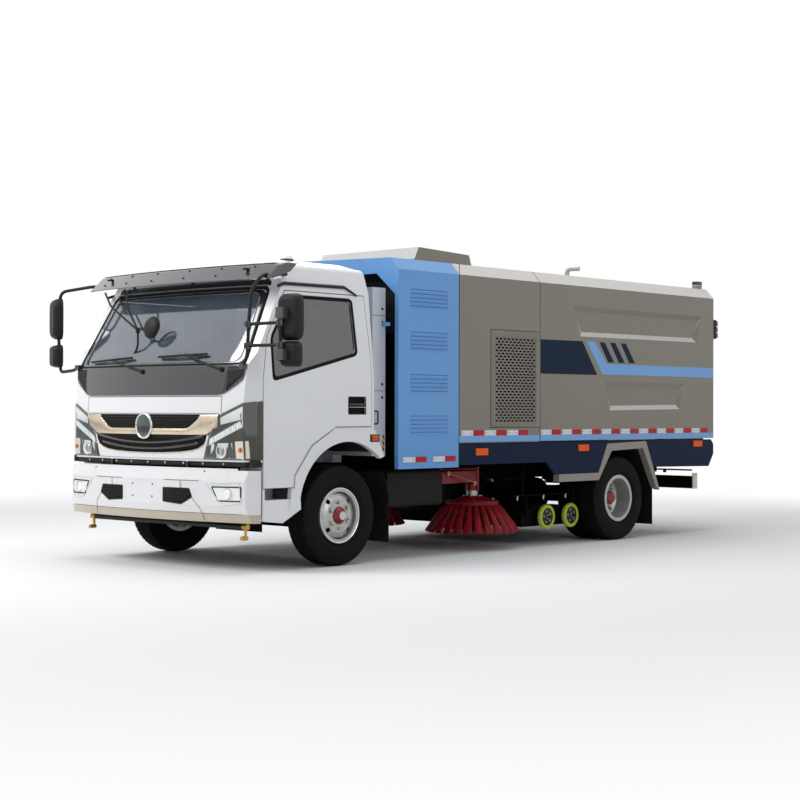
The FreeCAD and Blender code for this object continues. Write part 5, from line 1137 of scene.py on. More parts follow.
def knob(profile: Outline, skin: Skin, along: float, height: float, out: float = 0.0,
         steps: int = 40) -> Shape:
    """A turned piece that points forwards out of a curved front; its profile is of (forwards, radius)."""
    turned = lathe(profile, "Y", MIDDLE, steps)
    forwards = Shape(turned.points * np.array([1, -1, 1]), [rows[:, ::-1] for rows in turned.faces])
    return forwards.moved(*skin.points(np.array(along), np.array(height), out).tolist())


def bolt(radius: float, height: float, axis: str, centre: Sequence[float]) -> Shape:
    """A hexagon head with a chamfered top, over a round washer, pointing along the axis."""
    head = [(0, radius), (height * 0.8, radius), (height, radius * 0.8), (height, 0)]
    washer = [(0, radius * 1.5), (height * 0.2, radius * 1.5), (height * 0.2, 0)]
    return lathe(head, axis, centre, 6) + lathe(washer, axis, centre, 16)


@dataclass(frozen=True)
class Tyre:
    """A road tyre: bulged sidewalls, four rib grooves, and slots across the ribs and shoulders."""

    radius: float = 0.402
    half_width: float = 0.1075
    bead_radius: float = 0.226
    groove: float = 0.011
    lugs: int = 56
    grooves_at: tuple[float, ...] = (-0.045, -0.0155, 0.0155, 0.045)

    def section(self) -> Points:
        """Half ring's outline of (across, radius), from the inner bead over the tread to the outer bead."""
        half = self.half_width
        wall = [
            (0.0790, self.bead_radius - 0.004), (0.0835, self.bead_radius + 0.005), (0.0900, 0.241),
            (0.0960, 0.250), (half - 0.0045, 0.262), (half - 0.0030, 0.2635), (half - 0.0030, 0.2665),
            (half - 0.0008, 0.268), (half, 0.287), (half - 0.0002, 0.310), (half - 0.0025, 0.331),
            (half - 0.0015, 0.334), (half - 0.0045, 0.340), (half - 0.0060, 0.356), (half - 0.0075, 0.372),
            (half - 0.0110, 0.386), (half - 0.0180, 0.395), (0.0835, 0.3975), (0.0755, 0.3990),
            (0.0620, 0.4003),
        ]
        tread = []
        for middle in self.grooves_at:
            top = self.radius - 0.35 * middle**2
            tread += [(middle - 0.0058, top), (middle - 0.0038, top - self.groove),
                      (middle + 0.0038, top - self.groove), (middle + 0.0058, top)]
        return np.array([(-x, r) for x, r in wall] + tread + wall[::-1])

    def ring(self, centre: Sequence[float]) -> Shape:
        """The whole tyre about an axis along X.

        The radius is the outline's, less a slot depth where the angle falls in a slot and the outline's point
        lies on the tread; slots lean with the distance across, so that they run askew.

        Args:
            centre: the wheel's middle.

        Returns:
            The closed surface, open only inside the rim.
        """
        across, radius = self.section()[..., None].transpose(1, 0, 2)
        phase = np.array([0.0, 0.70, 0.76, 0.94])
        turn = (np.arange(self.lugs)[:, None] + phase).ravel() / self.lugs * 2 * np.pi
        slot = np.tile([0.0, 0.0, 1.0, 1.0], self.lugs)
        depth = np.where(abs(across) > 0.052, 0.008, 0.0035) * np.clip((radius - 0.3925) / 0.004, 0, 1)
        angle = turn + 0.35 * across / self.radius
        length = radius - slot * depth
        x = np.broadcast_to(across, angle.shape)
        points = np.stack([x, length * np.cos(angle), length * np.sin(angle)], -1) + np.array(centre)
        return grid(points, closed=True, flip=True)


@dataclass(frozen=True)
class Wheels:
    """Tyres with tread, and what is bolted on the wheels' faces."""

    tyre: Tyre = Tyre()
    front: tuple[float, float, float] = (0.980, -2.195, 0.402)
    rear_y: float = 1.605
    twins: tuple[float, float] = (0.7385, 0.9835)

    def build(self) -> None:
        """Makes every tyre, the front nuts, hub rings and valves, and the rear nuts in their deep dish."""
        x, y, z = self.front
        ring = [(0.096, 0.2225), (0.1005, 0.2205), (0.1015, 0.2165), (0.0995, 0.2125), (0.090, 0.2095),
                (0.074, 0.2075), (0.058, 0.2065)]
        head = [(0.004, 0.0118), (0.018, 0.0118), (0.021, 0.0096), (0.026, 0.0088), (0.0275, 0.006),
                (0.0275, 0)]
        foot = lathe([(0, 0.0145), (0.004, 0.0145), (0.004, 0.012)], "X", MIDDLE, 20)
        nuts = (foot + lathe(head, "X", MIDDLE, 6)).moved(x + 0.083, y, z + 0.104)
        cap = [(0.118, 0.034), (0.1325, 0.0335), (0.1352, 0.031), (0.1352, 0.012), (0.1365, 0.010),
               (0.1367, 0)]
        valve = np.array([(0.052, 0.02, -0.187), (0.066, 0.02, -0.184), (0.085, 0.018, -0.176),
                          (0.098, 0.017, -0.168)]) + np.array(self.front)
        sided((
            ("front_tread", self.tyre.ring(self.front), Finish.TYRE,
             {"slot": "tyre_rubber", "replaces": ("front_tyre_*",), "sharp": 32}),
            ("rim_ring", lathe(ring, "X", self.front, 96), Finish.CHROME, {"thickness": 0.0015}),
            ("wheel_nuts", nuts.ringed("X", 6, (0, y, z), 10), Finish.ZINC, {"bevel": 0.0008}),
            ("hub_cap", lathe(cap, "X", self.front, 40), Finish.WHITE_PLASTIC),
            ("tyre_valve", tube(valve, np.array([0.0055, 0.0048, 0.0040, 0.0042]), 10), Finish.STEEL),
        ), "front_wheel_*", "wheel_silver")
        head = [(0, 0.0145), (0.004, 0.0145), (0.004, 0.0118), (0.020, 0.0118), (0.024, 0.0095), (0.024, 0)]
        nut = lathe(head, "X", MIDDLE, 6).moved(self.twins[1] - 0.055, self.rear_y, z + 0.112)
        sided((
            ("rear_treads", total([self.tyre.ring((at, self.rear_y, z)) for at in self.twins]), Finish.TYRE,
             {"slot": "tyre_rubber", "replaces": ("rear_tyres_*",), "sharp": 32}),
            ("rear_nuts", nut.ringed("X", 6, (0, self.rear_y, z), 15), Finish.ZINC, {"bevel": 0.0008}),
        ), "rear_wheels_*", "wheel_silver")


@dataclass(frozen=True)
class SideGraphics:
    """Painted stripes and reflective tape, as thin films on the flat sides."""

    film: float = 0.0012
    period: float = 0.31
    bay_front: float = -0.797
    hopper_front: float = 0.333
    hopper_back: float = 3.220

    def slab(self, outline: Outline, base: float = HALF_WIDTH) -> Shape:
        """A film with an outline in the side's plane."""
        return plate(outline, base + 0.0002, base + self.film)

    def build(self) -> None:
        """Makes the navy field with three bars, the light band that steps down, and the tapes."""
        back = self.hopper_back
        bar = np.array([(1.234, 1.891), (1.318, 1.891), (1.474, 1.704), (1.376, 1.704)])
        navy = [self.slab([(0.334, 1.888), (0.965, 1.892), (1.200, 1.580), (0.334, 1.578)])]
        navy += [self.slab(bar + np.array([0.173 * index, 0.0])) for index in range(3)]
        band = self.slab([(1.032, 1.893), (1.164, 1.893), (1.350, 1.687), (back, 1.687), (back, 1.587),
                          (1.283, 1.587)])
        low = self.slab(oblong(self.hopper_front, back, 0.970, 1.020))
        bay = self.slab(oblong(self.bay_front + 0.004, 0.318, 0.970, 1.020))
        sided((
            ("navy_stripes", total(navy), Finish.STRIPE_NAVY),
            ("light_stripes", band + low, Finish.STRIPE_BLUE),
            ("bay_stripe", bay, Finish.STRIPE_BLUE, {"body": "chassis"}),
        ), "hopper", "body_paint")
        self.tape("chassis_tape", "chassis", (self.bay_front + 0.034, 0.316), (1.022, 1.069))
        self.tape("hopper_tape", "hopper", (0.342, back), (1.022, 1.069))
        for index, start in enumerate((-1.510, -1.138)):
            self.tape(f"cowl_tape_{index}", "chassis", (start, start + 0.315), (0.809, 0.853),
                      HALF_WIDTH + 0.005)

    def tape(self, name: str, body: str, run: tuple[float, float], height: tuple[float, float],
             base: float = HALF_WIDTH) -> None:
        """One length of white and red tape with its rivets.

        Args:
            name: start of the pieces' names.
            body: the body they ride on.
            run: its front and rear end.
            height: its low and high edge.
            base: how far out the panel lies.
        """
        half = self.period / 2
        firsts = run[0] + np.arange(int((run[1] - run[0]) / half)) * half
        face = base + self.film
        dot = lathe([(base, 0.0052), (face + 0.0012, 0.0045), (face + 0.0016, 0.0)], "X", MIDDLE, 12)
        marks = np.concatenate([firsts[::2] + 0.018, firsts[::2] + half - 0.022])
        rows = [(f"{name}_rivets", dot.repeated([(0.0, at, sum(height) / 2) for at in marks]), Finish.SEAL)]
        for colour, finish, first, gap in (("white", Finish.TAPE_WHITE, 0, 0.001),
                                           ("red", Finish.TAPE_RED, 1, 0.016)):
            one = self.slab(oblong(0.0, half - gap, *height), base)
            places = [(0.0, at, 0.0) for at in firsts[first::2]]
            rows.append((f"{name}_{colour}", one.repeated(places), finish))
        sided(rows, body, "body_paint")


@dataclass(frozen=True)
class MeshDoor:
    """Service door: a folded frame round a sheet punched with staggered slots, with a turn lock."""

    front: float = -0.372
    back: float = 0.308
    low: float = 1.095
    high: float = 1.949
    sheet_front: float = -0.321
    sheet_back: float = 0.257
    sheet_low: float = 1.137
    sheet_high: float = 1.886
    face: float = 1.1245
    columns: int = 10
    rows: int = 29
    slot_long: float = 0.041
    slot_high: float = 0.0150

    def cells(self) -> Shape:
        """The punched sheet.

        Each cell is a rectangle with a rounded slot; its eight faces join eight points of the rectangle's
        edge to eight of the slot's. Every other row is shifted by half a cell, and its end cells stretch to
        the sheet's edge.

        Returns:
            The open sheet, facing outwards.
        """
        pitch = (self.sheet_back - self.sheet_front) / (self.columns + 0.5)
        rise = (self.sheet_high - self.sheet_low) / self.rows
        row, column = np.meshgrid(np.arange(self.rows), np.arange(self.columns), indexing="ij")
        left = self.sheet_front + (column + (row % 2) * 0.5) * pitch
        middle, right = left + pitch / 2, left + pitch
        left = np.where(column == 0, self.sheet_front, left)
        right = np.where(column == self.columns - 1, self.sheet_back, right)
        bottom = self.sheet_low + row * rise
        centre, top = bottom + rise / 2, bottom + rise
        rim_y = np.stack([left, middle, right, right, right, middle, left, left], -1)
        rim_z = np.stack([bottom, bottom, bottom, centre, top, top, top, centre], -1)
        along = np.array([-0.75, 0, 0.75, 1.0, 0.75, 0, -0.75, -1.0])
        hole_y = middle[..., None] + along * self.slot_long / 2
        hole_z = centre[..., None] + np.array([-1, -1, -1, 0, 1, 1, 1, 0]) * self.slot_high / 2
        y = np.concatenate([rim_y, hole_y], -1).reshape(-1, 16)
        z = np.concatenate([rim_z, hole_z], -1).reshape(-1, 16)
        points = np.stack([np.full(y.shape, self.face), y, z], -1).reshape(-1, 3)
        return Shape(points, [rings(8, 1, len(y))])

    def frame(self) -> Shape:
        """The folded frame: a raised ring with a step down to the sheet, swept round the door's edge."""
        depth, x = np.array([(0.0, 1.1165), (0.0, 1.1235), (0.003, 1.1258), (0.036, 1.1258), (0.040, 1.1248),
                             (0.046, 1.1248)]).T
        share = depth / depth[-1]
        front = self.front + share * (self.sheet_front - self.front)
        back = self.back - share * (self.back - self.sheet_back)
        low = self.low + share * (self.sheet_low - self.low)
        high = self.high - share * (self.high - self.sheet_high)
        y, z = np.stack([front, back, back, front], 1), np.stack([low, low, high, high], 1)
        return grid(np.stack([np.broadcast_to(x[:, None], y.shape), y, z], -1), closed=True)

    def build(self) -> None:
        """Makes the doors of both sides, with their locks."""
        front, back, low, high = self.front, self.back, self.low, self.high
        bars = [block((1.0905, y_low, z_low), (1.117, y_high, z_high)) for y_low, y_high, z_low, z_high in (
            (front + 0.004, front + 0.030, low + 0.004, high - 0.004),
            (back - 0.030, back - 0.004, low + 0.004, high - 0.004),
            (front + 0.030, back - 0.030, low + 0.004, low + 0.030),
            (front + 0.030, back - 0.030, high - 0.030, high - 0.004),
        )]
        shade = block((1.0960, self.sheet_front, self.sheet_low), (1.0972, self.sheet_back, self.sheet_high))
        lock = [(1.1235, 0.017), (1.1252, 0.016), (1.1256, 0.012), (1.1256, 0.0)]
        sided((
            ("punched_sheet", self.cells(), Finish.DOOR, {"thickness": 0.002, "replaces": ("mesh_door_*",)}),
            ("door_frame", total([self.frame(), *bars]), Finish.DOOR, {"bevel": 0.0015}),
            ("mesh_shade", shade, Finish.SEAL),
            ("turn_lock", lathe(lock, "X", (0, 0.276, 1.605), 32), Finish.STEEL),
            ("lock_slot", block((1.1254, 0.2735, 1.599), (1.1259, 0.2785, 1.611)), Finish.SEAL,
             {"bevel": 0.0001}),
        ), "mesh_door_*", "body_paint")


@dataclass(frozen=True)
class Mirrors:
    """Outside mirrors: shells that taper to the back, with heated glass, on bent tubes with clamps."""

    tube_radius: float = 0.0135
    arm_radius: float = 0.0125
    stay_radius: float = 0.0085
    clamp_radius: float = 0.022
    power: float = 0.42
    steps: int = 64
    left_tube: Outline = (
        (1.035, -2.745, 2.290), (1.090, -3.045, 2.268), (1.098, -3.160, 2.150), (1.100, -3.192, 1.883),
        (1.092, -3.195, 1.640), (1.040, -3.200, 1.565),
    )
    right_tube: Outline = (
        (-1.035, -2.800, 2.290), (-1.150, -2.950, 2.290), (-1.440, -3.075, 2.250), (-1.470, -3.085, 2.000),
        (-1.440, -3.075, 1.560), (-1.150, -3.150, 1.570), (-1.040, -3.180, 1.590),
    )
    housings: tuple = (
        ("left", ((1.428, -3.052, 1.932), (0.200, 0.350), 15.0),
         ((1.434, -3.052, 1.655), (0.168, 0.192), 15.0)),
        ("right", ((-1.500, -3.040, 2.020), (0.240, 0.355), -25.0),
         ((-1.500, -3.040, 1.700), (0.230, 0.196), -25.0)),
    )

    def oval(self, size: Sequence[float], share: float, rows: Outline, flip: bool) -> Shape:
        """Superellipses across and up, one for each row of (size, size, depth), joined to a surface."""
        angle = np.linspace(0, 2 * np.pi, self.steps, endpoint=False)
        across, up = (np.sign(v) * np.abs(v) ** self.power * full * share
                      for v, full in zip((np.cos(angle), np.sin(angle)), size))
        points = [np.stack([across * s, np.full(self.steps, depth), up * s], -1) for s, depth in rows]
        return grid(np.stack(points), closed=True, flip=flip)

    def shell(self, centre: Sequence[float], size: Sequence[float], turn: float) -> Shape:
        """A rounded shell, whose size shrinks along the depth as a quarter ellipse, with a folded rim."""
        depth = np.sin(np.linspace(0, np.pi / 2, 12))
        shrink = 1.0 - 0.30 * (1.0 - np.sqrt(1.0 - depth**2 * 0.96))
        shrink[-1] *= 0.92
        skin = self.oval(size, 0.5, np.stack([shrink, -0.075 * depth], 1), False)
        skin.faces += [(np.arange(self.steps) + 11 * self.steps)[::-1][None]]
        rim = self.oval(size, 0.5,
                        ((1.0, 0.0), (0.992, 0.006), (0.965, 0.008), (0.945, 0.005), (0.94, 0.001)), True)
        return (skin + rim).turned("Z", turn).moved(*centre)

    def glass(self, centre: Sequence[float], size: Sequence[float], turn: float) -> Shape:
        """The mirror's slightly domed glass just inside the rim, seen from behind."""
        rows = [(s, 0.001 + 0.0015 * (1 - s**2)) for s in (1.0, 0.8, 0.5, 0.2, 0.02)]
        return self.oval(size, 0.47, rows, True).turned("Z", turn).moved(*centre)

    def bar(self, knots: Outline, radius: float) -> Shape:
        """A bent tube."""
        return tube(smooth_path(knots, bend=0.06), radius, 20)

    def clamp(self, place: Sequence[float], long: float = 0.050) -> Shape:
        """A two-part clamp round an upright tube, with its screw."""
        x, y, z = place
        inner, outer, half = self.tube_radius, self.clamp_radius, long / 2
        ring = lathe([(-half, inner), (-half, outer), (half, outer), (half, inner)], "Z", place, 24)
        lug = block((x - 0.009, y - 0.036, z - long * 0.4), (x + 0.009, y - 0.012, z + long * 0.4))
        screw = knob([(0.0, 0.007), (0.006, 0.007), (0.008, 0.005), (0.008, 0.0)], CabFront(), 0.0, 1.0,
                     steps=6)
        middle = Shape(screw.points - screw.points.mean(0), screw.faces)
        return ring + lug + middle.turned("Z", 90).moved(x + 0.012, y - 0.026, z)

    def build(self) -> None:
        """Makes both mirror sets and the front mirror, and hides the plain ones."""
        for side, *places in self.housings:
            alone((
                (f"mirror_shells_{side}", total([self.shell(*place) for place in places]), Finish.BLACK,
                 {"replaces": (f"mirror_{side}",), "sharp": 50}),
                (f"mirror_panes_{side}", total([self.glass(*place) for place in places]), Finish.MIRROR),
            ), "cab", "black_plastic")
        alone((*self.left_arms(), *self.right_arms(), *self.front_mirror()), "cab", "black_plastic")

    def left_arms(self) -> list[tuple]:
        """The driver's bent tube, the pole behind the mirrors, and the two arms between them."""
        ends = (((1.100, -3.192, 1.883), (1.250, -3.170, 1.886), (1.405, -3.150, 1.888)),
                ((1.096, -3.194, 1.722), (1.250, -3.170, 1.722), (1.405, -3.150, 1.722)))
        pole = ((1.405, -3.150, 1.600), (1.405, -3.150, 2.000))
        arms = [self.bar(self.left_tube, self.tube_radius),
                *(self.bar(run, self.arm_radius) for run in (pole, *ends))]
        clamps = [self.clamp(run[at]) for at in (0, 2) for run in ends]
        mounts = [block((1.380, -3.178, z - 0.042), (1.455, -3.105, z + 0.042)) for z in (1.958, 1.650)]
        foot = block((1.015, -3.215, 1.545), (1.062, -3.165, 1.590))
        return [("mirror_tubes_left", total(arms), Finish.BLACK),
                ("mirror_clamps_left", total([*clamps, *mounts, foot]), Finish.BEZEL, {"bevel": 0.002})]

    def right_arms(self) -> list[tuple]:
        """The passenger's loop, with clamps that hold both mirrors."""
        x, y = -1.468, -3.083
        levels = (2.060, 1.700)
        clamps = [self.clamp((x, y, z), 0.06) for z in levels]
        mounts = [block((x - 0.05, y, z - 0.020), (x, y + 0.035, z + 0.020)) for z in levels]
        foot = block((-1.065, -3.200, 1.570), (-1.015, -3.145, 1.612))
        return [("mirror_tubes_right", self.bar(self.right_tube, self.tube_radius), Finish.BLACK),
                ("mirror_clamps_right", total([*clamps, *mounts, foot]), Finish.BEZEL, {"bevel": 0.002})]

    def front_mirror(self) -> list[tuple]:
        """The small round mirror before the glass, on a stay of thin tubes from the visor."""
        hub, centre = (-0.245, -3.180, 1.879), (-0.065, -3.215, 1.904)
        stays = [self.bar(run, self.stay_radius) for run in (
            ((-0.500, -3.080, 2.215), (-0.420, -3.165, 2.100), hub),
            ((-0.860, -3.040, 2.215), (-0.640, -3.150, 2.090), hub),
            (hub, (-0.228, -3.190, 1.740), (-0.330, -3.165, 1.672)),
            (hub, (-0.150, -3.195, 1.892), (-0.085, -3.195, 1.904)),
        )]
        bowl = [(0.0, 0.0), (0.002, 0.040), (0.012, 0.072), (0.030, 0.090), (0.040, 0.092), (0.044, 0.090),
                (0.044, 0.084), (0.040, 0.083)]
        face = [(0.038, 0.084), (0.044, 0.060), (0.048, 0.030), (0.050, 0.0)]
        back, pane = (lathe(profile, "Y", MIDDLE, 48).turned("X", -12).moved(*centre)
                      for profile in (bowl, face))
        knuckle = lathe([(-0.022, 0.0), (-0.022, 0.017), (0.022, 0.017), (0.022, 0.0)], "Z", hub, 20)
        return [("front_mirror_stays", total(stays) + knuckle, Finish.BLACK),
                ("front_mirror_shell", back, Finish.BLACK, {"sharp": 50}),
                ("front_mirror_glass", pane, Finish.MIRROR)]


@dataclass(frozen=True)
class Screen:
    """Round the windscreen: a painted shade band above it, rubber seal with a printed border, the smoked
    panel below and the wipers.
    """

    skin: CabFront = CabFront()
    outer: Outline = ((-1.050, 1.572), (1.050, 1.572), (0.962, 2.203), (-0.962, 2.203))
    inner: Outline = ((-0.970, 1.610), (0.970, 1.610), (0.892, 2.148), (-0.892, 2.148))

    def build(self) -> None:
        """Makes the painted shade band under the visor, the rubber ring, the printed border inside it, the
        smoked panel and the wipers.
        """
        outer, inner = rounded(self.outer, 0.07, 8, 40), rounded(self.inner, 0.08, 8, 40)
        middle = rounded(inset(self.outer, 0.024), 0.06, 8, 40)
        # Painted shade: a gloss black band on the cab's header above the seal, where the visor's shade falls.
        header = ribbon(self.skin, (-0.955, -0.900, 0.900, 0.955), (2.225, 2.290, 2.290, 2.225), [2.2025] * 4,
                        0.0012, 60)
        knots, foot = both_ways((0.0, 0.800, 0.857, 0.900, 0.980, 1.030, 1.044, 1.050),
                                (1.353, 1.353, 1.364, 1.385, 1.430, 1.468, 1.500, 1.551))
        face = ribbon(self.skin, knots, [1.582] * len(knots), foot, 0.0085, 90, 7, 0.002)
        joint = seam(self.skin, [(0.857, 1.368), (0.887, 1.548)], 0.004, 0.0105)
        end = ribbon(self.skin, (0.880, 0.892, 1.035, 1.040), (1.400, 1.570, 1.570, 1.545),
                     (1.385, 1.392, 1.500, 1.520), 0.0110)
        arms, lips = self.wipers()
        alone((
            ("screen_header", header, Finish.GLOSS_BLACK, {"thickness": 0.001}),
            ("screen_seal", collar(self.skin, outer, middle, 0.001, 0.006, 7), Finish.SEAL,
             {"slot": "black_plastic", "thickness": 0.002}),
            ("screen_border", collar(self.skin, middle, inner, 0.0015), Finish.GLOSS_BLACK,
             {"slot": "window_glass", "thickness": 0.0015}),
            ("smoked_panel", face, Finish.GLOSS_BLACK,
             {"thickness": 0.008, "bevel": 0.002, "replaces": ("front_panel",)}),
            ("panel_joints", joint.both(), Finish.SEAL),
            ("panel_ends", end.both(), Finish.BLACK, {"thickness": 0.001}),
            ("wiper_arms", arms, Finish.BLACK, {"slot": "black_plastic", "replaces": ("wipers",)}),
            ("wiper_lips", lips, Finish.SEAL, {"slot": "black_plastic"}),
        ), "cab", "dark_gloss")

    def wipers(self) -> tuple[Shape, Shape]:
        """Two wipers: a cap on the pivot, a tapered arm, and a blade with its lip against the glass."""
        sets = (((-0.063, 1.542), (-0.520, 1.648), (-0.843, 1.632), (-0.260, 1.657)),
                ((0.826, 1.548), (0.398, 1.674), (0.087, 1.656), (0.623, 1.670)))
        cap = [(0, 0.020), (0.014, 0.020), (0.024, 0.015), (0.028, 0.008), (0.028, 0)]
        line = np.linspace(0, 1, 14)[:, None]
        arch = np.sin(np.pi * line[:, 0])
        arms, lips = [], []
        for pivot, joint, start, end in sets:
            run = (np.array(pivot) * (1 - line) + np.array(joint) * line).T
            span = (np.array(start) * (1 - line) + np.array(end) * line).T
            arms += [tube(self.skin.points(*run, 0.020 + 0.016 * arch), np.linspace(0.0105, 0.0070, 14), 12),
                     knob(cap, self.skin, *pivot, 0.006, 28),
                     tube(self.skin.points(*span, 0.016 + 0.010 * arch), 0.0095, 8)]
            lips.append(tube(self.skin.points(*span, 0.0060), 0.0045, 6))
        return total(arms), total(lips)


@dataclass(frozen=True)
class Visor:
    """The smoked visor over the windscreen: a bent blade whose ends turn back, with two rows of screws."""

    skin: VisorFront = VisorFront()
    reach: float = 1.085
    corner: float = 0.045
    low: float = 2.242
    high: float = 2.371

    def build(self) -> None:
        """Makes the blade, its screws and its stays, and hides the plain one."""
        turn = np.linspace(0, np.pi / 2, 8)[1:]
        x = np.concatenate([np.linspace(0, self.reach, 40), self.reach + self.corner * np.sin(turn),
                            [self.reach + self.corner] * 4])
        back = np.concatenate([np.zeros(40), self.corner * (1 - np.cos(turn)),
                               self.corner + np.array([0.02, 0.05, 0.08, 0.11])])
        across, behind = np.concatenate([-x[:0:-1], x]), np.concatenate([back[:0:-1], back])
        low = self.low + np.clip(behind - self.corner, 0, None) * 0.55
        height = low + (self.high - low) * np.linspace(0, 1, 12)[:, None]
        points = self.skin.points(np.broadcast_to(across, height.shape), height, 0.001)
        points[..., 1] += behind
        screw = [(0, 0.011), (0.003, 0.011), (0.005, 0.008), (0.005, 0.0)]
        heads = [knob(screw, self.skin, at, high, 0.001, 20) for high in (2.280, 2.341)
                 for at in (-0.90, -0.56, -0.20, 0.20, 0.56, 0.90)]
        stays = [block((at - 0.012, -3.020, 2.318), (at + 0.012, -2.790, 2.332)) for at in (-0.85, 0.0, 0.85)]
        alone((
            ("visor_blade", grid(points).looking(FORWARDS), Finish.VISOR,
             {"thickness": 0.007, "bevel": 0.002, "replaces": ("sun_visor",), "sharp": 40}),
            ("visor_rail", level(self.skin, 1.06, 2.365, 2.373, 0.0035, 0.002), Finish.BLACK,
             {"thickness": 0.004}),
            ("visor_screws", total(heads), Finish.BLACK),
            ("visor_stays", total(stays), Finish.BLACK, {"bevel": 0.002}),
        ), "cab", "dark_gloss")


@dataclass(frozen=True)
class Nose:
    """Everything on the cab's front face below the smoked panel: grille, wing band, disc and lamps."""

    skin: CabFront = CabFront()

    def build(self) -> None:
        """Makes the pieces of the front face."""
        alone((*self.grille(), *self.wing(), *self.lower(), *self.strip()), "cab", "grille_plastic")
        lines = [seam(self.skin, [(-0.835, 1.343), (0.835, 1.343)], 0.004, 0.0012, 60),
                 seam(self.skin, [(0.835, 1.215), (0.835, 1.343)], 0.004, 0.0012).both(),
                 seam(self.skin, [(-0.815, 1.212), (0.815, 1.212)], 0.003, 0.0012, 60)]
        piece("nose_joints", total(lines), Finish.SEAL, "cab", "cab_paint")
        self.headlamps()

    def grille(self) -> list[tuple]:
        """The upper mesh: fine ribs over four rows, behind the band."""
        across = np.arange(-0.630, 0.6301, 0.0105)
        foot = np.interp(np.abs(across), (0, 0.48, 0.605, 0.63), (1.096, 1.100, 1.172, 1.198))
        offsets = self.skin.points(across, np.full(across.shape, 1.13), 0.001) * np.array([1, 1, 0])
        ribs = block((-0.0019, -0.009, 0.0), (0.0019, 0.0, 1.0)).repeated(offsets)
        ribs.points[:, 2] = np.where(ribs.points[:, 2] > 0.5, 1.201, np.repeat(foot, 8))
        rows = [ribbon(self.skin, (-0.63, 0.0, 0.63), [z + 0.003] * 3, [z - 0.003] * 3, 0.0085, 60, 2)
                for z in (1.184, 1.160, 1.136, 1.112)]
        return [("grille_back", level(self.skin, 0.700, 1.085, 1.203, 0.0028), Finish.SEAL,
                 {"thickness": 0.0008}),
                ("grille_ribs", ribs, Finish.DARK_GREY),
                ("grille_rows", total(rows), Finish.BLACK, {"thickness": 0.004})]

    def wing(self) -> list[tuple]:
        """The bright band under the mesh, which sweeps up at both ends, with a plain disc."""
        knots, high, low = both_ways(
            (0.0, 0.440, 0.482, 0.520, 0.585, 0.605, 0.625, 0.660, 0.697, 0.750, 0.800, 0.812, 0.815),
            (1.098, 1.098, 1.102, 1.118, 1.162, 1.180, 1.206, 1.207, 1.207, 1.207, 1.207, 1.205, 1.200),
            (1.043, 1.043, 1.043, 1.043, 1.043, 1.043, 1.043, 1.043, 1.050, 1.080, 1.109, 1.150, 1.182))
        band = ribbon(self.skin, knots, high, low, 0.0060, 110, 11, 0.0085)
        rim = [(0.0, 0.106), (0.012, 0.106), (0.020, 0.101), (0.0225, 0.095), (0.020, 0.089), (0.015, 0.087)]
        dish = [(0.014, 0.088), (0.0165, 0.070), (0.0185, 0.045), (0.0195, 0.0)]
        return [("wing_band", band, Finish.WARM_CHROME, {"thickness": 0.005}),
                ("centre_rim", knob(rim, self.skin, -0.010, 1.113, 0.002, 72), Finish.CHROME),
                ("centre_dish", knob(dish, self.skin, -0.010, 1.113, 0.002, 72), Finish.GLOSS_BLACK)]

    def lower(self) -> list[tuple]:
        """The black field under the band with two bars, a bright line at its foot, and the white nose."""
        knots, foot = both_ways((0.0, 0.200, 0.400, 0.525, 0.600, 0.655, 0.678, 0.690, 0.705),
                                (0.901, 0.903, 0.911, 0.924, 0.941, 0.968, 1.000, 1.040, 1.046))
        nose = ribbon(self.skin, knots, [z + 0.002 for z in foot], [0.857] * len(knots), 0.0034, 80)
        field = ribbon(self.skin, knots[1:-1], [1.047] * (len(knots) - 2), foot[1:-1], 0.0030, 80)
        high, low = [z + 0.005 for z in foot[3:-3]], [z - 0.006 for z in foot[3:-3]]
        line = ribbon(self.skin, knots[3:-3], high, low, 0.0050, 80, 5, 0.004)
        bars = self.bowed(0.972, 0.655, 0.020) + self.bowed(0.926, 0.600, 0.020)
        lines = self.bowed(0.988, 0.650, 0.004, 0.0105) + self.bowed(0.942, 0.595, 0.004, 0.0105)
        return [("nose_white", nose, Finish.CAB, {"slot": "cab_paint", "thickness": 0.001}),
                ("lower_field", field, Finish.SEAL, {"thickness": 0.0008}),
                ("lower_bars", bars, Finish.BEZEL, {"thickness": 0.004}),
                ("bar_lines", lines, Finish.CHROME, {"thickness": 0.002}),
                ("lower_trim", line, Finish.WARM_CHROME, {"thickness": 0.004})]

    def strip(self) -> list[tuple]:
        """The black strip between nose and bumper, with its screws."""
        skin = BehindFront()
        strip = ribbon(skin, (-1.100, 0.0, 1.100), [0.860] * 3, [0.804] * 3, 0.0, 80)
        screws = [knob([(0, 0.009), (0.004, 0.009), (0.006, 0.006), (0.006, 0)], skin, at, 0.826, 0.0, 16)
                  for at in np.linspace(-0.84, 0.84, 9)]
        ends = block((1.085, -3.165, 0.806), (1.118, -3.060, 0.860)).both()
        return [("nose_strip_ends", ends, Finish.BLACK, {"bevel": 0.003}),
                ("nose_strip", strip, Finish.BLACK, {"thickness": 0.004}),
                ("nose_screws", total(screws), Finish.ZINC)]

    def bowed(self, low: float, reach: float, high: float, out: float = 0.0045) -> Shape:
        """A bar whose height rises with the square of the distance from the middle."""
        across = np.linspace(-reach, reach, 61)
        rise = low + 0.055 * (across / 0.65) ** 2
        return ribbon(self.skin, across, rise + high, rise, out, 61, 5, 0.005)

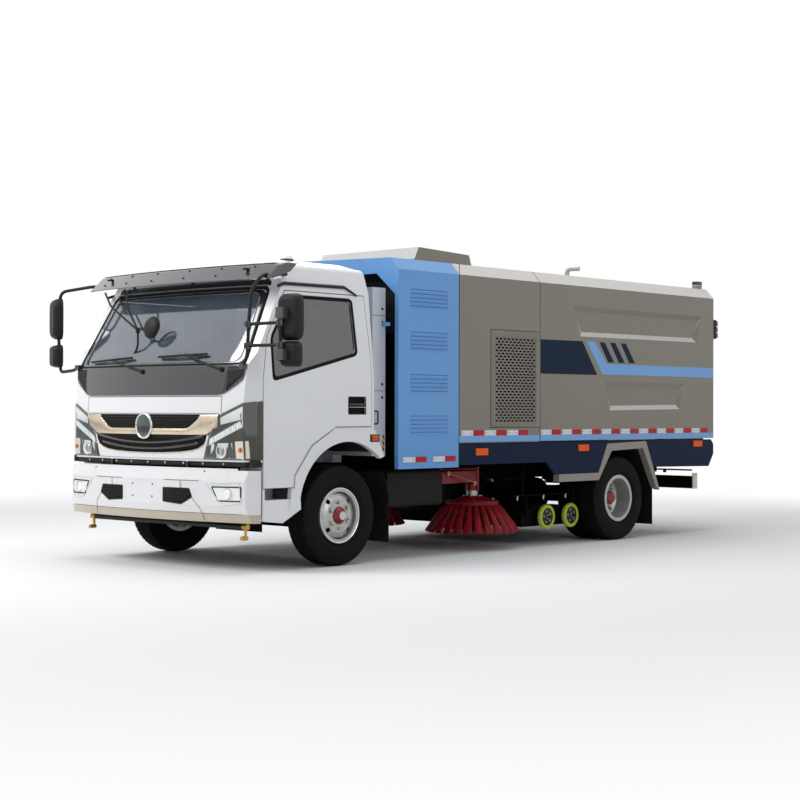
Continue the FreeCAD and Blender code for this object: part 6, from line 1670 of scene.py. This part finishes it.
    def headlamps(self) -> None:
        """Both lamp clusters: reflector, light strip, projector, turn lamp, black corner and cover."""
        beds = (
            ("lamp_corner_black", Finish.GLOSS_BLACK, 0.006,
             [(1.088, 0.864), (1.122, 0.864), (1.118, 1.300), (1.054, 1.286)]),
            ("lamp_reflector", Finish.CLEAR, 0.005,
             [(0.833, 1.126), (1.044, 1.168), (1.044, 1.266), (0.833, 1.178)]),
            ("lamp_strip_bed", Finish.CLEAR, 0.006,
             [(0.693, 0.960), (1.046, 1.109), (1.046, 1.166), (0.708, 1.014)]),
            ("main_lamp_bed", Finish.CLEAR, 0.004,
             [(0.722, 0.864), (0.949, 0.864), (0.942, 0.990), (0.734, 0.982)]),
            ("turn_lamp", Finish.PEACH, 0.007,
             [(0.981, 0.864), (1.078, 0.864), (1.071, 1.005), (0.971, 1.000)]),
        )
        sided([(name, panel(self.skin, corners, out), finish) for name, finish, out, corners in beds],
              "cab", "lamp_clear", thickness=0.004, bevel=0.001)
        start, end = np.array([0.714, 0.9875]), np.array([1.036, 1.1350])
        along, up = (end - start) / 6, np.array([0.0, 0.0165])
        squares = [panel(self.skin, [start + along * (k + 0.12) - up, start + along * (k + 0.88) - up,
                                     start + along * (k + 0.88) + up, start + along * (k + 0.12) + up],
                                     0.0085, 4)
                   for k in range(6)]
        bowl = [(0.004, 0.057), (0.012, 0.056), (0.012, 0.050), (0.0065, 0.046), (0.004, 0.036)]
        ball = [(0.004, 0.036), (0.009, 0.033), (0.013, 0.026), (0.0155, 0.014), (0.016, 0.0)]
        bulb = [(0.006, 0.019), (0.012, 0.018), (0.018, 0.013), (0.021, 0.006), (0.0215, 0)]
        outline = [(0.672, 0.862), (1.112, 0.862), (1.108, 1.306), (1.040, 1.290), (0.836, 1.208),
                   (0.712, 1.028)]
        brow = collar(self.skin, rounded(outline, 0.02), rounded(inset(outline, 0.012), 0.014), 0.004, 0.006)
        cover = ribbon(self.skin, (0.674, 0.710, 0.836, 1.040, 1.110), (0.980, 1.024, 1.204, 1.286, 1.302),
                       [0.864] * 5, 0.0180, 30, 9, 0.001)
        sided((
            ("light_squares", total(squares), Finish.LED),
            ("projector_bowl", knob(bowl, self.skin, 0.838, 0.926, 0.002), Finish.CLEAR),
            ("projector_ball", knob(ball, self.skin, 0.838, 0.926, 0.002), Finish.SMOKED_BALL),
            ("amber_bulb", knob(bulb, self.skin, 1.024, 0.935, 0.002, 24), Finish.AMBER),
            ("lamp_brow", brow, Finish.BEZEL),
            ("lamp_cover", cover, Finish.LAMP_COVER),
        ), "cab", "lamp_clear")


@dataclass(frozen=True)
class Bumper:
    """The bumper's fittings: honeycomb vents, fog lamps in recesses, grooves, joints, screws and cover."""

    skin: BumperFront = BumperFront()
    vent: Outline = ((0.256, 0.530), (0.456, 0.516), (0.568, 0.572), (0.540, 0.634), (0.256, 0.634))
    recess: Outline = ((0.700, 0.684), (0.872, 0.514), (1.056, 0.530), (1.036, 0.700))
    lamp: Outline = ((0.782, 0.649), (0.836, 0.554), (1.040, 0.555), (1.043, 0.651))

    def build(self) -> None:
        """Makes the fittings of both sides, the lines and the cover."""
        sided(self.vents(), "chassis", "bumper_plastic")
        sided(self.fog_lamp(), "chassis", "lamp_clear")
        alone((*self.lines(), *self.cover()), "chassis", "bumper_plastic")

    def vents(self) -> list[tuple]:
        """A five-cornered honeycomb grille in a dark rim."""
        knots = (0.244, 0.256, 0.456, 0.540, 0.568, 0.582)
        white = ribbon(self.skin, knots, [0.645] * 6, [0.505] * 6, 0.0008)
        field = ribbon(self.skin, knots[1:-1], (0.634, 0.634, 0.634, 0.573), (0.530, 0.516, 0.557, 0.571),
                       0.0014)
        rim = collar(self.skin, rounded(inset(self.vent, -0.006), 0.012),
                     rounded(inset(self.vent, 0.004), 0.008),
                     0.0015, 0.004)
        comb = honeycomb(self.skin, self.vent, 0.0195, 0.0016, 0.004)
        return [("vent_surround", white, Finish.BUMPER), ("vent_field", field, Finish.SEAL),
                ("vent_rim", rim, Finish.DARK_GREY), ("vent_comb", comb, Finish.DARK_GREY)]

    def fog_lamp(self) -> list[tuple]:
        """A four-cornered lamp with a round projector, in a recess with a raised lip."""
        outer, inner = rounded(self.recess, 0.02), rounded(inset(self.recess, 0.012), 0.016)
        edge, hole = rounded(inset(self.lamp, -0.010), 0.012), rounded(inset(self.lamp, 0.002), 0.008)
        lens = panel(self.skin, self.lamp[1:] + self.lamp[:1], 0.0035, 10)
        bowl = [(0.002, 0.044), (0.009, 0.043), (0.009, 0.038), (0.0055, 0.036)]
        ball = [(0.005, 0.036), (0.010, 0.030), (0.013, 0.018), (0.014, 0.0)]
        return [("fog_lip", collar(self.skin, outer, inner, 0.0008, 0.007, 7), Finish.BUMPER),
                ("fog_floor", collar(self.skin, inner, edge, 0.0012), Finish.BUMPER),
                ("fog_bezel", collar(self.skin, edge, hole, 0.0016, 0.006), Finish.BLACK),
                ("fog_lens", lens, Finish.CLEAR, {"replaces": ("fog_lamps",)}),
                ("fog_bowl", knob(bowl, self.skin, 0.925, 0.602), Finish.CHROME),
                ("fog_ball", knob(ball, self.skin, 0.925, 0.602), Finish.CLEAR)]

    def lines(self) -> list[tuple]:
        """The grey grooves under the top edge, the dark joints of the end pieces, and the plate's screws."""
        groove = seam(self.skin, [(0.26, 0.697), (0.64, 0.697)], 0.007, 0.0012)
        joint = seam(self.skin, [(0.567, 0.565), (0.640, 0.500), (0.665, 0.440), (0.675, 0.392)], 0.004,
                     0.0022)
        lip = seam(self.skin, [(-1.05, 0.450), (1.05, 0.450)], 0.003, 0.0010, 60)
        screw = [(0, 0.008), (0.002, 0.008), (0.003, 0.005), (0.003, 0)]
        screws = [knob(screw, self.skin, at, high, -0.0030, 20)
                  for at, high in ((-0.125, 0.658), (0.125, 0.658), (-0.120, 0.560), (0.120, 0.560))]
        return [("bumper_grooves", groove.both(), Finish.TRIM),
                ("bumper_joints", joint.both() + lip, Finish.SEAL),
                ("plate_screws", total(screws), Finish.BEZEL)]

    def cover(self) -> list[tuple]:
        """The rounded top edge, the closed corners, and the shelf from the bumper's top to the cab."""
        edge = ribbon(self.skin, (-1.0, 0.0, 1.0), [0.795] * 3, [0.774] * 3, -0.0005, 80, 6, 0.001)
        corner = ribbon(self.skin, (0.690, 0.920), [0.782] * 2, [0.690] * 2, 0.0010, 16)
        x = np.linspace(-0.955, 0.955, 61)
        front = self.skin.at(x, np.full(x.shape, 0.776)) + 0.002
        y = front + (-3.205 - front) * np.linspace(0, 1, 6)[:, None]
        points = np.stack([np.broadcast_to(x, y.shape), y, np.full(y.shape, 0.777)], -1)
        shelf = grid(points).looking((0, 0, 1))
        return [("bumper_edge", edge, Finish.BUMPER, {"thickness": 0.005, "bevel": 0.002}),
                ("bumper_corners", corner.both(), Finish.BUMPER),
                ("bumper_shelf", shelf, Finish.BLACK, {"thickness": 0.004})]


@dataclass(frozen=True)
class CabSides:
    """Details of both cab sides: window rubber, drip rail, door handle and side marker."""

    skin: CabSide = CabSide()
    window: Outline = ((-2.945, 1.480), (-2.040, 1.695), (-2.065, 2.115), (-2.725, 2.115), (-2.945, 1.790))

    def build(self) -> None:
        """Makes the details of both sides."""
        rubber = collar(self.skin, rounded(inset(self.window, -0.020), 0.05, 8),
                        rounded(inset(self.window, 0.006), 0.04, 8), 0.0015, 0.005, 7)
        rail = ribbon(self.skin, (-2.860, -2.780, -2.120, -2.000), (2.205, 2.232, 2.236, 2.170),
                      (2.180, 2.205, 2.209, 2.150), 0.010, 30, 5, 0.006)
        dish = oblong(-2.148, -1.940, 1.204, 1.350)
        rim = collar(self.skin, rounded(dish, 0.02), rounded(inset(dish, 0.008), 0.015), 0.0005, 0.002)
        marker = ribbon(FlatSide(1.132), (-1.890, -1.813), (1.038, 1.038), (0.992, 0.992), 0.004, 8, 5, 0.006)
        holder = ribbon(FlatSide(1.132), (-1.905, -1.798), (1.045, 1.045), (0.984, 0.984), 0.003, 8)
        sided((
            ("window_rubber", rubber, Finish.SEAL, {"thickness": 0.002}),
            ("handle_rim", rim, Finish.BLACK),
            ("handle_dish", block((1.1000, -2.145, 1.207), (1.1012, -1.941, 1.347)), Finish.SEAL),
            ("handle_grip", block((1.1030, -2.140, 1.262), (1.1265, -1.946, 1.292)), Finish.BLACK,
             {"bevel": 0.004}),
        ), "door_*", "black_plastic")
        sided((
            ("drip_rail", rail, Finish.BLACK, {"thickness": 0.006}),
            ("side_marker", marker, Finish.AMBER, {"slot": "lamp_amber", "thickness": 0.002}),
            ("side_marker_holder", holder, Finish.BLACK, {"thickness": 0.003}),
        ), "cab", "black_plastic")


@dataclass(frozen=True)
class NozzleWheels:
    """Support wheels of the suction nozzle: a crowned plastic tyre round a dark disc with bolts."""

    radius: float = 0.115
    half_width: float = 0.0225
    x: float = 0.9245
    z: float = 0.257

    def build(self) -> None:
        """Makes all four wheels."""
        r, w, x, z = self.radius, self.half_width, self.x, self.z
        tyre = [(-w, r - 0.036), (-w, r - 0.012), (-w + 0.004, r - 0.005), (-0.010, r - 0.0004),
                (0.010, r - 0.0004), (w - 0.004, r - 0.005), (w, r - 0.012), (w, r - 0.030),
                (w - 0.006, r - 0.034)]
        disc = [(w - 0.006, r - 0.034), (w - 0.009, r - 0.038), (w - 0.009, 0.034), (w - 0.003, 0.030),
                (w - 0.003, 0.0)]
        back = [(-w + 0.002, 0.0), (-w + 0.002, r - 0.035)]
        for end, y in (("front", 0.671), ("rear", 1.037)):
            centre = (x, y, z)
            nuts = bolt(0.007, 0.007, "X", (x + w - 0.009, y, z + 0.052)).ringed("X", 5, centre, 12)
            sided((
                (f"support_tyre_{end}", lathe(tyre, "X", centre, 56), Finish.YELLOW_GREEN,
                 {"replaces": (f"nozzle_wheel_{end}_*",)}),
                (f"support_disc_{end}", lathe(disc, "X", centre, 56) + lathe(back, "X", centre, 56),
                 Finish.BLACK),
                (f"support_nuts_{end}", nuts + bolt(0.013, 0.010, "X", (x + w - 0.003, y, z)), Finish.ZINC),
            ), f"nozzle_wheel_{end}_*", "wheel_polyurethane")


@dataclass(frozen=True)
class Underside:
    """Fittings below the body: spray pipe, brush arm rod, underrun caps and rail, and the skirt's rubber."""

    pipe_x: float = 0.875
    pipe_z: float = 0.460

    def build(self) -> None:
        """Makes the fittings of both sides and the rail over the underrun bar."""
        x, z = self.pipe_x, self.pipe_z
        jet = lathe([(-0.044, 0.0), (-0.044, 0.006), (-0.030, 0.006), (-0.030, 0.009), (-0.008, 0.009),
                     (-0.006, 0.012), (0.0, 0.012)], "Z", MIDDLE, 16)
        sided((
            ("spray_pipe", tube([(x, y, z) for y in (0.236, 0.660, 1.084)], 0.0098, 16), Finish.STEEL),
            ("spray_jets", jet.repeated([(x, y, z) for y in (0.305, 0.692, 1.030)]), Finish.STEEL),
        ), "suction_nozzle", "chassis_black")
        rod = tube([(0.872, -0.640, 0.690), (0.868, -0.460, 0.643), (0.862, -0.274, 0.594)], 0.0075, 14)
        eyes = [bolt(0.013, 0.012, "X", place) for place in ((0.866, -0.640, 0.690), (0.856, -0.274, 0.594))]
        sided((("arm_rod", rod, Finish.COPPER), ("arm_rod_eyes", total(eyes), Finish.ZINC)),
              "brush_arm_*", "gear_red")
        sided((
            ("underrun_cap", block((0.9605, 3.078, 0.438), (0.972, 3.162, 0.602)), Finish.WHITE_PLASTIC,
             {"bevel": 0.003}),
            ("skirt_rubber", block((1.096, -0.790, 0.936), (1.114, 3.050, 0.9635)), Finish.SEAL,
             {"slot": "flap_rubber", "bevel": 0.002}),
        ), "chassis", "chassis_black")
        posts = [block((at - 0.015, 3.104, 0.598), (at + 0.015, 3.124, 0.624)) for at in (-0.6, 0.6)]
        rail = block((-0.930, 3.100, 0.622), (0.930, 3.128, 0.638))
        rail = total([rail, *posts])
        piece("underrun_rail", rail, Finish.CHASSIS, "chassis", "chassis_black", bevel=0.002)


@dataclass(frozen=True)
class BodyFittings:
    """Fittings on the superstructure: cabinet loop and latches, cowl joint, lamp housings and roof lamp."""

    lamp_at: tuple[float, float, float] = (0.620, -2.350, 0.0)

    def build(self) -> None:
        """Makes the cabinet's grab loop, door joints, latches and edge tape, then the other fittings."""
        skin = FlatSide(1.0)
        loop = [(0.998, -1.712, 1.232), (1.034, -1.712, 1.232), (1.034, -1.712, 1.128),
                (0.998, -1.712, 1.128)]
        joints = [seam(skin, [(-1.742, z), (-1.596, z)], 0.004) for z in (2.020, 1.400)]
        latch = [(0, 0.011), (0.0042, 0.011), (0.006, 0.00825), (0.006, 0)]
        latches = [lathe(latch, "X", (1.0, -1.628, z), 20) for z in (2.075, 1.965, 1.455, 1.345)]
        tape = ribbon(skin, (-1.622, -1.600), (1.040, 1.040), (0.900, 0.900), 0.0012, 4, 12)
        gap = seam(FlatSide(), [(-0.7965, 0.760), (-0.7965, 2.500)], 0.008, 0.0008)
        housing = block((1.048, 3.236, 1.992), (1.1185, 3.296, 2.188))
        sided((
            ("cabinet_loop", tube(smooth_path(loop, bend=0.02), 0.0065, 12), Finish.BLACK),
            ("cabinet_joints", total(joints), Finish.SEAL),
            ("cabinet_latches", total(latches), Finish.BLACK),
            ("cabinet_tape", tape, Finish.HAZARD),
            ("cowl_link", block((1.000, -1.640, 1.935), (1.050, -1.585, 1.965)), Finish.COWL),
            ("cowl_gap", gap, Finish.SEAL, {"slot": "cowl_paint"}),
            ("lamp_housing", housing, Finish.BLACK,
             {"body": "tail_door", "slot": "lamp_red", "bevel": 0.006}),
        ), "chassis", "cabinet_paint")
        base = [(2.438, 0.062), (2.446, 0.062), (2.452, 0.056), (2.460, 0.052)]
        dome = [(2.458, 0.050), (2.476, 0.050), (2.488, 0.044), (2.494, 0.030), (2.496, 0.0)]
        alone((
            ("roof_lamp_base", lathe(base, "Z", self.lamp_at, 48), Finish.DARK_GREY,
             {"replaces": ("beacon",)}),
            ("roof_lamp_dome", lathe(dome, "Z", self.lamp_at, 48), Finish.CLEAR),
        ), "cab", "lamp_amber")


@dataclass(frozen=True)
class SideBrushes:
    """Gutter brushes: tufts of bristles that splay out from the disc."""

    centre: tuple[float, float, float] = (0.700, -0.126, 0.0)
    tufts: int = 26
    top: float = 0.402
    low: float = 0.152
    inner: float = 0.195
    reach: float = 0.412
    steps: int = 24
    rest: float = 0.151

    def tuft(self) -> Shape:
        """One bundle: a round profile that widens and flattens as its path leans outwards and down."""
        share = np.linspace(0, 1, 9)
        out = self.inner + (self.reach - self.inner) * share**0.85
        down = self.top - (self.top - self.low) * share**1.15
        path = np.stack([out, np.zeros(9), down], -1)
        angle = np.linspace(0, 2 * np.pi, self.steps, endpoint=False)
        ripple = 1.0 + 0.10 * np.cos(angle * 8)
        side = (0.017 + 0.021 * share)[:, None] * np.cos(angle) * ripple
        lift = (0.020 - 0.004 * share)[:, None] * np.sin(angle) * ripple
        way = np.gradient(path, axis=0)
        way /= np.linalg.norm(way, axis=1, keepdims=True)
        across = np.array([0.0, 1.0, 0.0])
        points = path[:, None] + side[..., None] * across + lift[..., None] * np.cross(way, across)[:, None]
        body = grid(points, closed=True, flip=True)
        ring = np.arange(self.steps)
        body.faces += [ring[::-1][None], (ring + 8 * self.steps)[None]]
        return body

    def build(self) -> None:
        """Makes both brushes: tufts cut level at the ground, disc and hub."""
        x, y, _ = self.centre
        ring = self.tuft().moved(x, y, 0).ringed("Z", self.tufts, self.centre)
        ring.points[:, 2] = np.maximum(ring.points[:, 2], self.rest)
        disc = [(0.478, 0.0), (0.470, 0.110), (0.445, 0.150), (0.432, 0.232), (0.420, 0.240), (0.395, 0.235),
                (0.385, 0.150), (0.385, 0.0)]
        hub = lathe([(0.5275, 0.0), (0.5275, 0.046), (0.520, 0.052), (0.470, 0.052)], "Z", self.centre, 32)
        bolts = bolt(0.008, 0.010, "Z", (x + 0.085, y, 0.468)).ringed("Z", 6, self.centre)
        sided((
            ("brush_tufts", ring, Finish.BRUSH, {"sharp": 60}),
            ("brush_disc", lathe(disc, "Z", self.centre, 64), Finish.DISC_RED,
             {"replaces": ("side_brush_*",)}),
            ("brush_hub", hub + bolts, Finish.ZINC),
        ), "side_brush_*", "bristle")


@dataclass(frozen=True)
class Seats:
    """Cab seats: crowned cushions and backs."""

    across: float = 0.560
    steps: int = 28

    def pad(self, size: Sequence[float], crown: float, waist: float) -> Shape:
        """A cushion form.

        A cube's surface is pushed towards a rounded box by powers of its coordinates; the crown adds a
        product of parabolas to its thickness, and the sides pull in between the corners by the waist.

        Args:
            size: width, depth and thickness.
            crown: how far the middle bulges.
            waist: how far the sides pull in.

        Returns:
            The closed surface about the origin.
        """
        u = np.linspace(-1, 1, self.steps)
        a, b = np.meshgrid(u, u, indexing="ij")
        one = np.ones_like(a)
        sides = ((a, b, one), (a, -b, -one), (one, a, b), (-one, a, -b), (-a, one, b), (a, -one, b))
        cube = total([grid(np.stack(side, -1)) for side in sides])
        p = cube.points
        x, y, z = (p / (np.abs(p) ** 7).sum(1, keepdims=True) ** (1 / 7)).T
        bulge = (1 - x**2) * (1 - y**2)
        pull = 1 - waist * (1 - y**2) * np.abs(x) ** 4
        groove = np.exp(-((np.abs(x) - 0.62) / 0.035) ** 2) * 0.010 * np.sign(z) * (np.abs(z) > 0.5)
        wide, deep, thick = np.array(size) / 2
        height = z * thick + np.sign(z) * bulge * crown - groove
        return Shape(np.stack([x * wide * pull, y * deep, height], -1), cube.faces)

    def build(self) -> None:
        """Makes the cushions, backs, head rests and their bases, and hides the plain ones."""
        x = self.across
        column = block((x - 0.17, -2.10, 1.20), (x + 0.17, -2.04, 1.75)).turned("X", -8, (0, -2.05, 1.2))
        base = block((x - 0.20, -2.50, 0.946), (x + 0.20, -2.12, 1.16)) + column
        piece("seat_bases", base.both(), Finish.DARK_GREY, "cab", "seat_fabric", bevel=0.02,
              replaces=("seats",), segments=4)
        forms = (
            ("cushion", (0.50, 0.48, 0.145), 0.018, 0.05, 0.0, (x, -2.315, 1.235)),
            ("back", (0.48, 0.62, 0.110), 0.016, 0.06, 81.0, (x, -2.065, 1.560)),
            ("head_rest", (0.27, 0.17, 0.085), 0.010, 0.08, 84.0, (x, -1.985, 1.945)),
        )
        for side, sign in SIDES:
            for name, size, crown, waist, tilt, place in forms:
                form = self.pad(size, crown, waist).turned("X", tilt).moved(*place)
                pad = piece(f"seat_{name}_{side}", form.on_side(sign), Finish.SEAT, "cab", "seat_fabric",
                            sharp=80)
                soften(pad)


def soften(item: bpy.types.Object) -> None:
    """Merges the seams of a closed form and rounds it by one subdivision."""
    weld = item.modifiers.new("Weld", "WELD")
    weld.merge_threshold = 0.0005
    smooth = item.modifiers.new("Round", "SUBSURF")
    smooth.levels = smooth.render_levels = 1


@dataclass(frozen=True)
class Studio:
    """Floor, light and camera at the photograph's angle."""

    eye: tuple[float, float, float] = (10.342, -11.478, 1.233)
    yaw: float = 42.858
    pitch: float = 0.389
    roll: float = 0.148
    lens: float = 74.13
    floor_reach: float = 60.0
    sky: Colour = (0.93, 0.96, 1.0, 1.0)
    sky_strength: float = 0.38

    def camera(self) -> None:
        """Places the camera: forward from yaw and pitch, then the picture's axes turned by the roll."""
        yaw, pitch, roll = (math.radians(v) for v in (self.yaw, self.pitch, self.roll))
        forward = Vector((-math.sin(yaw) * math.cos(pitch), math.cos(yaw) * math.cos(pitch), math.sin(pitch)))
        flat = Vector((math.cos(yaw), math.sin(yaw), 0.0))
        upward = flat.cross(forward)
        right = flat * math.cos(roll) + upward * math.sin(roll)
        up = upward * math.cos(roll) - flat * math.sin(roll)
        data = bpy.data.cameras.new("camera")
        data.lens = self.lens
        data.sensor_width = 36.0
        data.clip_end = 200.0
        item = bpy.data.objects.new("camera", data)
        item.matrix_world = Matrix.Translation(self.eye) @ Matrix((right, up, -forward)).transposed().to_4x4()
        bpy.context.scene.collection.objects.link(item)
        bpy.context.scene.camera = item

    def floor(self) -> None:
        """A wide pale sheet under the wheels."""
        mesh = bpy.data.meshes.new("studio_floor")
        far = self.floor_reach
        mesh.from_pydata([(-far, -far, 0), (far, -far, 0), (far, far, 0), (-far, far, 0)], [], [(0, 1, 2, 3)])
        mesh.materials.append(Finish.FLOOR.paint())
        item = bpy.data.objects.new("studio_floor", mesh)
        bpy.context.scene.collection.objects.link(item)

    def world(self) -> None:
        """White to the camera, to mirrors and through glass; a soft pale sky for the light itself."""
        world = bpy.data.worlds.new("studio")
        bpy.context.scene.world = world
        world.use_nodes = True
        tree = world.node_tree
        tree.nodes.clear()
        kinds = ("ShaderNodeOutputWorld", "ShaderNodeLightPath", "ShaderNodeMixShader")
        output, path, mix = (tree.nodes.new(kind) for kind in kinds)
        for slot, colour, strength in ((1, self.sky, self.sky_strength), (2, WHITE, 1.0)):
            light = tree.nodes.new("ShaderNodeBackground")
            light.inputs["Color"].default_value = colour
            light.inputs["Strength"].default_value = strength
            tree.links.new(light.outputs[0], mix.inputs[slot])
        seen = path.outputs["Is Camera Ray"]
        for ray in ("Is Transmission Ray", "Is Glossy Ray"):
            most = tree.nodes.new("ShaderNodeMath")
            most.operation = "MAXIMUM"
            tree.links.new(seen, most.inputs[0])
            tree.links.new(path.outputs[ray], most.inputs[1])
            seen = most.outputs[0]
        tree.links.new(seen, mix.inputs[0])
        tree.links.new(mix.outputs[0], output.inputs["Surface"])

    def lamp(self, name: str, place: Sequence[float], aim: Sequence[float], size: float,
             power: float) -> None:
        """One soft square lamp aimed at a point."""
        data = bpy.data.lights.new(name, "AREA")
        data.shape = "SQUARE"
        data.size = size
        data.energy = power
        item = bpy.data.objects.new(name, data)
        item.location = place
        item.rotation_euler = (Vector(aim) - Vector(place)).to_track_quat("-Z", "Y").to_euler()
        bpy.context.scene.collection.objects.link(item)

    def build(self) -> None:
        """Sets up camera, floor, world and lamps."""
        bpy.context.scene.view_settings.view_transform = "Standard"
        self.camera()
        self.floor()
        self.world()
        self.lamp("key", (-3.5, -10.0, 7.5), (0, -1.5, 1.2), 5.0, 700)
        self.lamp("side_fill", (10.5, -1.5, 5.0), (0, 0.3, 1.2), 6.0, 130)
        self.lamp("top", (0.5, 0.0, 9.5), (0, 0, 1.0), 7.0, 400)
        self.lamp("back", (-8.0, 7.0, 6.0), (0, 0, 1.2), 6.0, 210)


NODE_FINISHES = {
    Finish.CHASSIS: "chassis_frame front_axle rear_axle leaf_springs rear_underrun knuckle_left knuckle_right"
                    " suction_nozzle tip_ram_barrel",
    Finish.BATTERY: "battery_boxes fan_unit",
    Finish.BUMPER: "front_bumper",
    Finish.CLEAR: "fog_lamps beacon",
    Finish.BRASS: "spray_bar",
    Finish.CABINET: "equipment_cabinet",
    Finish.FLAP: "mudguards",
    Finish.COWL: "front_cowl",
    Finish.BODY: "service_bay hopper_shell tail_door",
    Finish.SKIRT: "side_skirts",
    Finish.TRIM: "arch_trims",
    Finish.AMBER: "marker_lamps",
    Finish.CAB: "cab_shell cab_steps door_left door_right",
    Finish.SCREEN: "windscreen",
    Finish.GLASS: "door_glass_left door_glass_right",
    Finish.GLOSS_BLACK: "front_panel sun_visor",
    Finish.BLACK: "wipers mirror_left mirror_right dashboard",
    Finish.DARK_GREY: "grille",
    Finish.BEZEL: "headlamps",
    Finish.SEAT: "seats",
    Finish.TYRE: "front_tyre_left front_tyre_right rear_tyres_left rear_tyres_right",
    Finish.FRONT_WHEEL: "front_rim_left front_rim_right",
    Finish.REAR_WHEEL: "rear_rims_left rear_rims_right",
    Finish.DOOR: "mesh_door_left mesh_door_right",
    Finish.GEAR: "brush_arm_left brush_arm_right",
    Finish.BRUSH: "side_brush_left side_brush_right",
    Finish.YELLOW_GREEN: "nozzle_wheel_front_left nozzle_wheel_front_right nozzle_wheel_rear_left"
                         " nozzle_wheel_rear_right",
    Finish.RED_LENS: "tail_lamps",
    Finish.STEEL: "tip_ram_rod",
}


def main() -> None:
    """Dresses the frame's nodes, then builds every sub-assembly in order."""
    logging.basicConfig(level=logging.INFO, format="%(name)s %(message)s")
    Studio().build()
    for finish, nodes in NODE_FINISHES.items():
        for node in nodes.split():
            dress(node, finish)
    for assembly in (Wheels(), SideGraphics(), MeshDoor(), Mirrors(), Screen(), Visor(), Nose(), Bumper(),
                     CabSides(), NozzleWheels(), Underside(), BodyFittings(), SideBrushes(), Seats()):
        assembly.build()


if __name__ == "__main__":
    main()
